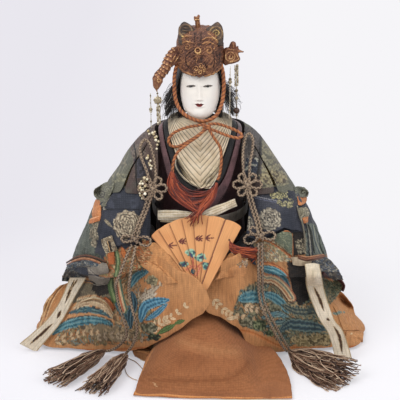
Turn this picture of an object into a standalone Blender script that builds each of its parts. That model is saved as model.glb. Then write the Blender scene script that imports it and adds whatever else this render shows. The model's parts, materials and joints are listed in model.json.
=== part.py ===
"""A seated court doll: straw body, layered silk robes, turning head with a gilt crown, and a folding slat fan.

Metres, +Z up. The doll looks along -Y. The origin is under the middle of its wooden base board.
"""

import math

import bmesh
import bpy
from mathutils import Matrix, Vector

# Driving sizes
GAP = 0.0003
HEM_LIFT = 0.0012

BOARD_LENGTH = 0.124
BOARD_FRONT = 0.070
BOARD_BACK = 0.052
BOARD_THICKNESS = 0.008
BOARD_CORNER = 0.014

CORE_FOOT_HALF_WIDTH = 0.050
CORE_FOOT_HALF_DEPTH = 0.036
CORE_TOP_HEIGHT = 0.212
NECK_BORE_RADIUS = 0.0053
NECK_BORE_DEPTH = 0.058
ROLL_RADIUS = 0.017
ROLL_HALF_LENGTH = 0.044

ARM_RADIUS = 0.007
WRIST_RADIUS = 0.0055
HAND_LENGTH = 0.0208
HAND_WIDTH = 0.012
HAND_THICKNESS = 0.0076

KIMONO_HALF_WIDTH = 0.042
KIMONO_DEPTH = 0.040
KIMONO_BOTTOM = 0.100
KIMONO_TOP_DROP = 0.008
KIMONO_HEIGHT = CORE_TOP_HEIGHT - KIMONO_TOP_DROP - KIMONO_BOTTOM
KIMONO_CLOTH = 0.0020

COLLAR_COUNT = 4
COLLAR_CLOTH = 0.0014
COLLAR_RIDGE = 0.0005
CREAM_HALF_WIDTH = 0.031
CREAM_FRONT = 0.040
CREAM_POINT_HEIGHT = 0.171
NECK_RING_RADIUS = 0.0115
NECK_RING_LIFT = 0.020
NECK_RING_HEIGHT = CORE_TOP_HEIGHT + NECK_RING_LIFT
NAVY_WIDTH = 0.0060
PURPLE_WIDTH = 0.0047
PURPLE_FRONT = 0.050
PURPLE_POINT_HEIGHT = 0.149

CAPE_HALF_WIDTH = 0.095
CAPE_DEPTH = 0.070
CAPE_DROP = 0.085
SHOULDER_LIFT = 0.010
SHOULDER_HEIGHT = CORE_TOP_HEIGHT + SHOULDER_LIFT
CAPE_CLOTH = 0.0016

SLEEVE_REACH = 0.130
SLEEVE_FRONT = 0.084
SLEEVE_TOP = 0.1769
SLEEVE_DROP = 0.096
SLEEVE_CLOTH = 0.0016

ROBE_HALF_WIDTH = 0.172
ROBE_DEPTH = 0.105
ROBE_RISE = 0.120
ROBE_CLOTH = 0.0020
ROBE_BULGE = 0.010
ROBE_FOLD_DEPTH = 0.0032
ROBE_FOLD_COUNT = 9
SEAM_HALF = 0.0006

PANEL_HALF_WIDTH = 0.076
PANEL_FRONT = 0.142
PANEL_RISE = 0.052
PANEL_CLOTH = 0.0026
PANEL_FOLD_DEPTH = 0.0030

BAND_WIDTH = 0.018
BAND_CLOTH = 0.0012

SASH_HEIGHT = 0.011
SASH_CLOTH = 0.0014
SASH_HALF_WIDTH = 0.0470
SASH_FRONT = 0.0545
SASH_BACK = 0.0365
SASH_LEVEL = 0.1430
RIBBON_CLOTH = 0.0012

HEAD_HALF_WIDTH = 0.0192
HEAD_HALF_DEPTH = 0.0215
HEAD_HEIGHT = 0.056
CHIN_LIFT = 0.023
CHIN_HEIGHT = CORE_TOP_HEIGHT + CHIN_LIFT
HEAD_CENTRE_Y = -0.004
NOSE_LIFT = 0.0022
NECK_RADIUS = 0.0080
PEG_RADIUS = 0.0050
PEG_LENGTH = 0.055
HAIR_THICKNESS = 0.0026
LOCK_RADIUS = 0.0052

CROWN_HALF_WIDTH = 0.0220
CROWN_HALF_DEPTH = 0.0255
CROWN_SEAT = 0.0445
CROWN_RIM_HEIGHT = CHIN_HEIGHT + CROWN_SEAT
CROWN_HEIGHT = 0.0415
CROWN_METAL = 0.0016
CROWN_RIM_LIFT = 0.0060
EAR_WIDTH = 0.0170
EAR_HEIGHT = 0.0180
EAR_THICKNESS = 0.0030
PIN_HEIGHT = 0.0135
PIN_WIDTH = 0.0048
NECK_OF_BIRD_RADIUS = 0.0052
ROSETTE_RADIUS = 0.0070
ROSETTE_THICKNESS = 0.0060
SPIKE_LENGTH = 0.0115

CROWN_RELIEF = 0.0008
EAR_FOOT_LIFT = 0.0305
CROWN_EAR_FOOT = CROWN_RIM_HEIGHT + EAR_FOOT_LIFT
EAR_OFFSET = 0.0040
MEDAL_RADIUS = 0.0048
MEDAL_THICKNESS = 0.0028
ROSETTE_Y = -0.009
PEG_SEAT = 0.008
HAIR_LOW_SHARE = 0.30
HAIR_HIGH_SHARE = 0.91
HAIRLINE_TOP_ANGLE = 52
HAIRLINE_LOW_ANGLE = 96
CHIN_TASSEL_RADIUS = 0.0075
FAN_TASSEL_RADIUS = 0.0042
TASSEL_RADIUS = 0.0085
PETAL_REACH = 0.0115
PETAL_STEPS = 7
PETAL_ROLL = 0.37
FROG_NORMAL = (0, -0.94, 0.35)

SILK_CORD_RADIUS = 0.0016
BOW_KNOT_RADIUS = 0.0041
BRAID_RADIUS = 0.0014
PETAL_RADIUS = 0.0040
KNOT_RADIUS = 0.0047
STRING_RADIUS = 0.0005
BEAD_RADIUS = 0.0019
DISC_RADIUS = 0.0028
BEAD_PITCH = 0.0048

FAN_LENGTH = 0.0730
FAN_TAIL = 0.0060
SLAT_TIP_WIDTH = 0.0176
SLAT_ROOT_WIDTH = 0.0068
SLAT_TIP_ROUND = 0.03
SLAT_THICKNESS = 0.0007
SLAT_PITCH = 0.0010
RIVET_RADIUS = 0.0011
RIVET_BORE_RADIUS = 0.0014
RIVET_HEAD_RADIUS = 0.0022
RIVET_HEAD_HEIGHT = 0.0008
FAN_PIVOT = Vector((0.002, -0.093, 0.086))
FAN_LEAN = math.radians(25)

# Fan slats from the right guard to the left one: the lean of each slat's middle line, in degrees
SLAT_ANGLES = (24.3, 11.4, -0.1, -9.0, -19.0, -28.5, -35.6)

materials = {}


def clear_scene():
    for item in list(bpy.data.objects):
        bpy.data.objects.remove(item, do_unlink=True)


def material(name, colour, roughness=0.8, metallic=0.0):
    if name not in materials:
        made = bpy.data.materials.new(name)
        made.use_nodes = True
        shader = made.node_tree.nodes["Principled BSDF"]
        shader.inputs["Base Color"].default_value = (*colour, 1.0)
        shader.inputs["Roughness"].default_value = roughness
        shader.inputs["Metallic"].default_value = metallic
        made.diffuse_color = (*colour, 1.0)
        materials[name] = made
    return materials[name]


def add_object(name, mesh, look, smooth_angle=40):
    mesh.materials.append(look)
    made = bpy.data.objects.new(name, mesh)
    bpy.context.scene.collection.objects.link(made)
    if smooth_angle:
        mesh.shade_smooth()
        mesh.set_sharp_from_angle(angle=math.radians(smooth_angle))
    return made


def from_bmesh(name, shape, look, smooth_angle=40):
    bmesh.ops.recalc_face_normals(shape, faces=shape.faces)
    mesh = bpy.data.meshes.new(name)
    shape.to_mesh(mesh)
    shape.free()
    return add_object(name, mesh, look, smooth_angle)


def between(points, place):
    """The point at a place along a smooth curve through the points; place runs from 0 to their count less 1."""
    last = len(points) - 1
    place = min(max(place, 0.0), float(last))
    start = min(int(place), last - 1)
    t = place - start
    p1 = Vector(points[start])
    p2 = Vector(points[start + 1])
    p0 = Vector(points[start - 1]) if start > 0 else p1 * 2 - p2
    p3 = Vector(points[start + 2]) if start + 2 <= last else p2 * 2 - p1
    return (
        p1 * 2
        + (p2 - p0) * t
        + (p0 * 2 - p1 * 5 + p2 * 4 - p3) * t * t
        + (p1 * 3 - p0 - p2 * 3 + p3) * t * t * t
    ) / 2


def smooth_route(points, count):
    """Evenly spread points along the smooth curve through a route's own points."""
    fine = [between(points, (len(points) - 1) * i / 200) for i in range(201)]
    along = [0.0]
    for a, b in zip(fine, fine[1:]):
        along.append(along[-1] + (b - a).length)
    route = []
    at = 0
    for i in range(count):
        goal = along[-1] * i / (count - 1)
        while at < 199 and along[at + 1] < goal:
            at += 1
        share = (goal - along[at]) / max(along[at + 1] - along[at], 1e-12)
        route.append(fine[at].lerp(fine[at + 1], min(share, 1.0)))
    return route


def patch_point(columns, u, v):
    """A point of the smooth surface through a table of columns; u runs across them and v down each."""
    across = [between(column, v * (len(column) - 1)) for column in columns]
    return between(across, u * (len(columns) - 1))


def sheet(name, surface, across, down, thickness, look, closed=False, holes=()):
    """Cloth or plate: a grid over surface(u, v), thickened towards its back."""
    shape = bmesh.new()
    count = across if closed else across + 1
    grid = [
        [shape.verts.new(surface(i / across, j / down)) for j in range(down + 1)]
        for i in range(count)
    ]
    for i in range(across):
        for j in range(down):
            if (i, j) in holes:
                continue
            k = (i + 1) % count
            shape.faces.new((grid[i][j], grid[i][j + 1], grid[k][j + 1], grid[k][j]))
    mesh = bpy.data.meshes.new(name)
    shape.to_mesh(mesh)
    shape.free()
    made = add_object(name, mesh, look, 60)
    shell = made.modifiers.new("Cloth", "SOLIDIFY")
    shell.thickness = thickness
    shell.offset = -1.0
    return made


def loft(name, rings, look, smooth_angle=60):
    """A closed body through rings of points, with flat ends."""
    shape = bmesh.new()
    loops = [[shape.verts.new(point) for point in ring] for ring in rings]
    for a, b in zip(loops, loops[1:]):
        for i in range(len(a)):
            j = (i + 1) % len(a)
            shape.faces.new((a[i], a[j], b[j], b[i]))
    shape.faces.new(loops[0])
    shape.faces.new(list(reversed(loops[-1])))
    return from_bmesh(name, shape, look, smooth_angle)


def frames_along(route):
    """Two cross directions at each point of a route, carried along it without twist."""
    frames = []
    side = None
    for i, point in enumerate(route):
        ahead = route[min(i + 1, len(route) - 1)] - route[max(i - 1, 0)]
        ahead.normalize()
        if side is None:
            side = ahead.cross(Vector((0, 0, 1)))
            if side.length < 0.2:
                side = ahead.cross(Vector((0, 1, 0)))
        side = side - ahead * side.dot(ahead)
        side.normalize()
        frames.append((side.copy(), ahead.cross(side)))
    return frames


def tapered(name, route, radii, look, sides=10, flat=1.0, flutes=0, flute_share=0.0):
    """A closed body of round or flattened section along a route; radii are shared evenly along it."""
    rings = []
    frames = frames_along(route)
    for i, point in enumerate(route):
        place = i / (len(route) - 1) * (len(radii) - 1)
        low = min(int(place), len(radii) - 2)
        radius = radii[low] + (radii[low + 1] - radii[low]) * (place - low)
        side, up = frames[i]
        ring = []
        for k in range(sides):
            turn = 2 * math.pi * k / sides
            swell = 1 + flute_share * math.cos(turn * flutes)
            ring.append(point + side * math.cos(turn) * radius * swell + up * math.sin(turn) * radius * swell * flat)
        rings.append(ring)
    return loft(name, rings, look)


def cord(name, route, radius, look, points=24):
    """A free cord as a round curve with closed ends."""
    data = bpy.data.curves.new(name, "CURVE")
    data.dimensions = "3D"
    data.bevel_depth = radius
    data.bevel_resolution = 2
    data.use_fill_caps = True
    spline = data.splines.new("POLY")
    places = smooth_route(route, points)
    spline.points.add(len(places) - 1)
    for spot, place in zip(spline.points, places):
        spot.co = (*place, 1.0)
    data.materials.append(look)
    made = bpy.data.objects.new(name, data)
    bpy.context.scene.collection.objects.link(made)
    return made


def hide_tool(item):
    item.hide_render = True
    item.display_type = "WIRE"
    item.hide_viewport = False
    return item


def combine(target, tool, operation):
    change = target.modifiers.new(operation.title(), "BOOLEAN")
    change.operation = operation
    change.solver = "EXACT"
    change.object = hide_tool(tool)
    return target


def cylinder_tool(name, centre, radius, depth, direction=(0, 0, 1), sides=24):
    shape = bmesh.new()
    turn = Vector((0, 0, 1)).rotation_difference(Vector(direction)).to_matrix().to_4x4()
    bmesh.ops.create_cone(
        shape, cap_ends=True, segments=sides, radius1=radius, radius2=radius, depth=depth,
        matrix=Matrix.Translation(centre) @ turn,
    )
    return from_bmesh(name, shape, material("tool", (0.5, 0.5, 0.5)), 0)


def superellipse(turn, power):
    """Unit outline point: 0 is the front (-Y), a quarter turn is +X."""
    s = math.sin(turn)
    c = math.cos(turn)
    x = math.copysign(abs(s) ** (2 / power), s)
    y = -math.copysign(abs(c) ** (2 / power), c)
    return x, y


# Inner body

def make_base_board():
    look = material("bare_wood", (0.45, 0.30, 0.17))
    shape = bmesh.new()
    bmesh.ops.create_cube(shape, size=1.0)
    depth = BOARD_FRONT + BOARD_BACK
    for vert in shape.verts:
        vert.co.x *= BOARD_LENGTH
        vert.co.y = vert.co.y * depth + (BOARD_BACK - BOARD_FRONT) / 2
        vert.co.z = (vert.co.z + 0.5) * BOARD_THICKNESS
    upright = [e for e in shape.edges if abs(e.verts[0].co.z - e.verts[1].co.z) > BOARD_THICKNESS / 2]
    bmesh.ops.bevel(shape, geom=upright, offset=BOARD_CORNER, segments=5, affect="EDGES", profile=0.5)
    return from_bmesh("base_board", shape, look, 30)


core_ring_shares = ((0.0, 1.0, 1.0), (0.25, 0.88, 0.92), (0.5, 0.84, 0.82), (0.75, 0.66, 0.60),
                    (0.94, 0.55, 0.36), (1.0, 0.30, 0.28))


def core_foot():
    return BOARD_THICKNESS + GAP


def make_straw_core():
    look = material("straw", (0.55, 0.44, 0.24), 0.9)
    rise = CORE_TOP_HEIGHT - core_foot()
    rings = []
    for step in range(8):
        row = between(core_ring_shares, step / 7 * (len(core_ring_shares) - 1))
        ring = []
        for k in range(20):
            x, y = superellipse(2 * math.pi * k / 20, 2.0)
            reed = 1 + 0.03 * (k % 2)
            ring.append((x * row.y * CORE_FOOT_HALF_WIDTH * reed, y * row.z * CORE_FOOT_HALF_DEPTH * reed,
                core_foot() + rise * row.x))
        rings.append(ring)
    core = loft("straw_core", rings, look, 0)
    bore_low = CORE_TOP_HEIGHT - NECK_BORE_DEPTH
    depth = NECK_BORE_DEPTH * 2
    tool = cylinder_tool("neck_bore_cutter", (0, 0, bore_low + depth / 2), NECK_BORE_RADIUS, depth)
    return combine(core, tool, "DIFFERENCE")


def roll_centre_height():
    return BOARD_THICKNESS + GAP + ROLL_RADIUS


def make_knee_roll():
    look = material("cotton_wadding", (0.75, 0.70, 0.60), 0.95)
    front = -CORE_FOOT_HALF_DEPTH - ROLL_RADIUS - GAP * 6
    height = roll_centre_height()
    ends = front + ROLL_RADIUS / 2
    route = [(-ROLL_HALF_LENGTH, ends, height), (-ROLL_HALF_LENGTH / 2, front, height),
        (0, front - GAP, height),
             (ROLL_HALF_LENGTH / 2, front, height), (ROLL_HALF_LENGTH, ends, height)]
    radii = [ROLL_RADIUS * share for share in (0.45, 0.86, 0.97, 1.0, 1.0, 1.0, 0.97, 0.86, 0.45)]
    return tapered("knee_roll", smooth_route(route, 9), radii, look, 12)


arm_route_shares = ((0.52, 0.00, 0.92), (0.70, -0.02, 0.76), (0.78, -0.08, 0.57), (0.74, -0.24, 0.43),
    (0.60, -0.48, 0.28), (0.36, -0.745, 0.15))


def make_arm(side, label):
    look = material("straw", (0.55, 0.44, 0.24), 0.9)
    route = [(side * x * CAPE_HALF_WIDTH, y * SLEEVE_FRONT, KIMONO_BOTTOM + SLEEVE_DROP * z) for x, y,
        z in arm_route_shares]
    radii = [ARM_RADIUS, ARM_RADIUS, ARM_RADIUS * 1.1, ARM_RADIUS, WRIST_RADIUS]
    tapered("arm_" + label, smooth_route(route, 11), radii, look, 8)
    wrist = Vector(route[-1])
    ahead = (wrist - Vector(route[-2])).normalized()
    skin = material("gofun", (0.93, 0.91, 0.87), 0.35)
    start = wrist + ahead * GAP * 2
    hand = [start + ahead * HAND_LENGTH * share for share in (0.0, 0.2, 0.45, 0.7, 0.9, 1.0)]
    radii = [HAND_WIDTH / 2 * share for share in (0.62, 0.8, 1.0, 0.95, 0.7, 0.35)]
    tapered("hand_" + label, hand, radii, skin, 10, HAND_THICKNESS / HAND_WIDTH)


kimono_row_shares = ((1.05, 0.98, 0.88, 0.0), (1.02, 1.02, 0.86, 0.3), (1.03, 1.02, 0.80, 0.5),
    (1.03, 0.91, 0.74, 0.68),
                     (1.00, 0.58, 0.64, 0.86), (0.95, 0.45, 0.60, 1.0))


def make_kimono_body():
    look = material("purple_silk", (0.12, 0.05, 0.09), 0.7)

    def surface(u, v):
        rows = [(w, f, b) for w, f, b, _ in kimono_row_shares]
        levels = [level for _, _, _, level in kimono_row_shares]
        low = max(i for i in range(len(levels) - 1) if levels[i] <= v)
        row = between(rows, low + (v - levels[low]) / (levels[low + 1] - levels[low]))
        x, y = superellipse(2 * math.pi * u, 2.2)
        reach = row.y if y < 0 else row.z
        return (x * row.x * KIMONO_HALF_WIDTH, y * reach * KIMONO_DEPTH, KIMONO_BOTTOM + v * KIMONO_HEIGHT)

    return sheet("kimono_body", surface, 20, 6, KIMONO_CLOTH, look, closed=True)


# Crossed collars, each row of the table: half width, front, back, side height, front height, back height, V power

def wrap_rows():
    back = CREAM_HALF_WIDTH * 0.75
    side = NECK_RING_HEIGHT
    return (
        (NECK_RING_RADIUS, NECK_RING_RADIUS * 1.1, NECK_RING_RADIUS, side, side * 0.966, side * 1.017, 1.2),
        (CREAM_HALF_WIDTH, CREAM_FRONT, back, side * 0.979, CREAM_POINT_HEIGHT, side * 0.992, 2.3),
        (CREAM_HALF_WIDTH + NAVY_WIDTH, CREAM_FRONT + NAVY_WIDTH * 0.8, back + NAVY_WIDTH * 0.6,
         side * 0.967, CREAM_POINT_HEIGHT - NAVY_WIDTH, side * 0.981, 2.9),
        (CREAM_HALF_WIDTH + NAVY_WIDTH + PURPLE_WIDTH, PURPLE_FRONT,
            back + NAVY_WIDTH * 0.6 + PURPLE_WIDTH * 0.8,
         side * 0.955, PURPLE_POINT_HEIGHT, side * 0.967, 3.0),
    )


def wrap_point(turn, lane):
    """A point of the collar stack: turn goes round the neck from the front, lane out from it."""
    rows = wrap_rows()
    low = min(int(lane), len(rows) - 2)
    t = lane - low
    half, front, back, side_z, front_z, back_z, power = (a + (b - a) * t for a,
        b in zip(rows[low], rows[low + 1]))
    s = abs(math.sin(turn))
    x, y = superellipse(turn, 2.5)
    flare = abs(x)
    if math.cos(turn) > 0:
        height = front_z + (side_z - front_z) * flare ** power
        depth = front
    else:
        height = side_z + (back_z - side_z) * (1 - s)
        depth = back
    return Vector((x * half, y * depth, height))


def collar_band(name, lane_from, lane_to, look, ridges, across, cloth_thickness):
    """One collar: from its front edge on one side, round behind the neck, to the other front edge."""
    start = math.atan2(SEAM_HALF, CREAM_FRONT)

    def surface(u, v):
        half_turn = math.pi - start
        ease = 2 * u - 1
        turn = math.pi + half_turn * (0.7 * ease + 0.3 * ease ** 3)
        lane = lane_from + (lane_to - lane_from) * v
        point = wrap_point(turn, lane)
        if ridges:
            rise = COLLAR_RIDGE * (1 - abs(2 * ((v * ridges) % 1.0) - 1)) if 0 < v < 1 else 0.0
            point += Vector((0, -rise, rise))
        return point

    return sheet(name, surface, across, max(2 * ridges, 1), cloth_thickness, look)


def make_collars():
    cream = material("cream_silk", (0.72, 0.64, 0.48), 0.75)
    edge = GAP / (CREAM_HALF_WIDTH - NECK_RING_RADIUS)
    for i in range(COLLAR_COUNT):
        low = i / COLLAR_COUNT + edge
        high = (i + 1) / COLLAR_COUNT - edge
        collar_band(f"cream_collar_{i + 1}", low, high, cream, 1, 24, COLLAR_CLOTH)
    navy = material("navy_silk", (0.03, 0.04, 0.06), 0.7)
    purple = material("purple_silk_light", (0.17, 0.07, 0.11), 0.7)
    step = GAP / NAVY_WIDTH
    collar_band("navy_collar", 1 + step, 2 - step, navy, 0, 24, COLLAR_CLOTH)
    collar_band("purple_collar", 2 + step, 3, purple, 0, 24, COLLAR_CLOTH)


# Jacket: one cape surface cut into its sewn panels. Columns run from the front edge to the middle of the back,
# rows from the neck down: shares of the half width, the depth and the drop.

cape_shares = (
    ((0.445, -0.17, 0.03), (0.42, -0.47, 0.18), (0.42, -0.66, 0.38), (0.43, -0.78, 0.62)),
    ((0.46, -0.09, 0.02), (0.58, -0.44, 0.18), (0.71, -0.66, 0.38), (0.77, -0.80, 0.59)),
    ((0.465, 0.00, 0.01), (0.64, -0.20, 0.19), (0.81, -0.37, 0.41), (0.96, -0.54, 0.64)),
    ((0.465, 0.11, 0.01), (0.65, 0.11, 0.19), (0.84, 0.09, 0.49), (1.00, 0.06, 0.75)),
    ((0.42, 0.30, 0.00), (0.58, 0.49, 0.16), (0.76, 0.60, 0.47), (0.88, 0.71, 0.85)),
    ((0.24, 0.44, -0.02), (0.34, 0.66, 0.12), (0.40, 0.83, 0.49), (0.44, 0.94, 0.96)),
    ((0.00, 0.49, -0.03), (0.00, 0.71, 0.10), (0.00, 0.89, 0.49), (0.00, 1.00, 0.99)),
)


def cape_point(side, u, v):
    columns = [[(side * x * CAPE_HALF_WIDTH, y * CAPE_DEPTH, SHOULDER_HEIGHT - z * CAPE_DROP) for x, y,
        z in column]
               for column in cape_shares]
    return patch_point(columns, u, v)


def cape_panel(name, side, low, high, across, look):
    def surface(u, v):
        place = low + (high - low) * (u if side > 0 else 1 - u)
        return cape_point(side, place, v)

    return sheet(name, surface, across, 5, CAPE_CLOTH, look)


def make_jacket():
    brown = material("brown_brocade", (0.16, 0.11, 0.10), 0.7)
    green = material("grey_green_brocade", (0.30, 0.29, 0.22), 0.7)
    gap = GAP * 3 / CAPE_HALF_WIDTH
    front_end = 0.17
    panel_end = 0.62
    for side, label in ((-1, "left"), (1, "right")):
        cape_panel("jacket_front_" + label, side, 0.0, front_end - gap, 4, brown)
        cape_panel("shoulder_panel_" + label, side, front_end + gap, panel_end - gap, 9, green)

    def back(u, v):
        swing = (2 * u - 1) * (1 - panel_end)
        side = 1 if swing < 0 else -1
        return cape_point(side, 1 - abs(swing), v)

    sheet("jacket_back", back, 12, 5, CAPE_CLOTH, brown)


sleeve_shares = (
    ((0.37, -0.55, 0.00), (0.36, -0.66, 0.17), (0.365, -0.77, 0.46), (0.365, -0.93, 0.71)),
    ((0.55, -0.58, 0.00), (0.58, -0.71, 0.17), (0.59, -0.86, 0.46), (0.62, -0.98, 0.85)),
    ((0.61, -0.38, 0.02), (0.75, -0.55, 0.22), (0.82, -0.67, 0.50), (0.87, -0.71, 0.92)),
    ((0.62, -0.16, 0.08), (0.79, -0.24, 0.26), (0.88, -0.26, 0.56), (1.00, -0.24, 1.00)),
    ((0.65, 0.10, 0.17), (0.78, 0.12, 0.31), (0.86, 0.14, 0.60), (0.98, 0.14, 1.00)),
    ((0.54, 0.29, 0.25), (0.63, 0.36, 0.38), (0.72, 0.46, 0.63), (0.78, 0.55, 0.88)),
)


def make_sleeve(side, label):
    navy = material("navy_brocade", (0.04, 0.05, 0.08), 0.75)
    columns = [[(side * x * SLEEVE_REACH, y * SLEEVE_FRONT, SLEEVE_TOP - z * SLEEVE_DROP) for x, y,
        z in column]
               for column in sleeve_shares]

    def surface(u, v):
        return patch_point(columns, u if side > 0 else 1 - u, v)

    return sheet("sleeve_" + label, surface, 13, 6, SLEEVE_CLOTH, navy)


# Robes: a top and a hem point for each column, from the inner front edge round to the middle of the back

robe_top_shares = ((0.08, -0.98, 0.82), (0.19, -0.88, 0.93), (0.277, -0.66, 0.952), (0.37, -0.57, 0.95),
    (0.43, -0.24, 0.98),
                   (0.41, 0.11, 1.00), (0.31, 0.34, 1.00), (0.16, 0.46, 1.02), (0.00, 0.50, 1.02))
robe_hem_shares = ((0.12, -0.92, 0.38), (0.27, -0.76, 0.17), (0.42, -0.59, 0.03), (0.63, -0.48, 0.00),
    (0.92, -0.40, 0.00),
                   (1.00, 0.08, 0.00), (0.77, 0.67, 0.00), (0.36, 0.93, 0.00), (0.00, 1.00, 0.00))
robe_bulge_shares = (0.0, 0.5, 1.0, 0.8, 0.0, -0.5, 0.2, 0.5, 0.5)
robe_fold_shares = (0.0, 0.0, 0.4, 0.9, 1.0, 1.0, 1.0, 0.6, 0.0)
left_edge_shares = ((-0.04, -1.00, 0.62), (-0.02, -0.95, 0.54))
right_edge_shares = ((0.07, -0.85, 0.63), (0.06, -0.87, 0.50))
right_front_shares = ((0.12, -0.82, 0.80), (0.21, -0.80, 0.34))


def share_between(table, place):
    low = min(int(place), len(table) - 2)
    return table[low] + (table[low + 1] - table[low]) * (place - low)


def make_robe(side, label, edge, front):
    orange = material("orange_brocade", (0.58, 0.26, 0.09), 0.75)
    tops = [edge[0], front[0]] + list(robe_top_shares[1:])
    hems = [edge[1], front[1]] + list(robe_hem_shares[1:])
    bulges = (0.0,) + robe_bulge_shares
    folds = (0.0,) + robe_fold_shares

    def place(shares):
        x, y, z = shares
        return Vector((side * (x * ROBE_HALF_WIDTH), y * ROBE_DEPTH, HEM_LIFT + ROBE_CLOTH + z * ROBE_RISE))

    top_points = [place(shares) for shares in tops]
    hem_points = [place(shares) for shares in hems]
    top_points[-1].x += side * SEAM_HALF
    hem_points[-1].x += side * SEAM_HALF
    last = len(tops) - 1

    def surface(u, v):
        u = u if side > 0 else 1 - u
        top = between(top_points, u * last)
        hem = between(hem_points, u * last)
        point = top.lerp(hem, v)
        out = Vector((point.x, point.y, 0)).normalized()
        bulge = ROBE_BULGE * share_between(bulges, u * last) * math.sin(math.pi * v)
        fold = ROBE_FOLD_DEPTH * share_between(folds,
            u * last) * v * math.cos(2 * math.pi * ROBE_FOLD_COUNT * u)
        point += out * (bulge + fold)
        point.z = max(point.z, HEM_LIFT + ROBE_CLOTH)
        return point

    return sheet("robe_" + label, surface, 28, 5, ROBE_CLOTH, orange)


panel_back_shares = ((-0.52, -0.58, 0.26), (-0.28, -0.61, 0.66), (0.00, -0.64, 0.98), (0.33, -0.60, 0.60),
                     (0.641, -0.528, 0.30), (0.80, -0.535, 0.14))
panel_middle_shares = ((-0.70, -0.76, 0.10), (-0.36, -0.78, 0.48), (0.02, -0.79, 0.62),
    (0.42, -0.79, 0.58), (0.80, -0.76, 0.42), (0.98, -0.72, 0.12))
panel_front_shares = ((-0.84, -0.92, 0.00), (-0.42, -0.96, 0.02), (0.05, -1.00, 0.03), (0.50, -1.00, 0.03),
    (0.90, -0.98, 0.02), (1.14, -0.91, 0.00))


def make_hakama_panel():
    look = material("brown_orange_cloth", (0.42, 0.18, 0.06), 0.8)

    def place(shares):
        x, y, z = shares
        return Vector((x * PANEL_HALF_WIDTH, y * PANEL_FRONT, HEM_LIFT + PANEL_CLOTH + z * PANEL_RISE))

    columns = [[place(a), place(b), place(c)] for a, b,
        c in zip(panel_back_shares, panel_middle_shares, panel_front_shares)]

    def surface(u, v):
        point = patch_point(columns, u, v)
        point.z += PANEL_FOLD_DEPTH * math.sin(math.pi * v) * math.cos(2 * math.pi * 2 * u)
        point.z = max(point.z, HEM_LIFT + PANEL_CLOTH)
        return point

    return sheet("hakama_panel", surface, 16, 6, PANEL_CLOTH, look)


band_route_shares = {
    "left": ((0.71, -0.29, 0.657), (0.80, -0.36, 0.44), (0.89, -0.40, 0.27), (0.96, -0.42, 0.12),
        (1.03, -0.40, 0.02)),
    "right": ((0.642, -0.392, 0.634), (0.694, -0.48, 0.47), (0.74, -0.54, 0.32), (0.78, -0.59, 0.14),
        (0.82, -0.62, 0.02)),
}
band_twist_share = {"left": 1.05, "right": 0.0}


def make_train_band(side, label):
    """A ribbon of the pleated train, with its row of slits, from under the sleeve down to the floor."""
    look = material("cream_band", (0.70, 0.64, 0.50), 0.8)
    foot = HEM_LIFT + BAND_CLOTH
    route = [Vector((side * x * ROBE_HALF_WIDTH, y * ROBE_DEPTH, foot + z * ROBE_RISE)) for x, y,
        z in band_route_shares[label]]

    def surface(u, v):
        centre = between(route, u * (len(route) - 1))
        across = Vector((1.0, -band_twist_share[label] * u, 0.0)).normalized() * BAND_WIDTH / 2
        return centre + across * (2 * v - 1)

    holes = [(i, 2) for i in (2, 3, 6, 7, 9, 10)]
    return sheet("train_band_" + label, surface, 12, 5, BAND_CLOTH, look, holes=holes)


# Sash

def make_sash():
    look = material("cream_ribbon", (0.75, 0.67, 0.52), 0.75)

    def belt(u, v):
        x, y = superellipse(2 * math.pi * u, 2.3)
        depth = SASH_FRONT if y < 0 else SASH_BACK
        return Vector((x * SASH_HALF_WIDTH, y * depth, SASH_LEVEL + (v - 0.5) * SASH_HEIGHT))

    sheet("sash_belt", belt, 28, 1, SASH_CLOTH, look, closed=True)


# Sash ends: the cream ribbon tied over the belt

ribbon_shares = ((-0.88, -0.68, -0.40), (-0.62, -0.93, -0.30), (-0.32, -1.04, -0.35),
    (-0.02, -1.065, -0.30), (0.27, -1.075, 0.40),
                 (0.52, -1.03, 0.95), (0.80, -0.92, 1.45))


def make_ribbon():
    look = material("cream_ribbon", (0.75, 0.67, 0.52), 0.75)
    top = SASH_LEVEL + SASH_HEIGHT / 2
    route = [Vector((x * SASH_HALF_WIDTH, y * SASH_FRONT, top + z * SASH_HEIGHT)) for x, y,
        z in ribbon_shares]

    def surface(u, v):
        return between(route, u * (len(route) - 1)) + Vector((0, 0, (0.5 - v) * SASH_HEIGHT))

    sheet("sash_ribbon", surface, 14, 2, RIBBON_CLOTH, look)


# Head. Rings from the chin up: half width, front, back, height as shares of the head's sizes

head_ring_shares = (
    (0.22, 0.84, -0.62, 0.00), (0.55, 0.94, -0.25, 0.06), (0.76, 0.99, 0.05, 0.14), (0.91, 1.01, 0.50, 0.26),
    (0.98, 1.02, 0.82, 0.39), (1.00, 1.02, 0.97, 0.52), (0.99, 0.99, 1.00, 0.66), (0.93, 0.88, 0.95, 0.78),
    (0.76, 0.68, 0.76, 0.89), (0.44, 0.36, 0.40, 0.97), (0.12, 0.08, 0.10, 1.00),
)


def head_point(turn, place):
    rows = [(w, f, b) for w, f, b, _ in head_ring_shares]
    levels = [level for _, _, _, level in head_ring_shares]
    low = max(i for i in range(len(levels) - 1) if levels[i] <= place)
    row = between(rows, low + (place - levels[low]) / (levels[low + 1] - levels[low]))
    x, y = superellipse(turn, 2.15)
    front = -row.y * HEAD_HALF_DEPTH
    back = row.z * HEAD_HALF_DEPTH
    middle = (front + back) / 2
    half = (back - front) / 2
    nose = NOSE_LIFT * math.exp(-((place - 0.34) / 0.07) ** 2) * max(0.0, math.cos(turn)) ** 60
    return Vector((x * row.x * HEAD_HALF_WIDTH, HEAD_CENTRE_Y + middle + y * half - nose,
        CHIN_HEIGHT + place * HEAD_HEIGHT))


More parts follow.
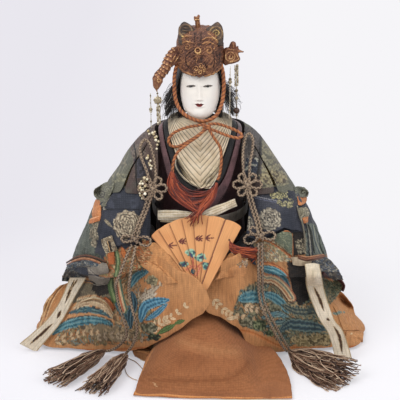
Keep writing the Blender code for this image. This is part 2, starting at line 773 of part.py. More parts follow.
def off_head(turn, place, lift):
    """A point held off the head's surface by an even distance."""
    step = 0.01
    here = head_point(turn, place)
    round_head = head_point(turn + step, place) - head_point(turn - step, place)
    up_head = head_point(turn, place + step) - head_point(turn, place - step)
    return here + round_head.cross(up_head).normalized() * lift


def make_head():
    skin = material("gofun", (0.93, 0.91, 0.87), 0.35)
    rings = []
    for level in (0.0, 0.04, 0.10, 0.18, 0.26, 0.33, 0.40, 0.50, 0.62, 0.74, 0.85, 0.94, 1.0):
        rings.append([head_point(2 * math.pi * k / 22, level) for k in range(22)])
    head = loft("head", rings, skin)
    top = CHIN_HEIGHT + HEAD_HEIGHT / 2
    low = CORE_TOP_HEIGHT + GAP
    neck = cylinder_tool("neck_guide", (0, 0, (top + low) / 2), NECK_RADIUS, top - low, sides=20)
    combine(head, neck, "UNION")
    socket = cylinder_tool("peg_socket_cutter", (0, 0, low), PEG_RADIUS + GAP, PEG_SEAT * 2)
    combine(head, socket, "DIFFERENCE")
    wood = material("bare_wood", (0.45, 0.30, 0.17))
    peg_top = low + PEG_SEAT - GAP
    peg_low = CORE_TOP_HEIGHT - PEG_LENGTH
    cylinder_tool("neck_peg", (0, 0, (peg_top + peg_low) / 2), PEG_RADIUS, peg_top - peg_low,
        sides=20).data.materials[0] = wood


lock_shares = ((1.24, 0.12, 0.46), (1.42, 0.26, 0.34), (1.50, 0.30, 0.20), (1.60, 0.18, 0.06),
    (1.72, 0.06, -0.06))


def make_hair():
    black = material("black_hair", (0.015, 0.012, 0.012), 0.6)

    def surface(u, v):
        place = HAIR_HIGH_SHARE + (HAIR_LOW_SHARE - HAIR_HIGH_SHARE) * v
        start = math.radians(HAIRLINE_TOP_ANGLE + (HAIRLINE_LOW_ANGLE - HAIRLINE_TOP_ANGLE) * v ** 1.4)
        turn = 2 * math.pi - start - (2 * math.pi - 2 * start) * u
        return off_head(turn, place, HAIR_THICKNESS + GAP)

    hair = sheet("hair", surface, 18, 6, HAIR_THICKNESS * 0.85, black)
    for side, label, full in ((-1, "left", 1.0), (1, "right", 0.72)):
        route = [(side * x * HEAD_HALF_WIDTH, y * HEAD_HALF_DEPTH, CHIN_HEIGHT + z * HEAD_HEIGHT) for x, y,
            z in lock_shares]
        radii = [LOCK_RADIUS * full * share for share in (0.8, 0.95, 1.0, 0.8, 0.15)]
        lock = tapered(f"lock_guide_{label}", smooth_route(route, 7), radii, black, 8)
        combine(hair, lock, "UNION")


crown_row_shares = ((0.0, 1.0), (0.3, 1.04), (0.55, 1.03), (0.75, 0.97), (0.88, 0.86), (0.96, 0.66),
    (1.0, 0.38), (1.005, 0.06))


def crown_radius_share(level):
    levels = [row[0] for row in crown_row_shares]
    low = max(i for i in range(len(levels) - 1) if levels[i] <= level)
    t = (level - levels[low]) / (levels[low + 1] - levels[low])
    return crown_row_shares[low][1] + (crown_row_shares[low + 1][1] - crown_row_shares[low][1]) * t


def crown_point(turn, level, lift=0.0):
    """A point on the crown's outer face; level 0 is the dipping rim and 1 the top."""
    x, y = superellipse(turn, 2.3)
    front = max(0.0, math.cos(turn))
    rim = CROWN_RIM_LIFT * (1 - front ** 2)
    height = CROWN_RIM_HEIGHT + rim + (CROWN_HEIGHT - rim) * level
    share = crown_radius_share(min(level, crown_row_shares[-1][0]))
    return Vector((
        x * (CROWN_HALF_WIDTH * share + lift),
        HEAD_CENTRE_Y + y * (CROWN_HALF_DEPTH * share + lift),
        height,
    ))


def plate(name, outline, middle_y, thickness, look):
    """A flat cast piece: an outline in the XZ plane, thickened along Y."""
    shape = bmesh.new()
    face = shape.faces.new([shape.verts.new((x, middle_y - thickness / 2, z)) for x, z in outline])
    pushed = bmesh.ops.extrude_face_region(shape, geom=[face])
    for item in pushed["geom"]:
        if isinstance(item, bmesh.types.BMVert):
            item.co.y += thickness
    return from_bmesh(name, shape, look, 30)


ear_shares = ((0.96, -0.30), (1.00, 0.62), (0.93, 0.90), (0.74, 1.00), (0.52, 0.90), (0.30, 0.66),
    (0.16, 0.36), (0.10, 0.10), (0.50, 0.02))
pin_shares = ((-0.42, 0.0), (0.42, 0.0), (0.40, 0.60), (0.62, 0.72), (0.50, 0.92), (0.18, 1.0),
    (-0.50, 0.90), (-0.55, 0.66), (-0.40, 0.56))


def make_crown():
    gilt = material("aged_gilt", (0.33, 0.17, 0.07), 0.45, 0.7)

    def surface(u, v):
        turn = 2 * math.pi * u
        level = crown_row_shares[-1][0] * (1 - v)
        wave = math.sin(6 * math.pi * v) * math.cos(4 * turn) * math.sin(math.pi * v)
        return crown_point(turn, level, CROWN_RELIEF * wave)

    crown = sheet("crown", surface, 24, 9, CROWN_METAL, gilt, closed=True)
    for side, label in ((-1, "left"), (1, "right")):
        outline = [(side * (EAR_OFFSET + x * EAR_WIDTH), CROWN_EAR_FOOT + z * EAR_HEIGHT) for x,
            z in ear_shares]
        ear = plate(f"ear_guide_{label}", outline, HEAD_CENTRE_Y, EAR_THICKNESS, gilt)
        combine(crown, ear, "UNION")
    foot = CROWN_RIM_HEIGHT + CROWN_HEIGHT - CROWN_METAL
    pin = [(x * PIN_WIDTH, foot + z * PIN_HEIGHT) for x, z in pin_shares]
    combine(crown, plate("pin_guide", pin, HEAD_CENTRE_Y, PIN_WIDTH * 0.6, gilt), "UNION")
    centre = crown_point(0, 0.0) + Vector((0, GAP, MEDAL_RADIUS * 0.7))
    route = [centre + Vector((0, -MEDAL_THICKNESS * share, 0)) for share in (1.0, 0.85, 0.5, 0.0)]
    radii = [MEDAL_RADIUS * share for share in (0.2, 0.62, 0.92, 1.0)]
    combine(crown, tapered("medallion_guide", route, radii, gilt, 12), "UNION")

    route = [(side_x * CROWN_HALF_WIDTH, y * CROWN_HALF_DEPTH,
        CROWN_RIM_HEIGHT + z * CROWN_HEIGHT) for side_x, y, z in bird_shares]
    fine = smooth_route(route, 15)
    radii = []
    for i in range(15):
        swell = share_between(bird_radius_shares, i / 14 * (len(bird_radius_shares) - 1))
        radii.append(NECK_OF_BIRD_RADIUS * swell * (1 + 0.10 * (-1) ** i if 2 < i < 11 else 1))
    tapered("phoenix_head", fine, radii, gilt, 8)

    centre_x = CROWN_HALF_WIDTH * 1.05 + ROSETTE_RADIUS + GAP * 2
    centre_z = CROWN_RIM_HEIGHT + CROWN_HEIGHT * 0.34
    outline = []
    for step in range(20):
        angle = 2 * math.pi * step / 20
        reach = ROSETTE_RADIUS * (1.0 - 0.08 * (step % 2)) + SPIKE_LENGTH * spike_shares.get(step, 0.0)
        outline.append((centre_x + math.cos(angle) * reach, centre_z + math.sin(angle) * reach))
    plate("phoenix_tail", outline, ROSETTE_Y, ROSETTE_THICKNESS, gilt)


bird_shares = ((-1.14, -0.42, 0.45), (-1.34, -0.56, 0.27), (-1.50, -0.62, 0.10), (-1.68, -0.64, -0.03),
    (-1.86, -0.64, -0.14),
               (-1.90, -0.64, -0.30), (-1.86, -0.64, -0.44))
bird_radius_shares = (0.40, 0.95, 1.0, 0.95, 0.88, 0.62, 0.14)
spike_shares = {1: 0.25, 2: 0.75, 3: 0.3, 5: 0.85, 6: 0.15, 0: 0.2, 19: 0.35}

# Silk cord routes, chosen by hand along the photographed cords

chin_route = [(-0.0252, -0.012, 0.2845), (-0.0252, -0.014, 0.2779), (-0.0250, -0.016, 0.2676),
    (-0.0234, -0.0175, 0.2541),
              (-0.0188, -0.021, 0.2442), (-0.0103, -0.025, 0.2381), (-0.0012, -0.0258, 0.2349), (0.0072,
                  -0.0258, 0.2352),
              (0.0148, -0.025, 0.2394), (0.0206, -0.021, 0.2471), (0.0234, -0.0175, 0.2572), (0.0246,
                  -0.016, 0.2676),
              (0.0250, -0.014, 0.2779), (0.0250, -0.012, 0.2845)]
bow_left_route = [(0.0055, -0.0316, 0.2330), (-0.0030, -0.0290, 0.2312), (-0.0136, -0.0250, 0.2278),
    (-0.0251, -0.0240, 0.2224),
                  (-0.0302, -0.0254, 0.2160), (-0.0281, -0.0268, 0.2105), (-0.0212, -0.0295,
                      0.2103), (-0.0121, -0.0300, 0.2151),
                  (-0.0030, -0.0320, 0.2215), (0.0058, -0.0343, 0.2292)]
bow_right_route = [(0.0078, -0.0313, 0.2332), (0.0166, -0.0270, 0.2322), (0.0273, -0.0265, 0.2287),
    (0.0371, -0.0275, 0.2243),
                   (0.0401, -0.0310, 0.2214), (0.0355, -0.0330, 0.2200), (0.0242, -0.0310,
                       0.2225), (0.0136, -0.0320, 0.2272),
                   (0.0078, -0.0343, 0.2294)]
end_left_route = [(0.0062, -0.0328, 0.2309), (-0.0010, -0.0362, 0.2236), (-0.0121, -0.0345, 0.2147),
    (-0.0211, -0.0375, 0.2075),
                  (-0.0254, -0.0410, 0.1983), (-0.0263, -0.0450, 0.1875)]
end_right_route = [(0.0074, -0.0328, 0.2309), (0.0130, -0.0355, 0.2215), (0.0193, -0.0355, 0.2111),
    (0.0204, -0.0400, 0.1999),
                   (0.0193, -0.0440, 0.1901), (0.0169, -0.0475, 0.1823)]
tassel_chin_left_route = [(-0.0264, -0.0452, 0.1868), (-0.0263, -0.0510, 0.1781),
    (-0.0195, -0.0560, 0.1719), (-0.0075, -0.0600, 0.1654),
                          (0.0023, -0.0602, 0.1557)]
tassel_chin_right_route = [(0.0167, -0.0477, 0.1818), (0.0135, -0.0540, 0.1735), (0.0090, -0.0595, 0.1660),
    (0.0036, -0.0604, 0.1560)]


def make_chin_cord():
    cord("chin_cord", chin_route, SILK_CORD_RADIUS, material("red_silk", (0.42, 0.09, 0.03), 0.6), 20)


def make_bow():
    red = material("red_silk", (0.42, 0.09, 0.03), 0.6)
    centre = Vector(bow_left_route[0]).lerp(Vector(bow_right_route[0]), 0.5)
    shape = bmesh.new()
    bmesh.ops.create_uvsphere(shape, u_segments=10, v_segments=6, radius=BOW_KNOT_RADIUS)
    for vert in shape.verts:
        vert.co += centre
    bow = from_bmesh("cord_bow", shape, red, 60)
    for i, (route, count) in enumerate(((bow_left_route, 14), (bow_right_route, 13), (end_left_route, 8),
        (end_right_route, 8))):
        combine(bow, tube_mesh(f"bow_guide_{i + 1}", route, SILK_CORD_RADIUS, red, count), "UNION")
    dark_red = material("red_thread", (0.38, 0.06, 0.03), 0.8)
    radii = [CHIN_TASSEL_RADIUS * share for share in (0.3, 0.75, 1.0, 0.85, 0.4)]
    tassel = tapered("chin_tassel", smooth_route(tassel_chin_left_route, 8), radii, dark_red, 10, 0.36)
    radii = [CHIN_TASSEL_RADIUS * share for share in (0.3, 0.6, 0.6, 0.4)]
    second = tapered("tassel_guide", smooth_route(tassel_chin_right_route, 7), radii, dark_red, 10, 0.36)
    combine(tassel, second, "UNION")


# Hanging pendants: string and beads turned as one piece, as (distance down, radius) shares

pendant_shares = {
    "pendant_left_front": ((-1.86, -0.64, -0.45), 0.72, (0.20,)),
    "pendant_left_back": ((-2.03, -0.52, -0.277), 0.95, (0.42, 0.82)),
    "pendant_right_front": ((1.295, -0.42, 0.169), 1.27, (0.36, 0.66)),
    "pendant_right_back": ((1.527, -0.31, 0.180), 1.30, (0.58, 0.82)),
}


def make_pendants():
    look = material("silvered_beads", (0.55, 0.50, 0.40), 0.4, 0.4)
    for name, ((x, y, z), drop, discs) in pendant_shares.items():
        top = Vector((x * CROWN_HALF_WIDTH, y * CROWN_HALF_DEPTH, CROWN_RIM_HEIGHT + z * CROWN_HEIGHT))
        length = drop * CROWN_HEIGHT
        count = round(length / BEAD_PITCH)
        rings = []
        for i in range(count):
            middle = (i + 0.5) / count
            big = any(abs(middle - disc) < 0.5 / count for disc in discs)
            bead = DISC_RADIUS if big else BEAD_RADIUS * (1.0 if i % 2 else 0.6)
            for share, radius in ((i / count, STRING_RADIUS), (middle, bead)):
                rings.append((share, radius))
        rings.append((1.0, STRING_RADIUS))
        points = []
        for share, radius in rings:
            centre = top - Vector((0, 0, length * share))
            points.append([centre + Vector((math.cos(math.pi * k / 3), math.sin(math.pi * k / 3),
                0)) * radius for k in range(6)])
        loft(name, points, look)


# Folding fan of thin cypress slats on a rivet

def fan_point(angle, along, across, layer):
    """A point of a slat: along it from the rivet, across it, and out of the fan towards the viewer."""
    up = Vector((0, math.sin(FAN_LEAN), math.cos(FAN_LEAN)))
    right = Vector((1, 0, 0))
    out = Vector((0, -math.cos(FAN_LEAN), math.sin(FAN_LEAN)))
    direction = right * math.sin(angle) + up * math.cos(angle)
    sideways = right * math.cos(angle) - up * math.sin(angle)
    return FAN_PIVOT + direction * along + sideways * across + out * layer


def slat_outline():
    """Half the slat's outline from the tail up, mirrored over a rounded tip."""
    tip = FAN_LENGTH * (1 - SLAT_TIP_ROUND)
    side = [(-FAN_TAIL, SLAT_ROOT_WIDTH * 0.28), (-FAN_TAIL * 0.6, SLAT_ROOT_WIDTH * 0.45),
        (0.0, SLAT_ROOT_WIDTH / 2),
            (FAN_LENGTH / 2, (SLAT_ROOT_WIDTH + SLAT_TIP_WIDTH) / 4), (tip, SLAT_TIP_WIDTH / 2)]
    crest = []
    for step in range(1, 4):
        share = step / 4 - 0.5
        crest.append((tip + FAN_LENGTH * SLAT_TIP_ROUND * math.cos(math.pi * share), SLAT_TIP_WIDTH * share))
    return [(along, -half) for along, half in side] + crest + list(reversed(side))


def make_fan():
    wood = material("cypress", (0.62, 0.31, 0.12), 0.6)
    brass = material("brass", (0.55, 0.40, 0.15), 0.35, 0.9)
    count = len(SLAT_ANGLES)
    for i, lean in enumerate(SLAT_ANGLES):
        angle = math.radians(lean)
        layer = SLAT_PITCH * ((count - 1) / 2 - i)
        outline = slat_outline()
        shape = bmesh.new()
        back = layer - SLAT_THICKNESS / 2
        low = [shape.verts.new(fan_point(angle, a, b, back)) for a, b in outline]
        high = [shape.verts.new(fan_point(angle, a, b, back + SLAT_THICKNESS)) for a, b in outline]
        shape.faces.new(low)
        shape.faces.new(list(reversed(high)))
        for k in range(len(outline)):
            j = (k + 1) % len(outline)
            shape.faces.new((low[k], high[k], high[j], low[j]))
        slat = from_bmesh(f"fan_slat_{i + 1}", shape, wood, 30)
        out = fan_point(0, 0, 0, 1) - FAN_PIVOT
        centre = fan_point(0, 0, 0, layer)
        bore = cylinder_tool(f"rivet_bore_cutter_{i + 1}", centre, RIVET_BORE_RADIUS, SLAT_THICKNESS * 4,
            out, 12)
        combine(slat, bore, "DIFFERENCE")
    half = SLAT_PITCH * (count - 1) / 2 + SLAT_THICKNESS / 2 + GAP
    head = RIVET_HEAD_HEIGHT
    front_profile = [(half, RIVET_RADIUS), (half, RIVET_HEAD_RADIUS), (half + head / 2, RIVET_HEAD_RADIUS),
                     (half + head, RIVET_HEAD_RADIUS * 0.6)]
    rings = []
    for layer, radius in [(-layer, radius) for layer, radius in reversed(front_profile)] + front_profile:
        rings.append([fan_point(2 * math.pi * k / 12, radius, 0, layer) for k in range(12)])
    loft("fan_rivet", rings, brass, 40)
    red = material("red_thread", (0.38, 0.06, 0.03), 0.8)
    front = SLAT_PITCH * (count - 1) / 2 + SLAT_THICKNESS / 2 + FAN_TASSEL_RADIUS * 0.5 + GAP * 2
    tie = math.radians(SLAT_ANGLES[0])
    route = []
    for along, across, out in fan_tassel_shares:
        route.append(fan_point(tie, FAN_LENGTH * along, SLAT_TIP_WIDTH * across,
            front + FAN_TASSEL_RADIUS * out))
    radii = [FAN_TASSEL_RADIUS * share for share in (0.3, 0.7, 1.0, 1.0, 0.6)]
    tapered("fan_tassel", smooth_route(route, 8), radii, red, 10, 0.5, 5, 0.1)


fan_tassel_shares = ((0.76, 0.20, 0.0), (0.72, 0.55, 0.3), (0.68, 0.95, 0.5), (0.66, 1.45, 0.7),
    (0.68, 2.05, 0.9))

# Braided frog cords: a shoulder loop and a flower knot, a twin cord to a lower knot, and the falls to the tassels

petal_shares = {
    "flower": ((-0.80, 0.60, 0.75), (0.80, 0.60, 0.75), (-1.0, -0.05, 1.0), (1.0, -0.05, 1.0),
        (-0.86, -0.60, 0.75), (0.86, -0.60, 0.75)),
    "butterfly_left": ((0.95, -0.20, 0.95), (-0.95, 0.05, 0.85)),
    "butterfly_right": ((-0.95, -0.30, 0.95), (0.95, 0.0, 0.95), (-0.85, 0.55, 0.75)),
}
frog_routes = {
    "left": {
        "loop": [(-0.0431, -0.0563, 0.1790), (-0.0420, -0.0518, 0.1890), (-0.0430, -0.0458, 0.1985),
            (-0.0455, -0.0378, 0.2080),
                 (-0.0495, -0.0288, 0.2150), (-0.0545, -0.0248, 0.2150), (-0.0575, -0.0323,
                     0.2090), (-0.0555, -0.0418, 0.2020),
                 (-0.0505, -0.0498, 0.1920), (-0.0469, -0.0563, 0.1790)],
        "knot": (-0.0450, -0.0568, 0.1770),
        "middle": [(-0.0453, -0.0573, 0.1757), (-0.0490, -0.0613, 0.1660), (-0.0515, -0.0643, 0.1590),
            (-0.0565, -0.0693, 0.1480),
                   (-0.0600, -0.0733, 0.1400), (-0.0615, -0.0753, 0.1350)],
        "lower_knot": (-0.0620, -0.0763, 0.1335),
    },
    "right": {
        "loop": [(0.0431, -0.0545, 0.1820), (0.0415, -0.0505, 0.1910), (0.0408, -0.0435, 0.2010),
            (0.0415, -0.0350, 0.2100),
                 (0.0440, -0.0250, 0.2185), (0.0480, -0.0205, 0.2205), (0.0510, -0.0260, 0.2155), (0.0500,
                     -0.0360, 0.2075),
                 (0.0475, -0.0455, 0.1970), (0.0469, -0.0545, 0.1820)],
        "knot": (0.0450, -0.0550, 0.1800),
        "middle": [(0.0453, -0.0557, 0.1787), (0.0475, -0.0600, 0.1690), (0.0500, -0.0635, 0.1610),
            (0.0540, -0.0690, 0.1500),
                   (0.0560, -0.0725, 0.1425), (0.0568, -0.0745, 0.1380)],
        "lower_knot": (0.0570, -0.0755, 0.1365),
    },
}
fall_routes = {
    "fall_left_outer": [(-0.0642, -0.0788, 0.1288), (-0.0685, -0.0825, 0.1210), (-0.0720, -0.0855, 0.1120),
        (-0.0760, -0.0880, 0.1020),
                        (-0.0795, -0.0865, 0.0920), (-0.0800, -0.0785, 0.0800), (-0.0785, -0.0745,
                            0.0650), (-0.0730, -0.0775, 0.0480),
                        (-0.0715, -0.0765, 0.0330), (-0.0790, -0.0705, 0.0190), (-0.0880, -0.0645,
                            0.0105), (-0.0950, -0.0595, 0.0070)],
    "fall_left_inner": [(-0.0607, -0.0790, 0.1284), (-0.0625, -0.0835, 0.1200), (-0.0645, -0.0875, 0.1110),
        (-0.0660, -0.0900, 0.1000),
                        (-0.0675, -0.0860, 0.0880), (-0.0675, -0.0815, 0.0770), (-0.0650, -0.0825,
                            0.0630), (-0.0610, -0.0835, 0.0470),
                        (-0.0620, -0.0805, 0.0330), (-0.0670, -0.0755, 0.0200), (-0.0735, -0.0700, 0.0090)],
    "fall_right_inner": [(0.0553, -0.0785, 0.1305), (0.0552, -0.0825, 0.1230), (0.0552, -0.0875, 0.1100),
        (0.0555, -0.0865, 0.0980),
                         (0.0560, -0.0835, 0.0840), (0.0580, -0.0840, 0.0710), (0.0620, -0.0835,
                             0.0600), (0.0675, -0.0800, 0.0470),
                         (0.0735, -0.0750, 0.0330), (0.0805, -0.0675, 0.0180), (0.0860, -0.0620, 0.0080)],
    "fall_right_outer": [(0.0588, -0.0785, 0.1305), (0.0588, -0.0825, 0.1230), (0.0588, -0.0875, 0.1100),
        (0.0591, -0.0860, 0.0980),
                         (0.0596, -0.0830, 0.0840), (0.0616, -0.0825, 0.0715), (0.0655, -0.0815,
                             0.0610), (0.0710, -0.0775, 0.0480),
                         (0.0768, -0.0720, 0.0340), (0.0838, -0.0645, 0.0190), (0.0892, -0.0597, 0.0080)],
}


def tube_mesh(name, route, radius, look, count, sides=6):
    return tapered(name, smooth_route(route, count), [radius, radius], look, sides)


def petal_mesh(name, centre, direction, reach, roll, look):
    """One loop of a decorative knot: an oval ring of cord from the knot's middle outwards."""
    along = Vector(direction).normalized()
    lift = Vector(FROG_NORMAL)
    across = lift.cross(along).normalized()
    middle = Vector(centre) + along * (reach / 2 + BRAID_RADIUS)
    shape = bmesh.new()
    loops = []
    for i in range(PETAL_STEPS):
        turn = 2 * math.pi * i / PETAL_STEPS
        spoke = along * math.cos(turn) * reach / 2 + across * math.sin(turn) * PETAL_RADIUS
        out = spoke.normalized()
        ring = []
        for k in range(5):
            angle = 2 * math.pi * k / 5 + roll
            ring.append(shape.verts.new(middle + spoke + (out * math.cos(angle) + lift * math.sin(angle)) * BRAID_RADIUS))
        loops.append(ring)
    for a, b in zip(loops, loops[1:] + loops[:1]):
        for k in range(5):
            shape.faces.new((a[k], a[(k + 1) % 5], b[(k + 1) % 5], b[k]))
    return from_bmesh(name, shape, look, 60)


def add_knot(target, name, centre, petals, look):
    """A decorative knot: a flattened ball ringed by petals, tied into the target."""
    shape = bmesh.new()
    bmesh.ops.create_uvsphere(shape, u_segments=10, v_segments=5, radius=KNOT_RADIUS)
    for vert in shape.verts:
        vert.co = Vector((vert.co.x, vert.co.y * 0.72, vert.co.z)) + Vector(centre)
    knot = from_bmesh(name, shape, look, 60)
    if target:
        combine(target, knot, "UNION")
    target = target or knot
    up = Vector((0, 0.35, 0.94)).normalized()
    for i, (x, z, share) in enumerate(petals):
        direction = Vector((x, 0, 0)) + up * z
        layer = Vector(centre) + Vector(FROG_NORMAL) * GAP * (i % 3)
        roll = PETAL_ROLL * (i + 1)
        petal = petal_mesh(f"{name}_petal_guide_{i + 1}", layer, direction, PETAL_REACH * share, roll, look)
        combine(target, petal, "UNION")
    return target


def make_frogs():
    braid = material("brown_braid", (0.26, 0.18, 0.13), 0.85)
    for label, routes in frog_routes.items():
        frog = add_knot(None, "frog_" + label, routes["knot"], petal_shares["flower"], braid)
        combine(frog, tube_mesh(f"loop_guide_{label}", routes["loop"], BRAID_RADIUS, braid, 11, 4), "UNION")
        for i, shift in enumerate((-1, 1)):
            twin = [Vector(point) + Vector((shift * BRAID_RADIUS * 1.15, 0, 0)) for point in routes["middle"]]
            combine(frog, tube_mesh(f"twin_guide_{label}_{i + 1}", twin, BRAID_RADIUS, braid, 5, 4), "UNION")
        add_knot(frog, "lower_knot_guide_" + label, routes["lower_knot"],
            petal_shares["butterfly_" + label], braid)
    for name, route in fall_routes.items():
        cord(name, route, BRAID_RADIUS, braid, 20)


floor_tassel_routes = {
    "tassel_left_outer": [(-0.0962, -0.0612, 0.0066), (-0.1080, -0.0760, 0.0066),
        (-0.1240, -0.0960, 0.0064), (-0.1430, -0.1210, 0.0062)],
    "tassel_left_inner": [(-0.0746, -0.0718, 0.0079), (-0.0830, -0.0900, 0.0068),
        (-0.0940, -0.1150, 0.0064), (-0.1040, -0.1400, 0.0062)],
    "tassel_right": [(0.0886, -0.0630, 0.0080), (0.1010, -0.0780, 0.0068), (0.1200, -0.1000, 0.0064),
        (0.1410, -0.1230, 0.0062)],
}
tassel_width_shares = {"tassel_left_outer": 1.0, "tassel_left_inner": 1.0, "tassel_right": 1.6}


def make_tassels():
    thread = material("brown_thread", (0.20, 0.13, 0.09), 0.9)
    for name, route in floor_tassel_routes.items():
        wide = tassel_width_shares[name]
        shares = (0.42, 0.62, 0.55, 0.55 + 0.35 * wide, 0.6 + 0.45 * wide, 0.5 + 0.5 * wide)
        radii = [TASSEL_RADIUS * share for share in shares]
        tapered(name, smooth_route(route, 9), radii, thread, 12, 0.5 / wide ** 0.8, 6, 0.07)


def main():
    clear_scene()
    make_base_board()
    make_straw_core()
    make_knee_roll()
    for side, label in ((-1, "left"), (1, "right")):
        make_arm(side, label)
    make_kimono_body()
    make_collars()
    make_jacket()
    for side, label in ((-1, "left"), (1, "right")):
        make_sleeve(side, label)
    make_robe(-1, "left", left_edge_shares, (robe_top_shares[0], robe_hem_shares[0]))
    make_robe(1, "right", right_edge_shares, right_front_shares)
    make_hakama_panel()
    make_train_band(-1, "left")
    make_train_band(1, "right")
    make_sash()
    make_ribbon()
    make_head()
    make_hair()
    make_crown()
    make_chin_cord()
    make_bow()
    make_pendants()
    make_fan()
    make_frogs()
    make_tassels()


main()
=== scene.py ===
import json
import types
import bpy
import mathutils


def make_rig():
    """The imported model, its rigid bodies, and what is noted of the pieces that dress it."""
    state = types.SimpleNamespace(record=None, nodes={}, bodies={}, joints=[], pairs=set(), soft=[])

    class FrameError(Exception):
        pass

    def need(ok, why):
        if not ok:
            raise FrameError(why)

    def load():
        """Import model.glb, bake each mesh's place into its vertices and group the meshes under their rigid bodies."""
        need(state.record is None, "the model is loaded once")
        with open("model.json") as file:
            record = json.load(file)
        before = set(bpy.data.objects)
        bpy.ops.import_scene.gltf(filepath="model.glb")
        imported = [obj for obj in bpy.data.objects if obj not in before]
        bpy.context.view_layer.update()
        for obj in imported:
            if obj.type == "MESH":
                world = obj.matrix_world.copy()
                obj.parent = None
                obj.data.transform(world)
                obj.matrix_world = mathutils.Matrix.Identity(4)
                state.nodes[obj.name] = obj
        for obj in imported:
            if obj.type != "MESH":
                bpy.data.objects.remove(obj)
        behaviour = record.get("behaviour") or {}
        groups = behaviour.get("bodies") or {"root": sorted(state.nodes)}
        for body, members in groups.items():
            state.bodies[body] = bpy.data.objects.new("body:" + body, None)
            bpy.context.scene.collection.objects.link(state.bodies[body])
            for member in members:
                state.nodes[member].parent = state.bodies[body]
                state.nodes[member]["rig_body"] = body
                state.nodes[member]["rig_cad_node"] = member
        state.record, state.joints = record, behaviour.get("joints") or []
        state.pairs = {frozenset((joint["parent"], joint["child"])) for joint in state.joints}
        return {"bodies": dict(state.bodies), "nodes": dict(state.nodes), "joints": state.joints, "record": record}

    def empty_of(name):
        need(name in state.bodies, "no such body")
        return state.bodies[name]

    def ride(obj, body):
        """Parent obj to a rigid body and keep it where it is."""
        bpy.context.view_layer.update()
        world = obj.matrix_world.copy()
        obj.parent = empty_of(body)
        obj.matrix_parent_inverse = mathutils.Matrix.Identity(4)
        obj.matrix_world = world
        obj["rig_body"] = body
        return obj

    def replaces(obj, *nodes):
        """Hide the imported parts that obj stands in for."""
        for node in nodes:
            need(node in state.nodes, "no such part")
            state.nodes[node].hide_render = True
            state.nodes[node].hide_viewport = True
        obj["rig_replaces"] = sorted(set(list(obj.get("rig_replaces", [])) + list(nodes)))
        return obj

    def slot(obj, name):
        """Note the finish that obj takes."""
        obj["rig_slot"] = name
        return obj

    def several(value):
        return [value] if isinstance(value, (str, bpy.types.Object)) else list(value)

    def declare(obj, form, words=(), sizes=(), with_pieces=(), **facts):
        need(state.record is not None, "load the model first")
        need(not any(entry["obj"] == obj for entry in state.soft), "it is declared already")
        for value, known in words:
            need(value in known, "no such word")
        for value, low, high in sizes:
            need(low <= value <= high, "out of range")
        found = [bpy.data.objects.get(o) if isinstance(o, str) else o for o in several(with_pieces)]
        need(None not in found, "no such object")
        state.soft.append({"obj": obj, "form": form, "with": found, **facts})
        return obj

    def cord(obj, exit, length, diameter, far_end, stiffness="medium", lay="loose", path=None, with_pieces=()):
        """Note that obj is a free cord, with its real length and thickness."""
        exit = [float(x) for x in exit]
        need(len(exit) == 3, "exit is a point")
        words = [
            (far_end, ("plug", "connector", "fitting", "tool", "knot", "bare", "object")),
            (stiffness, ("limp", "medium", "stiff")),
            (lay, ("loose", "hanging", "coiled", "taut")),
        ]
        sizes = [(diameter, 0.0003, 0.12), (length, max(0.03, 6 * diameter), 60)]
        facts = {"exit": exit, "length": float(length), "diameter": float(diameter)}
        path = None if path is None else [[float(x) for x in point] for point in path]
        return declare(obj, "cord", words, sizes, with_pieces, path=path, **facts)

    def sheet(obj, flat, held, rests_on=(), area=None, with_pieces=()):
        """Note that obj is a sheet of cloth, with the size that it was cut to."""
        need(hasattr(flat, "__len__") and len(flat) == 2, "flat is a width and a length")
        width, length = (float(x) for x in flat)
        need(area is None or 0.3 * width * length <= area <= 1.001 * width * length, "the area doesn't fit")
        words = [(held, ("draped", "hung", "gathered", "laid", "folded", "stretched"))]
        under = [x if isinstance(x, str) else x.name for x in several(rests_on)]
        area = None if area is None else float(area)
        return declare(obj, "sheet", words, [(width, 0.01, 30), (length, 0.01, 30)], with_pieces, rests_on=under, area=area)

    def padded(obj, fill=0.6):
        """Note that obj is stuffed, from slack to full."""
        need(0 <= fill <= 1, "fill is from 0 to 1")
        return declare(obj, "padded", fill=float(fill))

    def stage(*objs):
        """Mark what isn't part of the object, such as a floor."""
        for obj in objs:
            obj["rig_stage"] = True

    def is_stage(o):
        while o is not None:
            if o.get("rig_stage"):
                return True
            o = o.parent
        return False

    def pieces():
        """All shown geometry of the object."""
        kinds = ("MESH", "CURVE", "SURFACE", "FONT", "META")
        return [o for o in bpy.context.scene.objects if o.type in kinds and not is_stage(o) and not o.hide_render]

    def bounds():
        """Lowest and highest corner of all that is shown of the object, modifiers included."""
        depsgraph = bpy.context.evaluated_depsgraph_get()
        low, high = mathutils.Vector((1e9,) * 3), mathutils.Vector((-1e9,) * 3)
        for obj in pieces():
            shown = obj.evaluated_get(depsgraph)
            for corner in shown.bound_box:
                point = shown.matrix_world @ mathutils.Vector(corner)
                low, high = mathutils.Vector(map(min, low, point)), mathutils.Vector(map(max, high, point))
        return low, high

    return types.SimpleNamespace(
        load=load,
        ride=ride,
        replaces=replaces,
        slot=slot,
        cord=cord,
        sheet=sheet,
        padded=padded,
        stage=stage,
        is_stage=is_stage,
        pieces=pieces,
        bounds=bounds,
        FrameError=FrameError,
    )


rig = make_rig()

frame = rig.load()

import bpy
import json
import math
import random
import numpy as np
from mathutils import Vector, Matrix, noise

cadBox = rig.bounds()
nodes = frame["nodes"]

# Where the photographer stood, and the room

studio = {
    "cameraSpot": (0.0, -1.1746, 0.5725),
    "cameraTilt": 70.0,
    "lens": 112.5,
    "wall": "#F1F0F6",
    "floor": "#F3F2F7",
    # wallLeft and wallRight: the backdrop painted darker on the left and lighter on the right, a painted light falloff
    "wallLeft": "#E9E7EE",
    "wallRight": "#F6F5F8",
}

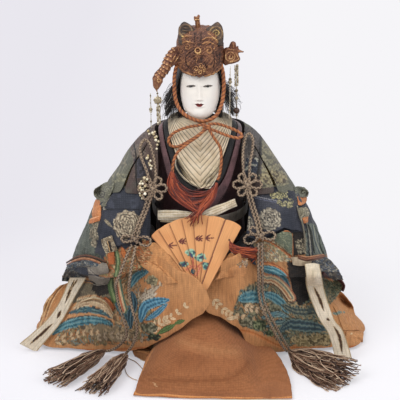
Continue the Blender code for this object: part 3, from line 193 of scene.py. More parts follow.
ahead = Vector((0, math.sin(math.radians(studio["cameraTilt"])), -math.cos(math.radians(studio["cameraTilt"]))))
upright = Vector((0, math.cos(math.radians(studio["cameraTilt"])), math.sin(math.radians(studio["cameraTilt"]))))
pixelLens = studio["lens"] / 36 * 400


def makeCamera():
    lens = bpy.data.cameras.new("portraitLens")
    lens.lens = studio["lens"]
    lens.sensor_width = 36
    lens.clip_start = 0.01
    camera = bpy.data.objects.new("portraitCamera", lens)
    bpy.context.scene.collection.objects.link(camera)
    camera.location = studio["cameraSpot"]
    camera.rotation_euler = (math.radians(studio["cameraTilt"]), 0, 0)
    bpy.context.scene.camera = camera


def onPicture(points):
    # front-view drawing coordinates, 400 units wide, for an array of points
    away = points - np.array(studio["cameraSpot"])
    depth = away @ np.array(ahead)
    return 200 + pixelLens * away[:, 0] / depth, 200 - pixelLens * (away @ np.array(upright)) / depth


# Colours and node helper

def linear(text):
    parts = [int(text[i:i + 2], 16) / 255 for i in (1, 3, 5)]
    return [p / 12.92 if p <= 0.04045 else ((p + 0.055) / 1.055) ** 2.4 for p in parts]


def rgba(text):
    return (*linear(text), 1.0)


def addNode(tree, kind, values=None, links=None, **settings):
    node = tree.nodes.new(kind)
    for key, value in settings.items():
        setattr(node, key, value)
    for key, value in (values or {}).items():
        node.inputs[key].default_value = value
    for key, (source, output) in (links or {}).items():
        tree.links.new(source.outputs[output], node.inputs[key])
    return node


def newMaterial(name):
    material = bpy.data.materials.new(name)
    material.use_nodes = True
    tree = material.node_tree
    tree.nodes.clear()
    shader = addNode(tree, "ShaderNodeBsdfPrincipled")
    addNode(tree, "ShaderNodeOutputMaterial", links={"Surface": (shader, "BSDF")})
    return material, tree, shader


def colourRamp(tree, factor, stops, output="Fac"):
    ramp = addNode(tree, "ShaderNodeValToRGB", links={"Fac": (factor, output)})
    while len(ramp.color_ramp.elements) < len(stops):
        ramp.color_ramp.elements.new(0.5)
    for element, (place, colour) in zip(ramp.color_ramp.elements, stops):
        element.position = place
        element.color = rgba(colour)
    return ramp


def wovenCloth(name, light=None, dark=None, thread=0.9, roughness=0.7, sheen=0.25, dyed=False, slub=0.35, bump=0.35, gilt=0.0):
    # a thread is drawn at about 0.9 mm, coarser than the real 0.2 mm silk, so that it shows in the render
    material, tree, shader = newMaterial(name)
    place = addNode(tree, "ShaderNodeTexCoord")
    threadScale = 1000 / thread
    warp = addNode(tree, "ShaderNodeTexWave", {"Scale": threadScale / 6.283, "Distortion": 1.5, "Detail": 1.0, "Detail Scale": 2.0},
                   {"Vector": (place, "Object")}, wave_type="BANDS", bands_direction="X")
    weft = addNode(tree, "ShaderNodeTexWave", {"Scale": threadScale / 6.283, "Distortion": 1.5, "Detail": 1.0, "Detail Scale": 2.0},
                   {"Vector": (place, "Object")}, wave_type="BANDS", bands_direction="Z")
    weave = addNode(tree, "ShaderNodeMath", links={0: (warp, "Fac"), 1: (weft, "Fac")}, operation="MULTIPLY")
    streaks = addNode(tree, "ShaderNodeMapping", {"Scale": (1.0, 1.0, 0.16)}, {"Vector": (place, "Object")})
    slubs = addNode(tree, "ShaderNodeTexNoise", {"Scale": 420.0, "Detail": 5.0, "Roughness": 0.6}, {"Vector": (streaks, "Vector")})
    clouds = addNode(tree, "ShaderNodeTexNoise", {"Scale": 60.0, "Detail": 6.0, "Roughness": 0.6}, {"Vector": (place, "Object")})
    tone = addNode(tree, "ShaderNodeMath", {1: 0.5}, {0: (clouds, "Fac"), 2: (slubs, "Fac")}, operation="MULTIPLY_ADD")
    shade = addNode(tree, "ShaderNodeMapRange", {"From Min": 0.5, "From Max": 1.0, "To Min": 1 - slub, "To Max": 1 + slub * 0.4}, {"Value": (tone, "Value")})
    shadeWeave = addNode(tree, "ShaderNodeMapRange", {"To Min": 0.90, "To Max": 1.06}, {"Value": (weave, "Value")})
    both = addNode(tree, "ShaderNodeMath", links={0: (shade, "Result"), 1: (shadeWeave, "Result")}, operation="MULTIPLY")
    # with dyed set, the colour comes from the painted colour attribute: the woven pattern, and on some cloths painted
    # shade and painted highlights
    if dyed:
        dye = addNode(tree, "ShaderNodeAttribute", attribute_name="dye")
        ground = (dye, "Color")
    else:
        ramp = colourRamp(tree, clouds, [(0.32, dark), (0.66, light)])
        ground = (ramp, "Color")
    coloured = addNode(tree, "ShaderNodeVectorMath", links={0: ground, 1: (both, "Value")}, operation="MULTIPLY")
    tree.links.new(coloured.outputs["Vector"], shader.inputs["Base Color"])
    rough = addNode(tree, "ShaderNodeMapRange", {"To Min": roughness + 0.12, "To Max": roughness - 0.1}, {"Value": (weave, "Value")})
    tree.links.new(rough.outputs["Result"], shader.inputs["Roughness"])
    if gilt:
        metal = addNode(tree, "ShaderNodeMath", {1: gilt}, {0: (dye, "Alpha")}, operation="MULTIPLY")
        tree.links.new(metal.outputs["Value"], shader.inputs["Metallic"])
    height = addNode(tree, "ShaderNodeMath", {1: 0.7}, {0: (slubs, "Fac"), 2: (weave, "Value")}, operation="MULTIPLY_ADD")
    relief = addNode(tree, "ShaderNodeBump", {"Strength": bump, "Distance": 0.0004}, {"Height": (height, "Value")})
    tree.links.new(relief.outputs["Normal"], shader.inputs["Normal"])
    shader.inputs["Sheen Weight"].default_value = sheen
    shader.inputs["Sheen Roughness"].default_value = 0.45
    shader.inputs["Specular IOR Level"].default_value = 0.35
    return material


# Shapes from the frame

def selectOnly(piece):
    bpy.ops.object.select_all(action="DESELECT")
    piece.select_set(True)
    bpy.context.view_layer.objects.active = piece


def softCopy(node, name, levels, quads=True):
    mesh = nodes[node].data.copy()
    mesh.materials.clear()
    piece = bpy.data.objects.new(name, mesh)
    bpy.context.scene.collection.objects.link(piece)
    selectOnly(piece)
    bpy.ops.mesh.customdata_custom_splitnormals_clear()
    bpy.ops.object.mode_set(mode="EDIT")
    bpy.ops.mesh.select_all(action="SELECT")
    bpy.ops.mesh.remove_doubles(threshold=0.00002)
    bpy.ops.mesh.mark_sharp(clear=True)
    if quads:
        bpy.ops.mesh.tris_convert_to_quads(face_threshold=0.9, shape_threshold=1.2)
    bpy.ops.object.mode_set(mode="OBJECT")
    if levels:
        smooth = piece.modifiers.new("soften", "SUBSURF")
        smooth.levels = levels
        smooth.render_levels = levels
        bpy.ops.object.modifier_apply(modifier="soften")
    mesh.shade_smooth()
    return piece


def getPoints(piece):
    flat = np.empty(len(piece.data.vertices) * 3)
    piece.data.vertices.foreach_get("co", flat)
    return flat.reshape(-1, 3)


def setPoints(piece, points):
    piece.data.vertices.foreach_set("co", points.reshape(-1))
    piece.data.update()


def getNormals(piece):
    flat = np.empty(len(piece.data.vertices) * 3)
    piece.data.vertices.foreach_get("normal", flat)
    return flat.reshape(-1, 3)


def crumple(piece, creases):
    # each crease set is (height, size in metres, stretch along x y z, seed)
    points = getPoints(piece)
    moved = points.copy()
    for height, size, stretch, seed in creases:
        for i, (x, y, z) in enumerate(points):
            spot = Vector((x * stretch[0] / size + seed, y * stretch[1] / size, z * stretch[2] / size))
            moved[i] += height * np.array(noise.turbulence_vector(spot, 2, False, noise_basis="PERLIN_ORIGINAL"))
    moved[:, 2] = np.maximum(moved[:, 2], 0.0009)
    setPoints(piece, moved)


def dress(piece, material, body="doll", instead=(), slotName=None):
    piece.data.materials.append(material)
    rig.ride(piece, body)
    if instead:
        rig.replaces(piece, *instead)
    if slotName:
        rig.slot(piece, slotName)
    return piece


makeCamera()
print("camera ready")

# Dyeing a cloth: brush strokes of pattern, and of painted shade and painted highlights, laid over the ground colour in
# front-view drawing coordinates

def grain(u, v, size, seed=0):
    # smooth random value from 0 to 1 at each place
    gu, gv = u / size, v / size
    iu, iv = np.floor(gu), np.floor(gv)
    fu, fv = gu - iu, gv - iv
    fu, fv = fu * fu * (3 - 2 * fu), fv * fv * (3 - 2 * fv)

    def corner(a, b):
        h = np.sin(a * 127.1 + b * 311.7 + seed * 74.7) * 43758.5453
        return h - np.floor(h)

    top = corner(iu, iv) * (1 - fu) + corner(iu + 1, iv) * fu
    low = corner(iu, iv + 1) * (1 - fu) + corner(iu + 1, iv + 1) * fu
    return top * (1 - fv) + low * fv


def flow(path, steps=6):
    # a smooth line through given points
    fine = []
    for i in range(len(path) - 1):
        p0 = path[max(i - 1, 0)]
        p1, p2 = path[i], path[i + 1]
        p3 = path[min(i + 2, len(path) - 1)]
        for k in range(steps):
            t = k / steps
            fine.append(tuple(
                0.5 * (2 * b + (c - a) * t + (2 * a - 5 * b + 4 * c - d) * t * t + (3 * b - a - 3 * c + d) * t ** 3)
                for a, b, c, d in zip(p0, p1, p2, p3)))
    fine.append(tuple(path[-1]))
    return fine


def brushPlace(u, v, path, half, taper):
    # how far along (0 to 1) and across (-1 to 1) a stroke each place lies
    fine = flow(path) if len(path) > 2 else path
    lengths = [math.dist(a, b) for a, b in zip(fine, fine[1:])]
    total = sum(lengths)
    best = np.full(len(u), 9e9)
    along, across = np.zeros(len(u)), np.zeros(len(u))
    gone = 0.0
    for (ax, ay), (bx, by), length in zip(fine, fine[1:], lengths):
        if length < 1e-6:
            continue
        dx, dy = (bx - ax) / length, (by - ay) / length
        t = np.clip((u - ax) * dx + (v - ay) * dy, 0, length)
        ou, ov = u - ax - t * dx, v - ay - t * dy
        place = (gone + t) / total
        wide = half * (np.sin(np.pi * np.clip(place, 0.02, 0.98)) ** taper if taper else 1.0) + 1e-6
        reach = np.hypot(ou, ov) / wide
        closer = reach < best
        best[closer] = reach[closer]
        along[closer] = place[closer]
        across[closer] = (np.sign(ou * dy - ov * dx) * reach)[closer]
        gone += length
    return along, across


def mixIn(dye, mask, colour, gilt=None):
    mask = np.clip(mask, 0, 1)[:, None]
    dye[:, :3] = dye[:, :3] * (1 - mask) + np.array(linear(colour)) * mask
    if gilt is not None:
        dye[:, 3:] = dye[:, 3:] * (1 - mask) + gilt * mask


def insideOutline(u, v, corners):
    inside = np.zeros(len(u), bool)
    for (ax, ay), (bx, by) in zip(corners, corners[1:] + corners[:1]):
        crosses = (ay > v) != (by > v)
        inside ^= crosses & (u < (bx - ax) * (v - ay) / (by - ay + 1e-9) + ax)
    return inside


def layStroke(dye, u, v, kind, *facts):
    if kind == "wave":
        path, half, colours = facts
        along, across = brushPlace(u, v, path, half, 0.45)
        inside = np.abs(across) < 1
        lines = np.sin(across * 7.5 + grain(along * 60, across * 2, 5.0) * 3.0)
        mixIn(dye, inside, colours[1])
        mixIn(dye, inside & (np.abs(across) < 0.84), colours[0])
        mixIn(dye, (inside & (lines > 0.72)) * 0.85, colours[2])
        mixIn(dye, (inside & (lines < -0.8)) * 0.8, colours[1])
    elif kind == "leaf":
        path, half, colours = facts
        along, across = brushPlace(u, v, path, half, 0.7)
        inside = np.abs(across) < 1
        mixIn(dye, inside, colours[1])
        mixIn(dye, inside & (np.abs(across) < 0.74), colours[0])
        mixIn(dye, (inside & (np.abs(across) < 0.12)) * 0.7, colours[1])
    elif kind == "spray":
        path, count, reach, half, colours = facts
        fine = flow(path, 8)
        along, across = brushPlace(u, v, path, 0.45, 0)
        mixIn(dye, np.abs(across) < 1, colours[1])
        for i in range(count):
            at = (i + 0.5) / count * (len(fine) - 2)
            (ax, ay), (bx, by) = fine[int(at)], fine[int(at) + 1]
            heading = math.atan2(by - ay, bx - ax)
            for side in (-1, 1):
                turn = heading + side * 0.75
                size = reach * (1.1 - 0.5 * i / count)
                tip = (ax + math.cos(turn) * size, ay + math.sin(turn) * size)
                layStroke(dye, u, v, "leaf", [(ax, ay), tip], half, colours)
    elif kind == "clump":
        (cx, cy), (rx, ry), colours = facts
        reach = np.hypot((u - cx) / rx, (v - cy) / ry) + (grain(u, v, 2.4, 3) - 0.5) * 0.5
        speck = grain(u, v, 1.6, 1)
        inside = reach < 1
        mixIn(dye, inside, colours[1])
        mixIn(dye, inside & (speck > 0.42), colours[0])
        mixIn(dye, inside & (speck > 0.70), colours[2])
    elif kind == "stripes":
        path, half, colours = facts
        along, across = brushPlace(u, v, path, half, 0)
        for i, colour in enumerate(colours):
            low, high = -1 + 2 * i / len(colours), -1 + 2 * (i + 1) / len(colours)
            mixIn(dye, (across >= low) & (across < high), colour)
    elif kind == "patch":
        corners, colours, size = facts
        inside = insideOutline(u + (grain(u, v, 2.0, 21) - 0.5) * 1.6, v + (grain(u, v, 2.0, 22) - 0.5) * 1.6, corners)
        speck = grain(u, v, size, 5)
        mixIn(dye, inside, colours[0])
        for i, colour in enumerate(colours[1:]):
            mixIn(dye, inside & (speck > 0.5 + 0.2 * i) & (speck < 0.7 + 0.2 * i), colour)
    elif kind == "tangle":
        # stems and curls woven close together: a ground, a dark line and the motif colours
        corners, colours, size = facts
        inside = insideOutline(u + (grain(u, v, 3.0, 21) - 0.5) * 4, v + (grain(u, v, 3.0, 22) - 0.5) * 4, corners)
        warpU = u + (grain(u, v, size * 1.6, 11) - 0.5) * size * 3.2
        warpV = v + (grain(u, v, size * 1.6, 12) - 0.5) * size * 3.2
        lines = np.sin(warpV * 5.2 / size + 1.8 * np.sin(warpU * 2.6 / size))
        pick = grain(warpU, warpV, size * 1.1, 13)
        mixIn(dye, inside, colours[0])
        count = len(colours) - 2
        for i, colour in enumerate(colours[2:]):
            mixIn(dye, (inside & (pick >= 0.16 + 0.68 * i / count) & (pick < 0.16 + 0.68 * (i + 1) / count) & (lines > -0.2)) * 0.9, colour, 0.3)
        mixIn(dye, (inside & (lines < -0.62)) * 0.75, colours[1])
    elif kind == "spiral":
        (cx, cy), radius, colour = facts
        angle, away = np.arctan2(v - cy, u - cx), np.hypot(u - cx, v - cy)
        mixIn(dye, ((away < radius) & (np.sin(away * 2.4 - angle) > 0.35)) * 0.85, colour)
    elif kind == "medallion":
        (cx, cy), radius, colours = facts
        angle, away = np.arctan2(v - cy, u - cx), np.hypot(u - cx, v - cy)
        edge = radius * (1 + 0.05 * np.cos(angle * 11))
        curl = np.sin(away * 2.2 + 2.0 * np.sin(angle * 6 + away * 0.4)) + (grain(u, v, 1.6, 2) - 0.5) * 2.2
        inside = away < edge
        mixIn(dye, inside, colours[1], 0.35)
        mixIn(dye, inside & (curl > -0.65), colours[0], 0.7)
        mixIn(dye, inside & (curl > 0.7), colours[2], 0.8)
        mixIn(dye, (inside & (curl < -1.0)) * 0.8, colours[3], 0.0)


def dyeAndShadePiece(piece, ground, strokes, mottle=None):
    points = getPoints(piece)
    u, v = onPicture(points)
    dye = np.zeros((len(u), 4))
    mixIn(dye, np.ones(len(u)), ground)
    if mottle:
        mixIn(dye, (grain(u, v, mottle[1], 7) - 0.35) * 1.2, mottle[0])
    for stroke in strokes:
        layStroke(dye, u, v, *stroke)
    # this colour attribute holds the woven pattern together with the painted shade and painted highlights laid by some
    # strokes
    layer = piece.data.attributes.new("dye", "FLOAT_COLOR", "POINT")
    layer.data.foreach_set("color", dye.reshape(-1))


# The robes: orange brocade with waves, sprays and pine woven in, and a few near-black patches of painted shade

teal = ("#4C7F8C", "#24383F", "#84A3A0")
deepTeal = ("#3A5A64", "#1E2A30", "#6E8A86")
blue = ("#47809C", "#22333F", "#7FA9B4")
cream = ("#CDB08A", "#8A6546")
pale = ("#BBA78B", "#6E5A46")
pine = ("#66704F", "#34402E", "#929A74")
greyGreen = ("#76745C", "#474636", "#9A957A")
leafGreen = ("#5F7A45", "#2C3A22")

robeStrokes = {
    "left": [
        ("tangle", [(100, 250), (150, 246), (150, 262), (137, 276), (146, 300), (158, 322), (150, 342), (110, 345), (56, 345), (62, 326), (96, 316), (112, 300)],
         ("#A07A52", "#4B3B2C", "#C4A780", "#7E7A5C", "#B27547", "#6C7F78"), 3.4),
        ("patch", [(66, 283), (113, 283), (116, 299), (96, 303), (70, 303)], ("#6B5F4C", "#7C7059", "#5A4E3E"), 5.0),
        # a near-black patch: painted shade in the hollow between the folds
        ("patch", [(95, 277), (112, 277), (112, 292), (100, 297), (92, 290)], ("#1D1713", "#2E261F"), 4.0),
        ("stripes", [(78, 299), (92, 296), (104, 299), (112, 307)], 1.2, ("#D8C3A0", "#A86E44", "#C9A47A")),
        ("wave", [(74, 308), (86, 302), (97, 303), (106, 309), (111, 317)], 4.2, ("#C2A684", "#8A5F40", "#DCC7A3")),
        ("wave", [(69, 313), (86, 309.5), (97, 311), (104, 314.5), (111, 319)], 3.4, deepTeal),
        ("stripes", [(68, 319), (86, 316), (101, 317.5), (112, 322)], 2.6, ("#C38A5B", "#5B4330", "#C79163")),
        ("wave", [(53, 334), (62, 327), (73, 323), (88, 321), (104, 322.5), (115, 328)], 5.2, teal),
        ("patch", [(78, 326), (96, 324), (118, 326), (140, 334), (120, 342), (96, 340)], ("#84735A", "#A8916F", "#5D5140"), 3.0),
        ("spray", [(54, 342), (70, 337), (86, 333), (100, 333)], 7, 6.0, 1.7, cream),
        ("spray", [(96, 339), (112, 335), (128, 338), (146, 340)], 8, 5.5, 1.7, pale),
        ("wave", [(120, 282), (117, 297), (121, 310), (127, 320)], 4.0, deepTeal),
        ("wave", [(131, 328), (130, 316), (134, 304), (132, 292)], 4.2, ("#2F4650", "#1B262C", "#5D7C84")),
        ("stripes", [(110, 256), (112, 270), (111, 286), (115, 300)], 3.2, ("#4B6338", "#7C8A5C", "#33452B")),
        ("stripes", [(117, 250), (116.5, 270), (119, 290), (124, 310)], 3.6, ("#C8A77F", "#B5674A", "#D9BE95", "#5C7560")),
        ("wave", [(130, 287), (136, 277), (148, 271)], 4.2, teal),
        ("clump", (152, 280), (7, 5), ("#8C8263", "#5A5440", "#B9A981")),
        ("leaf", [(138, 300), (160, 285)], 3.4, ("#B9AB96", "#7D6B58")),
        ("leaf", [(141, 303), (157, 293)], 2.6, ("#C8BBA6", "#7D6B58")),
        ("spray", [(137, 296), (150, 289), (163, 283)], 4, 4.5, 1.3, pale),
        ("wave", [(141, 321), (144, 308), (153, 303), (168, 300)], 5.4, blue),
        ("wave", [(146, 320), (157, 313), (167, 304)], 3.0, blue),
        ("spray", [(149, 332), (160, 323), (172, 317), (190, 302)], 8, 7.0, 1.9, ("#E0C7A0", "#B07A4C")),
        ("clump", (149, 328), (8, 5.2), greyGreen),
        ("clump", (154, 337), (6, 3.5), ("#3E4A33", "#232A1E", "#6E7352")),
        ("leaf", [(157, 334), (176, 324)], 3.0, leafGreen),
        ("leaf", [(174, 324), (185, 320)], 2.2, leafGreen),
        ("stripes", [(40, 351.5), (60, 350), (100, 350.4), (140, 348.6), (160, 345), (204, 315)], 1.6, ("#CF8A55", "#B9713F")),
    ],
    "right": [
        ("tangle", [(240, 292), (262, 276), (292, 290), (330, 296), (330, 346), (290, 346), (262, 332), (240, 326), (232, 312)],
         ("#6F6B54", "#2B302B", "#8F8B6D", "#55706E", "#B09871", "#A8774B"), 3.2),
        # a near-black patch: painted shade in a hollow of the folds
        ("patch", [(286, 258), (307, 258), (309, 300), (300, 306), (290, 296)], ("#17110D", "#29211B"), 4.0),
        ("tangle", [(318, 274), (345, 274), (344, 290), (328, 303), (320, 298)], ("#666752", "#2E2A24", "#8A8A6C", "#4A5A4C", "#8F7B5A"), 2.4),
        ("patch", [(263, 238), (292, 240), (292, 266), (268, 262)], ("#B39A78", "#7E8768", "#D8C49C"), 2.2),
        ("clump", (272, 248), (4, 3.6), ("#C8B38E", "#4D6A66", "#E0D0A8")),
        ("clump", (283, 256), (5, 4.0), ("#A9A17C", "#39535A", "#E0D0A8")),
        ("wave", [(262, 265), (276, 267), (286, 277), (291, 289)], 3.0, ("#C4855B", "#8A5334", "#D9A679")),
        ("wave", [(262, 270), (274, 272), (284, 281), (290, 293)], 4.4, teal),
        ("stripes", [(262, 279), (274, 280), (284, 288), (291, 298)], 5.0,
         ("#5A4336", "#CFB48E", "#A9714C", "#C9B18A", "#6F7E73", "#D7BD94", "#B9785A")),
        ("wave", [(262, 294), (272, 296), (281, 303), (288, 312)], 4.8, teal),
        ("clump", (275, 309), (7, 4), greyGreen),
        ("wave", [(240, 300), (248, 296.5), (259, 298), (264, 303)], 6.5, teal),
        ("spray", [(213, 299), (222, 309), (232, 315), (246, 318)], 7, 6.0, 1.8, ("#DDC49C", "#A9794F")),
        ("spray", [(244, 307), (254, 309), (266, 312)], 4, 5.5, 1.9, ("#D9BE9A", "#8A6A4A")),
        ("leaf", [(226, 319), (238, 317)], 2.6, ("#DDC7A2", "#A9794F")),
        ("clump", (247, 322), (8, 4.6), greyGreen),
        ("clump", (260, 325), (8, 5.0), pine),
        ("wave", [(262, 318), (276, 314), (288, 317)], 3.0, ("#5B7F86", "#2B3B40", "#8FA7A2")),
        ("wave", [(266, 327), (280, 322), (292, 325)], 2.6, ("#4B6A70", "#25323A", "#7E9791")),
        ("clump", (271, 333), (5, 3.4), pine),
        ("wave", [(282, 305), (296, 311), (310, 312), (326, 309)], 4.6, ("#4B5754", "#262825", "#8A8970")),
        ("wave", [(281, 331), (290, 324), (305, 326), (326, 329)], 6.4, ("#3C525A", "#23292B", "#75877C")),
        ("patch", [(292, 341), (306, 336), (329, 334), (330, 345), (298, 347)], ("#8A7A55", "#B5A278", "#5D5138"), 2.2),
        ("spray", [(290, 341), (304, 337), (322, 334)], 6, 4.0, 1.4, ("#BBA67C", "#5D5138")),
        ("wave", [(333, 314), (342, 312)], 1.8, ("#6F857A", "#55655E", "#93A091")),
        ("wave", [(338, 296), (352, 300)], 1.6, ("#C9A27A", "#B9714A", "#D9BE95")),
        ("leaf", [(347, 337), (353, 333)], 1.2, ("#E2CFA8", "#B08A5E")),
        ("stripes", [(206, 315), (232, 329), (252, 333), (276, 345), (290, 348), (330, 349), (364, 346)], 1.6, ("#D08D58", "#B9713F")),
    ],
}


def reachIn(robe, other):
    # the front edges come in to the fan; the right one slides behind its guard
    points = getPoints(robe)
    front = np.clip((-0.070 - points[:, 1]) / 0.012, 0, 1)
    if other > 0:
        share = np.clip((0.036 - points[:, 0]) / 0.024, 0, 1) * front
        points[:, 0] -= share * (0.0035 + 0.0085 * np.clip((points[:, 2] - 0.062) / 0.03, 0, 1))
        points[:, 1] += share * 0.0075 * np.clip((points[:, 2] - 0.074) / 0.02, 0, 1)
        rise = front * np.clip((points[:, 0] - 0.010) / 0.012, 0, 1) * np.clip((0.066 - points[:, 0]) / 0.018, 0, 1) * np.clip((points[:, 2] - 0.080) / 0.024, 0, 1)
        points[:, 2] += rise * 0.0085
    else:
        share = np.clip((points[:, 0] + 0.040) / 0.030, 0, 1) * front * np.clip((points[:, 2] - 0.070) / 0.022, 0, 1)
        points[:, 0] += share * 0.0075
        points[:, 2] += share * 0.0060
    setPoints(robe, points)


robeCloth = wovenCloth("orange silk brocade, woven", dyed=True, roughness=0.72, sheen=0.04, gilt=0.6, bump=0.4)
for side, other in (("left", -1), ("right", 1)):
    robe = softCopy("robe_" + side, side + "Robe", 4)
    crumple(robe, [(0.0022, 0.034, (1, 1, 0.55), other * 3.1), (0.0007, 0.011, (1, 1, 0.6), other * 5.7)])
    reachIn(robe, other)
    dyeAndShadePiece(robe, "#C48C5B", robeStrokes[side], ("#B4794A", 22))
    dress(robe, robeCloth, instead=["robe_" + side], slotName="orange_brocade")
print("robes dyed")

# A second layer of cloth over part of a garment, kept inside an outline given in front-view drawing coordinates

def overLayer(node, name, outline, lift, thickness, levels=4, flare=0.0):
    piece = softCopy(node, name, levels)
    mesh = piece.data
    u, v = onPicture(getPoints(piece))
    keep = insideOutline(u, v, outline)
    facing = getNormals(piece) @ np.array(ahead) < -0.05
    drop = ~(keep & facing)
    selectOnly(piece)
    bpy.ops.object.mode_set(mode="EDIT")
    bpy.ops.mesh.select_all(action="DESELECT")
    bpy.ops.object.mode_set(mode="OBJECT")
    mesh.vertices.foreach_set("select", drop)
    bpy.ops.object.mode_set(mode="EDIT")
    bpy.ops.mesh.select_mode(type="VERT")
    bpy.ops.mesh.delete(type="VERT")
    bpy.ops.mesh.select_all(action="SELECT")
    bpy.ops.mesh.select_non_manifold()
    bpy.ops.mesh.vertices_smooth(factor=0.6, repeat=6)
    bpy.ops.object.mode_set(mode="OBJECT")
    points, normals = getPoints(piece), getNormals(piece)
    u, v = onPicture(points)
    low = np.clip((v - v.min()) / (v.max() - v.min() + 1e-6), 0, 1)
    setPoints(piece, points + normals * (lift + flare * low ** 3)[:, None])
    wall = piece.modifiers.new("thickness", "SOLIDIFY")
    wall.thickness = thickness
    wall.offset = 1
    bpy.ops.object.modifier_apply(modifier="thickness")
    mesh.shade_smooth()
    return piece


# Jacket, sleeves and their layers

gold = ("#8D8169", "#574C3F", "#AFA387", "#2C2D33")
greyBrocade = ("#6D7064", "#838170", "#565A51")

sleeveStrokes = {
    "left": [
        ("patch", [(100, 165), (150, 165), (141, 188), (104, 190)], ("#5E5F55", "#74715F", "#4C4D46"), 3.0),
        ("patch", [(112, 188.5), (138, 188), (141, 210), (107, 208)], ("#2F323B", "#3D404B"), 7.0),
        # a pale stripe along the edge of the fold: painted highlight
        ("stripes", [(114.6, 188.5), (104.0, 206.6), (106.2, 209.6)], 0.6, ("#C4BBA9", "#8C8576")),
        ("stripes", [(106.2, 209.6), (122, 209), (139, 209.6)], 0.5, ("#15161B", "#15161B")),
        ("medallion", (127.5, 225), 14.4, ("#9B8C77", "#4B4036", "#CDBFA4", "#26272B")),
        ("leaf", [(104, 219), (112, 227)], 1.8, ("#9C8F77", "#4F473C")),
        ("patch", [(82, 212), (100.6, 214), (95.6, 236), (95, 253), (104, 259), (104, 266), (60, 268)], ("#565B52", "#666A5F", "#444840"), 3.0),
        ("tangle", [(91.5, 219), (101, 218), (98, 232), (95.6, 247), (91, 244)], ("#6A6252", "#3A362F", "#B3A78F", "#8F8470"), 1.8),
        ("stripes", [(66, 262.5), (80, 256.4), (92, 256.6), (105, 262)], 1.0, ("#2C2B28", "#6A4834")),
        ("tangle", [(104, 262), (106, 253), (118, 250), (132, 247), (141, 240), (152, 240), (152, 290), (96, 290)], ("#A5764C", "#4E3A2A", "#C6A77F", "#7F8660", "#B5683F", "#8E7B5F"), 3.0),
        ("stripes", [(115.6, 250), (118, 262), (114.6, 282)], 2.3, ("#4A5638", "#8A976C", "#5B6B45")),
        ("leaf", [(121.6, 247), (126, 260)], 2.8, ("#C4743F", "#8A4B2A")),
        # a near-black patch: painted shadow in the gap beside the fan
        ("patch", [(133.6, 240), (142, 238), (142, 249), (134, 249)], ("#120F0D", "#1D1815"), 2.0),
    ],
    "right": [
        ("patch", [(252, 150), (300, 165), (292, 184), (262, 188)], ("#6C6654", "#8D8468", "#4F4B40"), 2.2),
        ("tangle", [(270.5, 192.4), (288, 191.5), (289, 199), (271, 199.4)], ("#5C5A4C", "#34363F", "#A39B6E", "#C2B887"), 1.7),
        ("tangle", [(276, 200.6), (292, 199.8), (292.6, 206.6), (281, 207.8)], ("#5C5A4C", "#34363F", "#A39B6E", "#B8AE88"), 1.7),
        ("stripes", [(255, 197), (266, 199.5), (276, 201.5)], 1.3, ("#5E6070", "#34363F", "#8B8A90")),
        ("medallion", (269.8, 219.4), 11.6, ("#8F8677", "#4A4540", "#BFB6A2", "#25272D")),
        ("medallion", (246, 223), 7.5, ("#8F8677", "#4A4540", "#BFB6A2", "#25272D")),
        ("patch", [(256, 240), (272, 238), (288, 233), (308, 232), (330, 258), (330, 282), (256, 282)], ("#A5764C", "#8E6340"), 5.0),
        ("tangle", [(254, 244), (266, 240), (292, 240), (292, 262), (258, 262)], ("#AD9774", "#5E5040", "#D9CAA6", "#6F8280", "#A8704A", "#8A8F6C"), 2.4),
        ("stripes", [(256, 237), (272, 243), (291, 257)], 1.0, ("#C98556", "#8A4B2A")),
        # a near-black patch: painted shade in a hollow of the sleeve
        ("patch", [(292, 232), (309, 231), (311, 254), (293, 256)], ("#17120F", "#241C17"), 4.0),
        ("tangle", [(295, 240), (307, 237), (308, 253), (297, 254)], ("#4A453B", "#17140F", "#B5A88C", "#8B816C"), 1.7),
        ("patch", [(306, 222), (318, 226), (327, 258), (306, 258)], ("#565F58", "#6C746C", "#3E4540"), 4.0),
        ("stripes", [(305, 214), (309, 232), (311, 256)], 2.2, ("#1D1F25", "#8F8C7E", "#23262D")),
        ("stripes", [(313, 226), (316, 242), (322, 256)], 2.6, ("#6E756A", "#3F4A4E", "#878A78", "#4A524C")),
        ("stripes", [(258, 262.5), (272, 264), (284, 271), (290, 280)], 1.1, ("#C07A4C", "#8A4B2A")),
        ("wave", [(256, 268), (272, 270), (284, 278), (289, 290)], 4.2, teal),
        # a near-black patch: painted shade in the hollow below the sleeve's layers
        ("patch", [(287, 262), (324, 262), (324, 290), (289, 290)], ("#17110D", "#261D17"), 4.0),
    ],
}

navyCloth = wovenCloth("navy silk brocade, woven", dyed=True, roughness=0.72, sheen=0.05, gilt=0.55, bump=0.4)
for side, other in (("left", -1), ("right", 1)):
    sleeve = softCopy("sleeve_" + side, side + "Sleeve", 4)
    crumple(sleeve, [(0.0024, 0.030, (1, 1, 0.5), other * 9.1), (0.0008, 0.010, (1, 1, 0.7), other * 2.2)])
    dyeAndShadePiece(sleeve, "#292C35", sleeveStrokes[side], ("#4A4A50", 12))
    dress(sleeve, navyCloth, instead=["sleeve_" + side], slotName="navy_brocade")

frontPanels = {
    "left": ("leftFrontSleeve", [(106, 207), (117, 188), (141, 187), (148, 215), (146, 246), (128, 244), (108, 252), (100, 240)]),
    "right": ("rightFrontSleeve", [(236, 196), (262, 188), (298, 184), (304, 232), (284, 230), (262, 240), (240, 236)]),
}
for side, (name, outline) in frontPanels.items():
    panel = overLayer("sleeve_" + side, name, outline, 0.0012, 0.0007, flare=0.0022)
    crumple(panel, [(0.0018, 0.026, (1, 1, 0.5), 4.4), (0.0006, 0.009, (1, 1, 1), 1.2)])
    dyeAndShadePiece(panel, "#2B2E38", sleeveStrokes[side], ("#4A4A52", 12))
    dress(panel, navyCloth, slotName="navy_brocade")

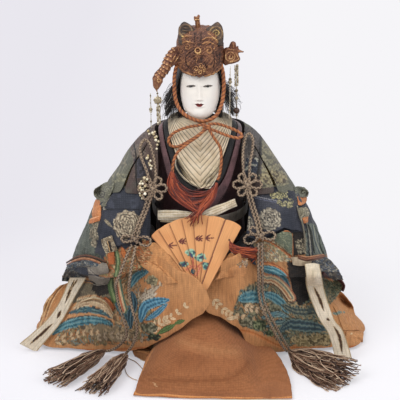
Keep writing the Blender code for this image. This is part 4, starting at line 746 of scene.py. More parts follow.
shoulderStrokes = {
    "left": [
        ("patch", [(112, 140), (150, 118), (170, 125), (166, 175), (132, 178), (134, 150)], ("#584842", "#6B5A52", "#463833"), 3.0),
        ("medallion", (138, 152), 7.5, ("#6E6258", "#4A3F39", "#85786A", "#3A312D")),
        ("patch", [(134, 158), (147, 158), (150, 176), (136, 178)], ("#37353B", "#45434A", "#2A282D"), 4.0),
        ("wave", [(128, 150), (121, 166), (113, 182)], 4.0, ("#6B6A5B", "#55564C", "#8A8672")),
        ("stripes", [(133, 140), (136, 156), (136, 176), (138, 190)], 0.8, ("#171513", "#26221F")),
        ("clump", (119, 178), (9, 4.5), ("#77745F", "#5C5D51", "#95907A")),
        ("clump", (124, 163), (5, 3.5), ("#6A6455", "#55564C", "#847D69")),
    ],
    "right": [
        ("patch", [(240, 125), (262, 130), (263, 178), (240, 178)], ("#4C4745", "#615A55", "#38342F"), 3.0),
        ("patch", [(246, 158), (258, 158), (259, 176), (244, 178)], ("#2A2D37", "#39404A", "#A7A596"), 2.2),
        ("stripes", [(261, 138), (260, 158), (258, 178)], 1.6, ("#14120F", "#2A2724", "#3B3935")),
        ("patch", [(262, 140), (272, 144), (285, 172), (290, 184), (262, 188)], ("#77725E", "#948C70", "#57534A"), 2.0),
        ("clump", (272, 178), (13, 7), ("#8A7F62", "#544B40", "#A79B79")),
        ("clump", (268, 160), (5, 8), ("#7F7A63", "#5E5C50", "#98907A")),
    ],
}
shoulderCloth = wovenCloth("grey brocade, gilt-paper weft", dyed=True, roughness=0.7, sheen=0.06, gilt=0.5, bump=0.45)
for side, other in (("left", -1), ("right", 1)):
    for node, name in (("shoulder_panel_" + side, side + "Shoulder"), ("jacket_front_" + side, side + "JacketFront")):
        panel = softCopy(node, name, 4)
        crumple(panel, [(0.0012, 0.022, (1, 1, 0.5), other * 6.1)])
        dyeAndShadePiece(panel, "#676658" if "Shoulder" in name else "#4E403C", shoulderStrokes[side], ("#55564C", 8))
        dress(panel, shoulderCloth, instead=[node], slotName="green_brocade")

back = softCopy("jacket_back", "jacketBack", 4)
crumple(back, [(0.0018, 0.030, (1, 1, 0.5), 7.7), (0.0005, 0.009, (1, 1, 1), 3.3)])
backStrokes = [("medallion", (cx, cy), 11, ("#7F745F", "#4F463C", "#9C9079", "#2E2A2A"))
               for cx, cy in ((160, 150), (200, 172), (240, 150), (166, 196), (234, 196))]
dyeAndShadePiece(back, "#4A4140", backStrokes, ("#5C5550", 14))
dress(back, shoulderCloth, instead=["jacket_back"], slotName="brown_brocade")
print("jacket and sleeves cut")

# Plain silks

purpleSilk = wovenCloth("dark purple silk, plain weave", "#5B3A3C", "#372426", roughness=0.62, sheen=0.2)
purpleTrim = wovenCloth("plum silk, plain weave", "#785457", "#4E3638", roughness=0.6, sheen=0.5)
navySilk = wovenCloth("black-navy silk, plain weave", "#262424", "#121010", roughness=0.62, sheen=0.1)
creamSilk = wovenCloth("cream silk, pleated and aged", "#D3BC98", "#A88F6C", roughness=0.75, sheen=0.2, slub=0.3)
ribbonSilk = wovenCloth("cream ribbon, stiffened silk", "#CDB995", "#9F8462", roughness=0.8, sheen=0.15, slub=0.5)
hakamaCloth = wovenCloth("brown-orange hakama cloth, plain weave", dyed=True, thread=0.8, roughness=0.85, sheen=0.1, slub=0.25, bump=0.25)
strawSheaf = wovenCloth("rice straw, bound", "#A88D58", "#6E5632", thread=1.6, roughness=0.8, sheen=0.0, slub=0.6, bump=0.9)
wadding = wovenCloth("cotton wadding, loose", "#6B4A32", "#4A3122", thread=2.2, roughness=0.95, sheen=0.3, slub=0.3, bump=0.6)
bandSilk = wovenCloth("cream silk band, stiffened", dyed=True, roughness=0.78, sheen=0.15, slub=0.25, bump=0.3)
liningSilk = wovenCloth("orange lining silk", "#D08A58", "#A55F38", roughness=0.65, sheen=0.3)
greySilk = wovenCloth("grey silk lining", "#9C9388", "#756C62", roughness=0.6, sheen=0.4)

for node, name, cloth, slotName, folds in (
    ("kimono_body", "kimonoBody", purpleSilk, "purple_silk", 0.0012),
    ("navy_collar", "navyCollar", navySilk, "navy_silk", 0.0004),
    ("purple_collar", "purpleCollar", purpleTrim, "purple_silk", 0.0004),
    ("sash_belt", "sashBelt", greySilk, "cream_band", 0.0005),
):
    piece = softCopy(node, name, 3)
    crumple(piece, [(folds, 0.028, (1, 1, 0.6), 1.1), (folds * 0.3, 0.008, (1, 1, 1), 2.9)])
    dress(piece, cloth, instead=[node], slotName=slotName)
for node, name, cloth, slotName in (
    ("straw_core", "strawCore", strawSheaf, "straw"),
    ("arm_left", "leftArm", strawSheaf, "straw"),
    ("arm_right", "rightArm", strawSheaf, "straw"),
    ("knee_roll", "kneeRoll", wadding, "cotton_wadding"),
):
    piece = softCopy(node, name, 2)
    crumple(piece, [(0.0012, 0.012, (1, 1, 0.5), 4.4)])
    dress(piece, cloth, instead=[node], slotName=slotName)
    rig.padded(piece, 0.8)
print("plain silks laid")


# Cloth built from rows of points

def even(path, step):
    # evenly spaced points along the smooth line through a path
    fine = [Vector(p) for p in flow(path, 24)]
    gone = [0.0]
    for a, b in zip(fine, fine[1:]):
        gone.append(gone[-1] + (b - a).length)
    count = max(int(gone[-1] / step), 2)
    points, at = [], 0
    for i in range(count + 1):
        want = gone[-1] * i / count
        while at < len(gone) - 2 and gone[at + 1] < want:
            at += 1
        share = (want - gone[at]) / max(gone[at + 1] - gone[at], 1e-9)
        points.append(fine[at].lerp(fine[at + 1], share))
    return points


def framesAlong(points):
    side = None
    for i, point in enumerate(points):
        forward = (points[min(i + 1, len(points) - 1)] - points[max(i - 1, 0)]).normalized()
        if side is None:
            side = forward.orthogonal().normalized()
        side = (side - forward * side.dot(forward)).normalized()
        yield point, side, forward.cross(side)


def pathLength(points):
    return sum((b - a).length for a, b in zip(points, points[1:]))


def meshPiece(name, corners, faces, grooves=None):
    mesh = bpy.data.meshes.new(name)
    mesh.from_pydata(corners, [], faces)
    if grooves is not None:
        layer = mesh.attributes.new("groove", "FLOAT", "POINT")
        layer.data.foreach_set("value", grooves)
    mesh.shade_smooth()
    piece = bpy.data.objects.new(name, mesh)
    bpy.context.scene.collection.objects.link(piece)
    return piece


def clothGrid(name, grid, thickness, closed=False):
    across = len(grid[0])
    corners = [tuple(point) for row in grid for point in row]
    faces = []
    for r in range(len(grid) - 1):
        for c in range(across - (0 if closed else 1)):
            d = (c + 1) % across
            faces.append((r * across + c, r * across + d, (r + 1) * across + d, (r + 1) * across + c))
    piece = meshPiece(name, corners, faces)
    selectOnly(piece)
    wall = piece.modifiers.new("cloth", "SOLIDIFY")
    wall.thickness = thickness
    wall.offset = 0
    bpy.ops.object.modifier_apply(modifier="cloth")
    piece.data.shade_smooth()
    return piece


def smoothPatch(table, across, down):
    wide = [flow(row, across) for row in table]
    columns = [flow(list(column), down) for column in zip(*wide)]
    return [list(row) for row in zip(*columns)]


def onPlane(u, v, y=None, z=None):
    # the place in the room behind a front-view drawing point, at a given depth or height
    rise = -(v - 200) / pixelLens
    run = Vector(((u - 200) / pixelLens, ahead.y + rise * upright.y, ahead.z + rise * upright.z))
    spot = Vector(studio["cameraSpot"])
    return spot + run * ((y - spot.y) / run.y if z is None else (z - spot.z) / run.z)


def seat(u, v, pieces, lift):
    # where a front-view drawing place meets the first of some pieces, with a little lift off it
    spot = Vector(studio["cameraSpot"])
    run = (onPlane(u, v, 0.0) - spot).normalized()
    best = None
    for piece in pieces:
        found, place, normal, _ = piece.ray_cast(spot, run)
        if found and (best is None or (place - spot).length < best[0]):
            best = ((place - spot).length, place + normal * lift)
    return best[1] if best else None


def namedPieces(names):
    return [bpy.data.objects[n] for n in names if n in bpy.data.objects]


def laidPlaces(table, carriers):
    # each place keeps a lift, in mm, in front of what lies behind it; past a silhouette it takes the depth at the silhouette;
    # a negative value is the depth itself
    rows = []
    for row in table:
        out = []
        for u, v, lift in row:
            if lift < 0:
                out.append(tuple(onPlane(u, v, lift)))
                continue
            inwards, shift = (1 if u < 200 else -1), 0.0
            spot = seat(u, v, carriers, 0.0)
            while spot is None and shift < 60:
                shift += 1.0
                spot = seat(u + inwards * shift, v, carriers, 0.0)
            out.append(tuple(onPlane(u, v, spot.y - lift * 0.001)))
        rows.append(out)
    return rows


def foldOf(name, table, carriers, ground, strokes, mottle, cloth, slotName, waves=0.0006, thickness=0.0008):
    piece = clothGrid(name, smoothPatch(laidPlaces(table, carriers), 16, 16), thickness)
    crumple(piece, [(waves, 0.011, (1, 1, 1), len(name) * 0.7), (waves * 0.3, 0.004, (1, 1, 1), 2.1)])
    dyeAndShadePiece(piece, ground, strokes, mottle)
    dress(piece, cloth, slotName=slotName)
    return piece


def rolledEdge(name, places, radius, carriers, ground, strokes, cloth, slotName, flat=0.7):
    # a padded lip of folded silk along the edge of a layer
    spots = laidPlaces([places], carriers)[0]
    rings = []
    route = even(spots, 0.0012)
    for i, (point, side, over) in enumerate(framesAlong(route)):
        share = i / (len(route) - 1)
        wide = radius * (0.35 + 0.65 * math.sin(math.pi * min(max(share, 0.06), 0.94)) ** 0.4)
        rings.append([tuple(point + side * math.cos(a) * wide + over * math.sin(a) * wide * flat) for a in [2 * math.pi * k / 14 for k in range(14)]])
    piece = clothGrid(name, rings, 0.0003, closed=True)
    dyeAndShadePiece(piece, ground, strokes, (strokes[0][-1][0], 3.0) if strokes else None)
    dress(piece, cloth, slotName=slotName)
    return piece


# Folds, curls, lips and linings over both sleeves

leftUnder = namedPieces(["leftSleeve", "leftFrontSleeve", "leftRobe", "leftShoulder"])
rightUnder = namedPieces(["rightSleeve", "rightFrontSleeve", "rightRobe", "rightShoulder"])

foldOf("leftCurl", [[(114, 181.5, 1), (107, 182.5, 3), (100, 185.4, 4), (95.4, 188.5, 2)], [(113.5, 187.5, 2), (106, 190.0, 5), (100, 192.2, 6), (93.8, 193.5, 2)],
                    [(108, 199.8, 1), (104.8, 199.2, 4), (100.6, 199.0, 5), (96.6, 198.4, 2)], [(106, 206, 0.6), (104, 206, 2), (102, 206.5, 2), (100.6, 207, 1)]],
       leftUnder, "#6A6858", [("tangle", [(92, 180), (116, 180), (112, 208), (92, 208)], ("#69685A", "#45443B", "#8A8874", "#77755F"), 2.6), ("spiral", (101.2, 193.6), 4.6, "#2B2720")],
       ("#56564B", 5), navyCloth, "navy_brocade")
foldOf("leftLiningHigh", [[(101.4, 198.4, 0.5), (98.2, 198.8, 2), (95.8, 199.6, 1)], [(101.2, 206, 0.5), (97.0, 206.4, 3.5), (93.2, 207.6, 1)], [(101.2, 213.4, 0.5), (96.6, 214.2, 3.5), (92.0, 214.6, 1)],
                          [(101, 217, 0.3), (97.4, 217.6, 1.5), (93.6, 217.4, 0.6)]],
       leftUnder, "#CB8656", [("stripes", [(95, 200), (93, 212)], 1.0, ("#E0A678", "#CB8656"))], ("#B56B3C", 4), robeCloth, "orange_brocade")
foldOf("leftLiningLow", [[(100.8, 215.6, 1), (95.8, 216.6, 3.4), (91.0, 218.4, 1)], [(100.2, 218.4, 1), (94.8, 219.6, 4), (89.2, 221.6, 1)], [(99.6, 220.4, 0.8), (94.6, 222.4, 2.4), (89.4, 223.8, 0.8)]],
       leftUnder, "#C98052", [("stripes", [(99, 216.4), (90, 219.6)], 0.7, ("#E5B084", "#C98052"))], ("#AD6238", 4), robeCloth, "orange_brocade")
foldOf("leftFlap", [[(101.4, 239.6, 1), (106.6, 237.2, 3), (111.8, 235.4, 2)], [(102.8, 246.2, 2), (108.6, 243.8, 4), (114.6, 242.6, 3)], [(105.8, 253.8, 1.6), (111.6, 251.6, 3), (117.6, 249.8, 2)]],
       leftUnder, "#A2917A", [("tangle", [(99, 233), (120, 233), (120, 256), (99, 256)], ("#9C8C74", "#4A3F33", "#CBBB9C", "#7E6B53"), 2.0),
                              ("patch", [(106.4, 242), (110.4, 240.6), (112.2, 251), (108.2, 252.4)], ("#2B231D", "#40352B"), 2.0),
                              ("stripes", [(107.4, 241.6), (110, 252)], 0.4, ("#C9A474", "#C9A474"))],
       ("#8A7860", 4), robeCloth, "cream_band", waves=0.0004)
foldOf("leftFlapLining", [[(107.6, 253, 0.6), (111, 252, 1.8), (114.4, 250.6, 1)], [(108.6, 258.6, 1), (111.6, 258.6, 2.6), (114.4, 257.6, 1.4)], [(109.6, 263.8, 1), (111.8, 264.2, 2), (113.8, 263.4, 1)]],
       leftUnder, "#B9683A", [], ("#97502B", 3), robeCloth, "orange_brocade")
foldOf("leftCuffLayer", [[(67.6, 264.4, 1), (78, 259.6, 3), (90, 259.0, 3), (104, 264, 2)], [(65.6, 269.4, 1), (77, 266.6, 3.4), (90, 266.6, 3.4), (101, 270, 2)],
                         [(62.6, 276.6, 1), (74, 276.4, 3), (86, 276.6, 3), (94, 279.2, 2)], [(62.0, 281.0, 0.6), (74, 281.6, 1.4), (86, 281.0, 1.4), (93, 283.2, 1)]],
       leftUnder, "#39404A", [("tangle", [(58, 255), (108, 255), (104, 280), (58, 282)], ("#3A414B", "#1B1D22", "#9A968A", "#53616B", "#6B6456"), 2.2)],
       ("#23262D", 3), navyCloth, "navy_brocade")
foldOf("leftGreyLining", [[(88, 265.6, 2), (97, 263.6, 4), (107, 263.8, 2)], [(88.4, 273, 2), (98, 272.4, 5), (109, 271.4, 3)], [(89.6, 280.6, 1.4), (99, 281.8, 4), (110, 278.8, 2)], [(92.6, 284.4, 1), (100, 285.6, 2), (108, 283.2, 1)]],
       leftUnder, "#8B8276", [("stripes", [(90, 270), (100, 277), (109, 275)], 1.6, ("#A89F92", "#6A6258", "#8B8276"))], ("#6E665B", 6), robeCloth, "cream_band", waves=0.0010)
# each lip's second colour, laid in a stripe a little below its middle, is painted shade on the underside of the lip
for i, (places, radius, colours) in enumerate((
    ([(67.4, 264.8, 3.4), (76, 260.2, 4.4), (85, 258.6, 4.8), (95, 260.8, 4.6), (104.6, 265.8, 3.2)], 0.00150, ("#C08A66", "#8A5A3E")),
    ([(66.8, 262.6, 2.4), (76, 257.6, 3.6), (86, 255.8, 4.0), (96, 258.0, 3.8), (105.4, 262.4, 2.6)], 0.00130, ("#6B4330", "#3F2A20")),
    ([(62.4, 276.4, 2.4), (70, 274.6, 3.4), (80, 274.8, 3.8), (90, 277.2, 3.0)], 0.00130, ("#A9805C", "#5A3D2A")),
)):
    rolledEdge(f"leftLip{i + 1}", places, radius, leftUnder, colours[0], [("stripes", [(p[0], p[1] + 0.6) for p in places], 0.7, (colours[1], colours[1]))], robeCloth, "brown_orange_cloth")
# each fold's second colour, laid in a stripe a little below its middle, is painted shade on the underside of the fold
for i, (places, radius, colours) in enumerate((
    ([(84, 300.8, 1.4), (92, 298.4, 2.6), (101, 300.0, 3), (107.6, 305.6, 2.4), (112.4, 314, 1.6)], 0.0014, ("#D9C4A0", "#9C7A54")),
    ([(104.6, 297.6, 2), (109.6, 302.6, 3.4), (113.2, 310, 2)], 0.0018, ("#B8683A", "#7D4526")),
)):
    rolledEdge(f"leftHemFold{i + 1}", places, radius, leftUnder, colours[0], [("stripes", [(p[0], p[1] + 0.8) for p in places], 0.8, (colours[1], colours[1]))], robeCloth, "orange_brocade")

foldOf("leftHem", [[(76, 281, 0.4), (68, 282.6, 1.6), (60.4, 285.6, 0.8)], [(71, 291, 0.4), (60.6, 292.4, 2.6), (50.6, 295, 1)], [(65, 302, 0.4), (54.6, 303.2, 2.6), (44.4, 305.4, 1)],
                   [(58, 313, 0.4), (50, 314.4, 2.2), (41.8, 317, 1)], [(50, 325, 0.3), (44.6, 326.2, 1.2), (38, 328.6, 0.4)]],
       leftUnder, "#BC8453", [("stripes", [(64, 282.6), (55.4, 292), (49.2, 303), (45.4, 314), (40.6, 326)], 2.6, ("#8A5F3B", "#D0AC7C", "#C08A58", "#7E5535", "#CFA77A")),
                              ("stripes", [(60.8, 286), (51.4, 295), (45.2, 305.4), (42.4, 317)], 0.8, ("#DDBE93", "#A46E42"))],
       ("#A06C40", 5), robeCloth, "orange_brocade", waves=0.0010)
foldOf("leftHemPool", [[(130, 342.5, -0.0350), (141, 343.5, -0.0370), (153, 344.5, -0.0380)], [(132, 347.6, -0.0540), (142, 350.8, -0.0658), (153, 353.2, -0.0712)],
                       [(133.6, 352.6, -0.0592), (143, 355.6, -0.0680), (153, 357.6, -0.0724)], [(135.4, 356.2, -0.0594), (143.5, 360.2, -0.0684), (152, 362.3, -0.0728)]],
       leftUnder, "#B07A4C", [("stripes", [(134, 351), (144, 352), (152, 351)], 1.4, ("#9A6238", "#C18A58", "#A86F42"))], ("#96623A", 8), robeCloth, "orange_brocade", waves=0.0008)
foldOf("leftRobeFold", [[(137, 246, 1), (146, 244, -0.0720), (154, 242.6, -0.0700), (162.0, 243.6, -0.0690)], [(136, 254, 1), (148, 252, -0.0770), (160, 252.4, -0.0760), (170.6, 254.6, -0.0750)],
                        [(140, 264, 1), (154, 261.6, 2), (168, 262.8, -0.0810), (179.2, 265.6, -0.0800)], [(152, 274, 1), (165, 272, 1.6), (177, 273.4, -0.0855), (186.6, 275.4, -0.0850)],
                        [(166, 284, 0.8), (176, 282.8, 1), (185.6, 282.8, -0.0895), (193.4, 284.4, -0.0890)]],
       leftUnder, "#C98F5C", [("stripes", [(161, 244), (170, 255), (178.6, 266), (186, 276), (193, 285)], 0.9, ("#A0673C", "#E0A873")),
                              ("tangle", [(134, 240), (147, 243), (153, 254), (147, 266), (134, 262)], ("#B8804E", "#5B4330", "#D4B184", "#B5683F", "#8E7B5F"), 2.6),
                              ("spray", [(150, 262), (158, 266), (168, 276)], 3, 3.4, 0.8, ("#B57A48", "#9A6238"))],
       ("#B97E4C", 8), robeCloth, "orange_brocade", waves=0.0008)
foldOf("rightCurlHigh", [[(293.6, 187.4, 0.6), (298.6, 186.4, 3), (304, 187.8, 2)], [(295, 192, 1), (300.6, 191.4, 5), (308, 192.2, 2)], [(296, 198, 0.8), (301.4, 197.4, 4), (307, 197.0, 1.4)]],
       rightUnder, "#6C6F62", [("tangle", [(292, 184), (310, 184), (310, 200), (292, 200)], ("#6C6F62", "#3E4038", "#959482", "#7F7D68"), 2.2), ("spiral", (303.6, 192.4), 3.6, "#2F2A22")],
       ("#55574C", 4), navyCloth, "navy_brocade")
foldOf("rightLiningHigh", [[(297.4, 196.4, 0.6), (301.8, 196.0, 2.6), (306.6, 195.8, 1)], [(297.8, 200.4, 0.6), (301.8, 200.6, 3), (306.4, 200.2, 1)], [(298.2, 205, 0.5), (301.6, 205.2, 2), (304.4, 203.8, 0.8)]],
       rightUnder, "#CB8656", [], ("#B06A3E", 3), robeCloth, "orange_brocade")
foldOf("rightCurlLow", [[(297.6, 208.6, 0.8), (302.4, 207.2, 3), (306.8, 207.6, 2)], [(298.6, 213.4, 1), (303.6, 212.0, 5), (309.4, 212.6, 2)], [(300.2, 219.6, 0.8), (304.6, 216.8, 4), (308.8, 216.6, 1.4)]],
       rightUnder, "#8C8470", [("tangle", [(295, 205), (311, 205), (311, 221), (295, 221)], ("#8C8470", "#4A463C", "#B3AA90", "#77735F"), 2.0)],
       ("#6F6A5A", 4), navyCloth, "navy_brocade")
foldOf("rightLiningLow", [[(301.2, 215.6, 0.8), (304.6, 214.8, 3), (308.6, 214.6, 1)], [(302.4, 219, 0.8), (305.2, 218.8, 3.2), (308.2, 218.4, 1)], [(303.6, 223.4, 0.5), (305.6, 223.2, 2), (307.4, 222, 0.8)]],
       rightUnder, "#C88455", [], ("#AB663B", 3), robeCloth, "orange_brocade")
foldOf("rightLappet", [[(270.6, 238.4, 2), (278, 233.6, 4), (285.4, 230.6, 3), (292.4, 233.4, 2)], [(277, 243, 3), (283, 240, 5), (288.6, 240, 4), (292.8, 241, 2)], [(284.6, 248.6, 2.6), (287.2, 247, 4), (290.2, 248, 3.4), (292.8, 249.6, 1.6)],
                       [(290.6, 255.6, 1.4), (291.4, 255.2, 2), (292.2, 255.4, 2), (293, 255.8, 1)]],
       rightUnder, "#6A7860", [("tangle", [(268, 228), (296, 228), (296, 258), (268, 258)], ("#6B705C", "#4E5444", "#87896F", "#626A5A"), 3.0),
                               ("stripes", [(270.6, 239.2), (280, 246.4), (291, 256)], 0.8, ("#C98556", "#A35F34")), ("stripes", [(284, 230.8), (292.8, 233.6), (293.2, 255)], 0.9, ("#A35F34", "#D09062"))],
       ("#57644D", 4), robeCloth, "green_brocade")
foldOf("rightGreyLining", [[(290.6, 257.6, 2), (298, 257.0, 3), (306, 257.4, 3), (312, 258.4, 2)], [(291.6, 261, 2.4), (298, 261.4, 4), (306, 261.6, 4), (311.6, 261.8, 2.4)], [(292.4, 264.6, 1.4), (298.4, 265.4, 2.4), (304.6, 265.4, 2.4), (309.6, 264.4, 1.4)]],
       rightUnder, "#B3A086", [], ("#94816A", 4), robeCloth, "cream_band")
foldOf("rightCuffLayer", [[(309.6, 259.0, 3), (318, 257.6, 4), (325.6, 256.8, 3)], [(314, 264.4, 3.4), (323, 264.6, 4.6), (333.6, 264.0, 3)], [(318.6, 271.4, 3), (328, 272.0, 4.2), (339.4, 271.6, 3)], [(322.6, 277.8, 1.6), (332, 279.6, 3), (343.2, 279.8, 2)]],
       rightUnder, "#333A47", [("tangle", [(306, 254), (346, 254), (346, 284), (306, 284)], ("#333A47", "#17191E", "#B0A994", "#5A6472", "#716A5A"), 2.2)],
       ("#1F2229", 3), navyCloth, "navy_brocade")
foldOf("rightGoldBrocade", [[(321.6, 277.4, 1.6), (331, 279.4, 2.8), (343, 281.2, 2)], [(322, 286.6, 1.6), (331, 287.6, 3), (342.6, 288.4, 2)], [(324, 296.6, 1.2), (332, 297.4, 2), (338.4, 293.6, 1.2)], [(326, 302.4, 0.8), (330.6, 302.6, 1), (334.4, 298.6, 0.8)]],
       rightUnder, "#66674F", [("tangle", [(318, 274), (346, 274), (346, 306), (318, 306)], ("#5F624C", "#2B2A22", "#8D8C6D", "#4B5A4B", "#97835E"), 2.4)],
       ("#46483A", 4), robeCloth, "green_brocade")
# each lip's second colour, laid in a stripe a little below its middle, is painted shade on the underside of the lip
for i, (places, radius, colours) in enumerate((
    ([(297.6, 257.6, 3), (305, 259.8, 4), (314, 258.6, 4.4), (325.6, 256.4, 3.4)], 0.00150, ("#8A5A40", "#4F2F22")),
    ([(298, 255.4, 2.6), (306, 257.4, 3.6), (315, 256.4, 4), (324.6, 254.6, 3)], 0.00110, ("#B98560", "#7A4A32")),
    ([(322.8, 273.2, 4), (332, 277.8, 4.6), (338.6, 279.2, 4.2), (343.8, 285.2, 3), (342.4, 291.0, 2)], 0.00190, ("#5C221C", "#361310")),
    ([(321.6, 274.6, 4.4), (327, 277.6, 5), (332.6, 280.6, 4.4)], 0.00140, ("#CF9E72", "#A06B42")),
    ([(297.2, 206, 1.6), (299.6, 216, 2.6), (302.6, 224, 3), (304.6, 236, 3), (305.6, 250, 2)], 0.00080, ("#B9AE98", "#6F6858")),
    ([(308.4, 224, 1.6), (311.4, 232, 2.6), (313, 242, 3), (314.6, 253, 2)], 0.00110, ("#7F8272", "#3A3E3C")),
    ([(314.6, 226.6, 1.6), (318.6, 236, 2.6), (320.8, 247, 2.6), (325, 256, 2)], 0.00120, ("#6D7468", "#3A4340")),
)):
    rolledEdge(f"rightLip{i + 1}", places, radius, rightUnder, colours[0], [("stripes", [(p[0], p[1] + 0.6) for p in places], 0.7, (colours[1], colours[1]))], robeCloth, "brown_orange_cloth")
foldOf("rightHem", [[(330, 299, 0.8), (335.6, 294.6, 2), (341, 291.2, 0.8)], [(334, 307, 0.8), (343, 301.4, 2.4), (351, 303.2, 0.8)], [(339, 318, 0.8), (348, 316, 2), (355.4, 316.6, 0.8)], [(343, 331, 0.4), (351, 330, 1.2), (358.4, 330.6, 0.4)]],
       rightUnder, "#C48C5B", [("stripes", [(333, 302), (341, 299), (346, 308), (350, 322)], 0.8, ("#B97A4E", "#D09A68")), ("wave", [(333, 314), (346, 312)], 1.6, ("#6F857A", "#55655E", "#93A091"))],
       ("#BA8050", 8), robeCloth, "orange_brocade", waves=0.0008)
foldOf("rightHemCorner", [[(346, 331, 0.8), (355, 331.4, 0.8), (362.8, 331, 0.2)], [(345, 337, 0.8), (355, 337.4, 0.6), (363.2, 337.4, -0.0300)], [(344, 341.6, 0.6), (354, 342.2, -0.0285), (362.8, 342.2, -0.0270)]],
       rightUnder, "#C48C5B", [("stripes", [(350, 332), (354, 342)], 0.8, ("#B97A4E", "#D09A68")), ("stripes", [(345, 341), (354, 341.6), (362.6, 341.6)], 0.8, ("#D79A66", "#A0673C"))], ("#BA8050", 8), robeCloth, "orange_brocade", waves=0.0006)
foldOf("rightRobeFold", [[(226.6, 255.6, -0.0780), (232, 252.6, -0.0785), (240, 250.6, -0.0800), (248, 251, -0.0785)], [(223.6, 263, -0.0820), (230, 259.6, -0.0830), (239, 258, -0.0850), (248, 259, -0.0835)],
                         [(219.6, 271.6, -0.0850), (227, 268.6, -0.0870), (237, 267, 1.2), (247, 268, 0.8)], [(215.6, 280, -0.0890), (223, 277.6, 1), (233, 276.4, 0.8), (243, 277, 0.5)]],
       rightUnder, "#C58A59", [("tangle", [(230, 248), (252, 246), (252, 268), (238, 266)], ("#A98055", "#5B4330", "#D4B99A", "#6F8280", "#B5683F", "#8E7B5F"), 2.6),
                               ("stripes", [(226.6, 256), (219.6, 272), (215.6, 280)], 0.7, ("#DDA678", "#9A6238"))],
       ("#AE7242", 7), robeCloth, "orange_brocade", waves=0.0008)
foldOf("rightBandTop", [[(304.8, 264.2, -0.0760), (312, 263.2, -0.0770), (319.2, 264.4, -0.0755)], [(305.4, 270, -0.0790), (313, 270, -0.0795), (320.6, 270.8, -0.0785)], [(306.2, 277, -0.0780), (314.4, 277.4, -0.0785), (322.0, 277.6, -0.0775)], [(306.7, 285.4, -0.0560), (314.9, 286.0, -0.0565), (323.3, 285.8, -0.0560)]],
       rightUnder, "#E2D4BC", [("stripes", [(305, 264), (307, 286)], 0.7, ("#BEA98A", "#BEA98A")), ("stripes", [(319.4, 264.6), (323.2, 286)], 0.7, ("#BEA98A", "#BEA98A"))],
       ("#CBB592", 8), robeCloth, "cream_band", waves=0.0003)
print("sleeve folds laid")


# The hakama panel, spread over the knees and out over the floor

hakama = {
    "thickness": 0.0016,
    "rows": [
        [(-0.046, -0.060, 0.010), (-0.034, -0.070, 0.033), (-0.012, -0.074, 0.055), (0.012, -0.074, 0.056), (0.034, -0.068, 0.038), (0.052, -0.058, 0.026), (0.066, -0.058, 0.016)],
        [(-0.0525, -0.078, 0.0065), (-0.037, -0.089, 0.025), (-0.013, -0.0985, 0.045), (0.012, -0.099, 0.047), (0.036, -0.090, 0.033), (0.058, -0.080, 0.017), (0.0765, -0.078, 0.010)],
        [(-0.056, -0.096, 0.004), (-0.040, -0.106, 0.015), (-0.014, -0.112, 0.032), (0.014, -0.113, 0.036), (0.038, -0.110, 0.027), (0.058, -0.100, 0.009), (0.083, -0.097, 0.006)],
        [(-0.0585, -0.113, 0.0035), (-0.042, -0.121, 0.006), (-0.014, -0.1245, 0.012), (0.014, -0.126, 0.016), (0.038, -0.124, 0.012), (0.058, -0.117, 0.004), (0.0855, -0.117, 0.0045)],
        [(-0.0605, -0.128, 0.0024), (-0.042, -0.132, 0.0024), (-0.014, -0.135, 0.0030), (0.014, -0.136, 0.0040), (0.038, -0.135, 0.0030), (0.060, -0.133, 0.0024), (0.0862, -0.134, 0.0024)],
        [(-0.0622, -0.1395, 0.0018), (-0.042, -0.1415, 0.0018), (-0.014, -0.1438, 0.0018), (0.014, -0.1455, 0.0020), (0.038, -0.146, 0.0018), (0.060, -0.146, 0.0018), (0.0858, -0.146, 0.0018)],
    ],
}
panel = clothGrid("hakamaPanel", smoothPatch(hakama["rows"], 14, 16), hakama["thickness"])
crumple(panel, [(0.0010, 0.030, (0.6, 1, 1), 1.1), (0.0003, 0.009, (1, 1, 1), 2.9)])
edge = [(155, 345), (146.7, 360), (134.2, 392.6), (165, 395.2), (200, 397.6), (292, 397.6), (292.4, 380), (287, 366), (279, 352)]
dyeAndShadePiece(panel, "#9F6640", [
    # a darker band along the crease under the knees: painted shadow of the crease
    ("stripes", [(150, 380), (200, 381), (232, 378), (248, 362)], 5, ("#97603B", "#8C5633", "#97603B")),
    # a lighter band across the top of the knees: painted highlight
    ("stripes", [(180, 341), (210, 350), (236, 352)], 7, ("#A36B44", "#A9724A", "#A36B44")),
    ("stripes", edge, 1.5, ("#C07A46", "#D08D55")),
    ("leaf", [(153, 382), (157, 387)], 0.9, ("#C79B72", "#8A5634")),
], ("#8B5532", 18))
dress(panel, hakamaCloth, instead=["hakama_panel"], slotName="brown_orange_cloth")

# Cream train bands with their slits, and the ribbon tied at the sash

bands = {
    "left": {
        "rows": [(69.7, 86.4, 277.6, 0, -0.030), (59.6, 72.6, 301.5, 0, -0.038), (44.0, 61.0, 322.5, 0, -0.043), (19.6, 36.2, 348.0, 4.2, -0.0465)],
        "slits": [([(74.6, 279), (65.0, 303.4)], 1.0), ([(78.0, 278.6), (70.2, 290)], 0.5), ([(61.3, 310), (56.9, 318.4)], 1.1), ([(53.0, 323.4), (29.7, 344.4)], 1.15)],
    },
    "right": {
        "rows": [(305.3, 319.3, 264.4, 0, -0.040), (306.4, 323.5, 286.5, 0, -0.051), (317.6, 334.0, 317.5, 1.0, -0.060), (328.0, 343.2, 332.4, -1.2, -0.0645), (334.4, 352.0, 357.0, 1.4, -0.0682)],
        "slits": [([(313.8, 286.7), (319.2, 298), (324.1, 311.5)], 1.15), ([(326.4, 318.2), (329.6, 320.7)], 1.0), ([(333.2, 325.5), (339.5, 337), (342.2, 353.8)], 1.2)],
    },
}
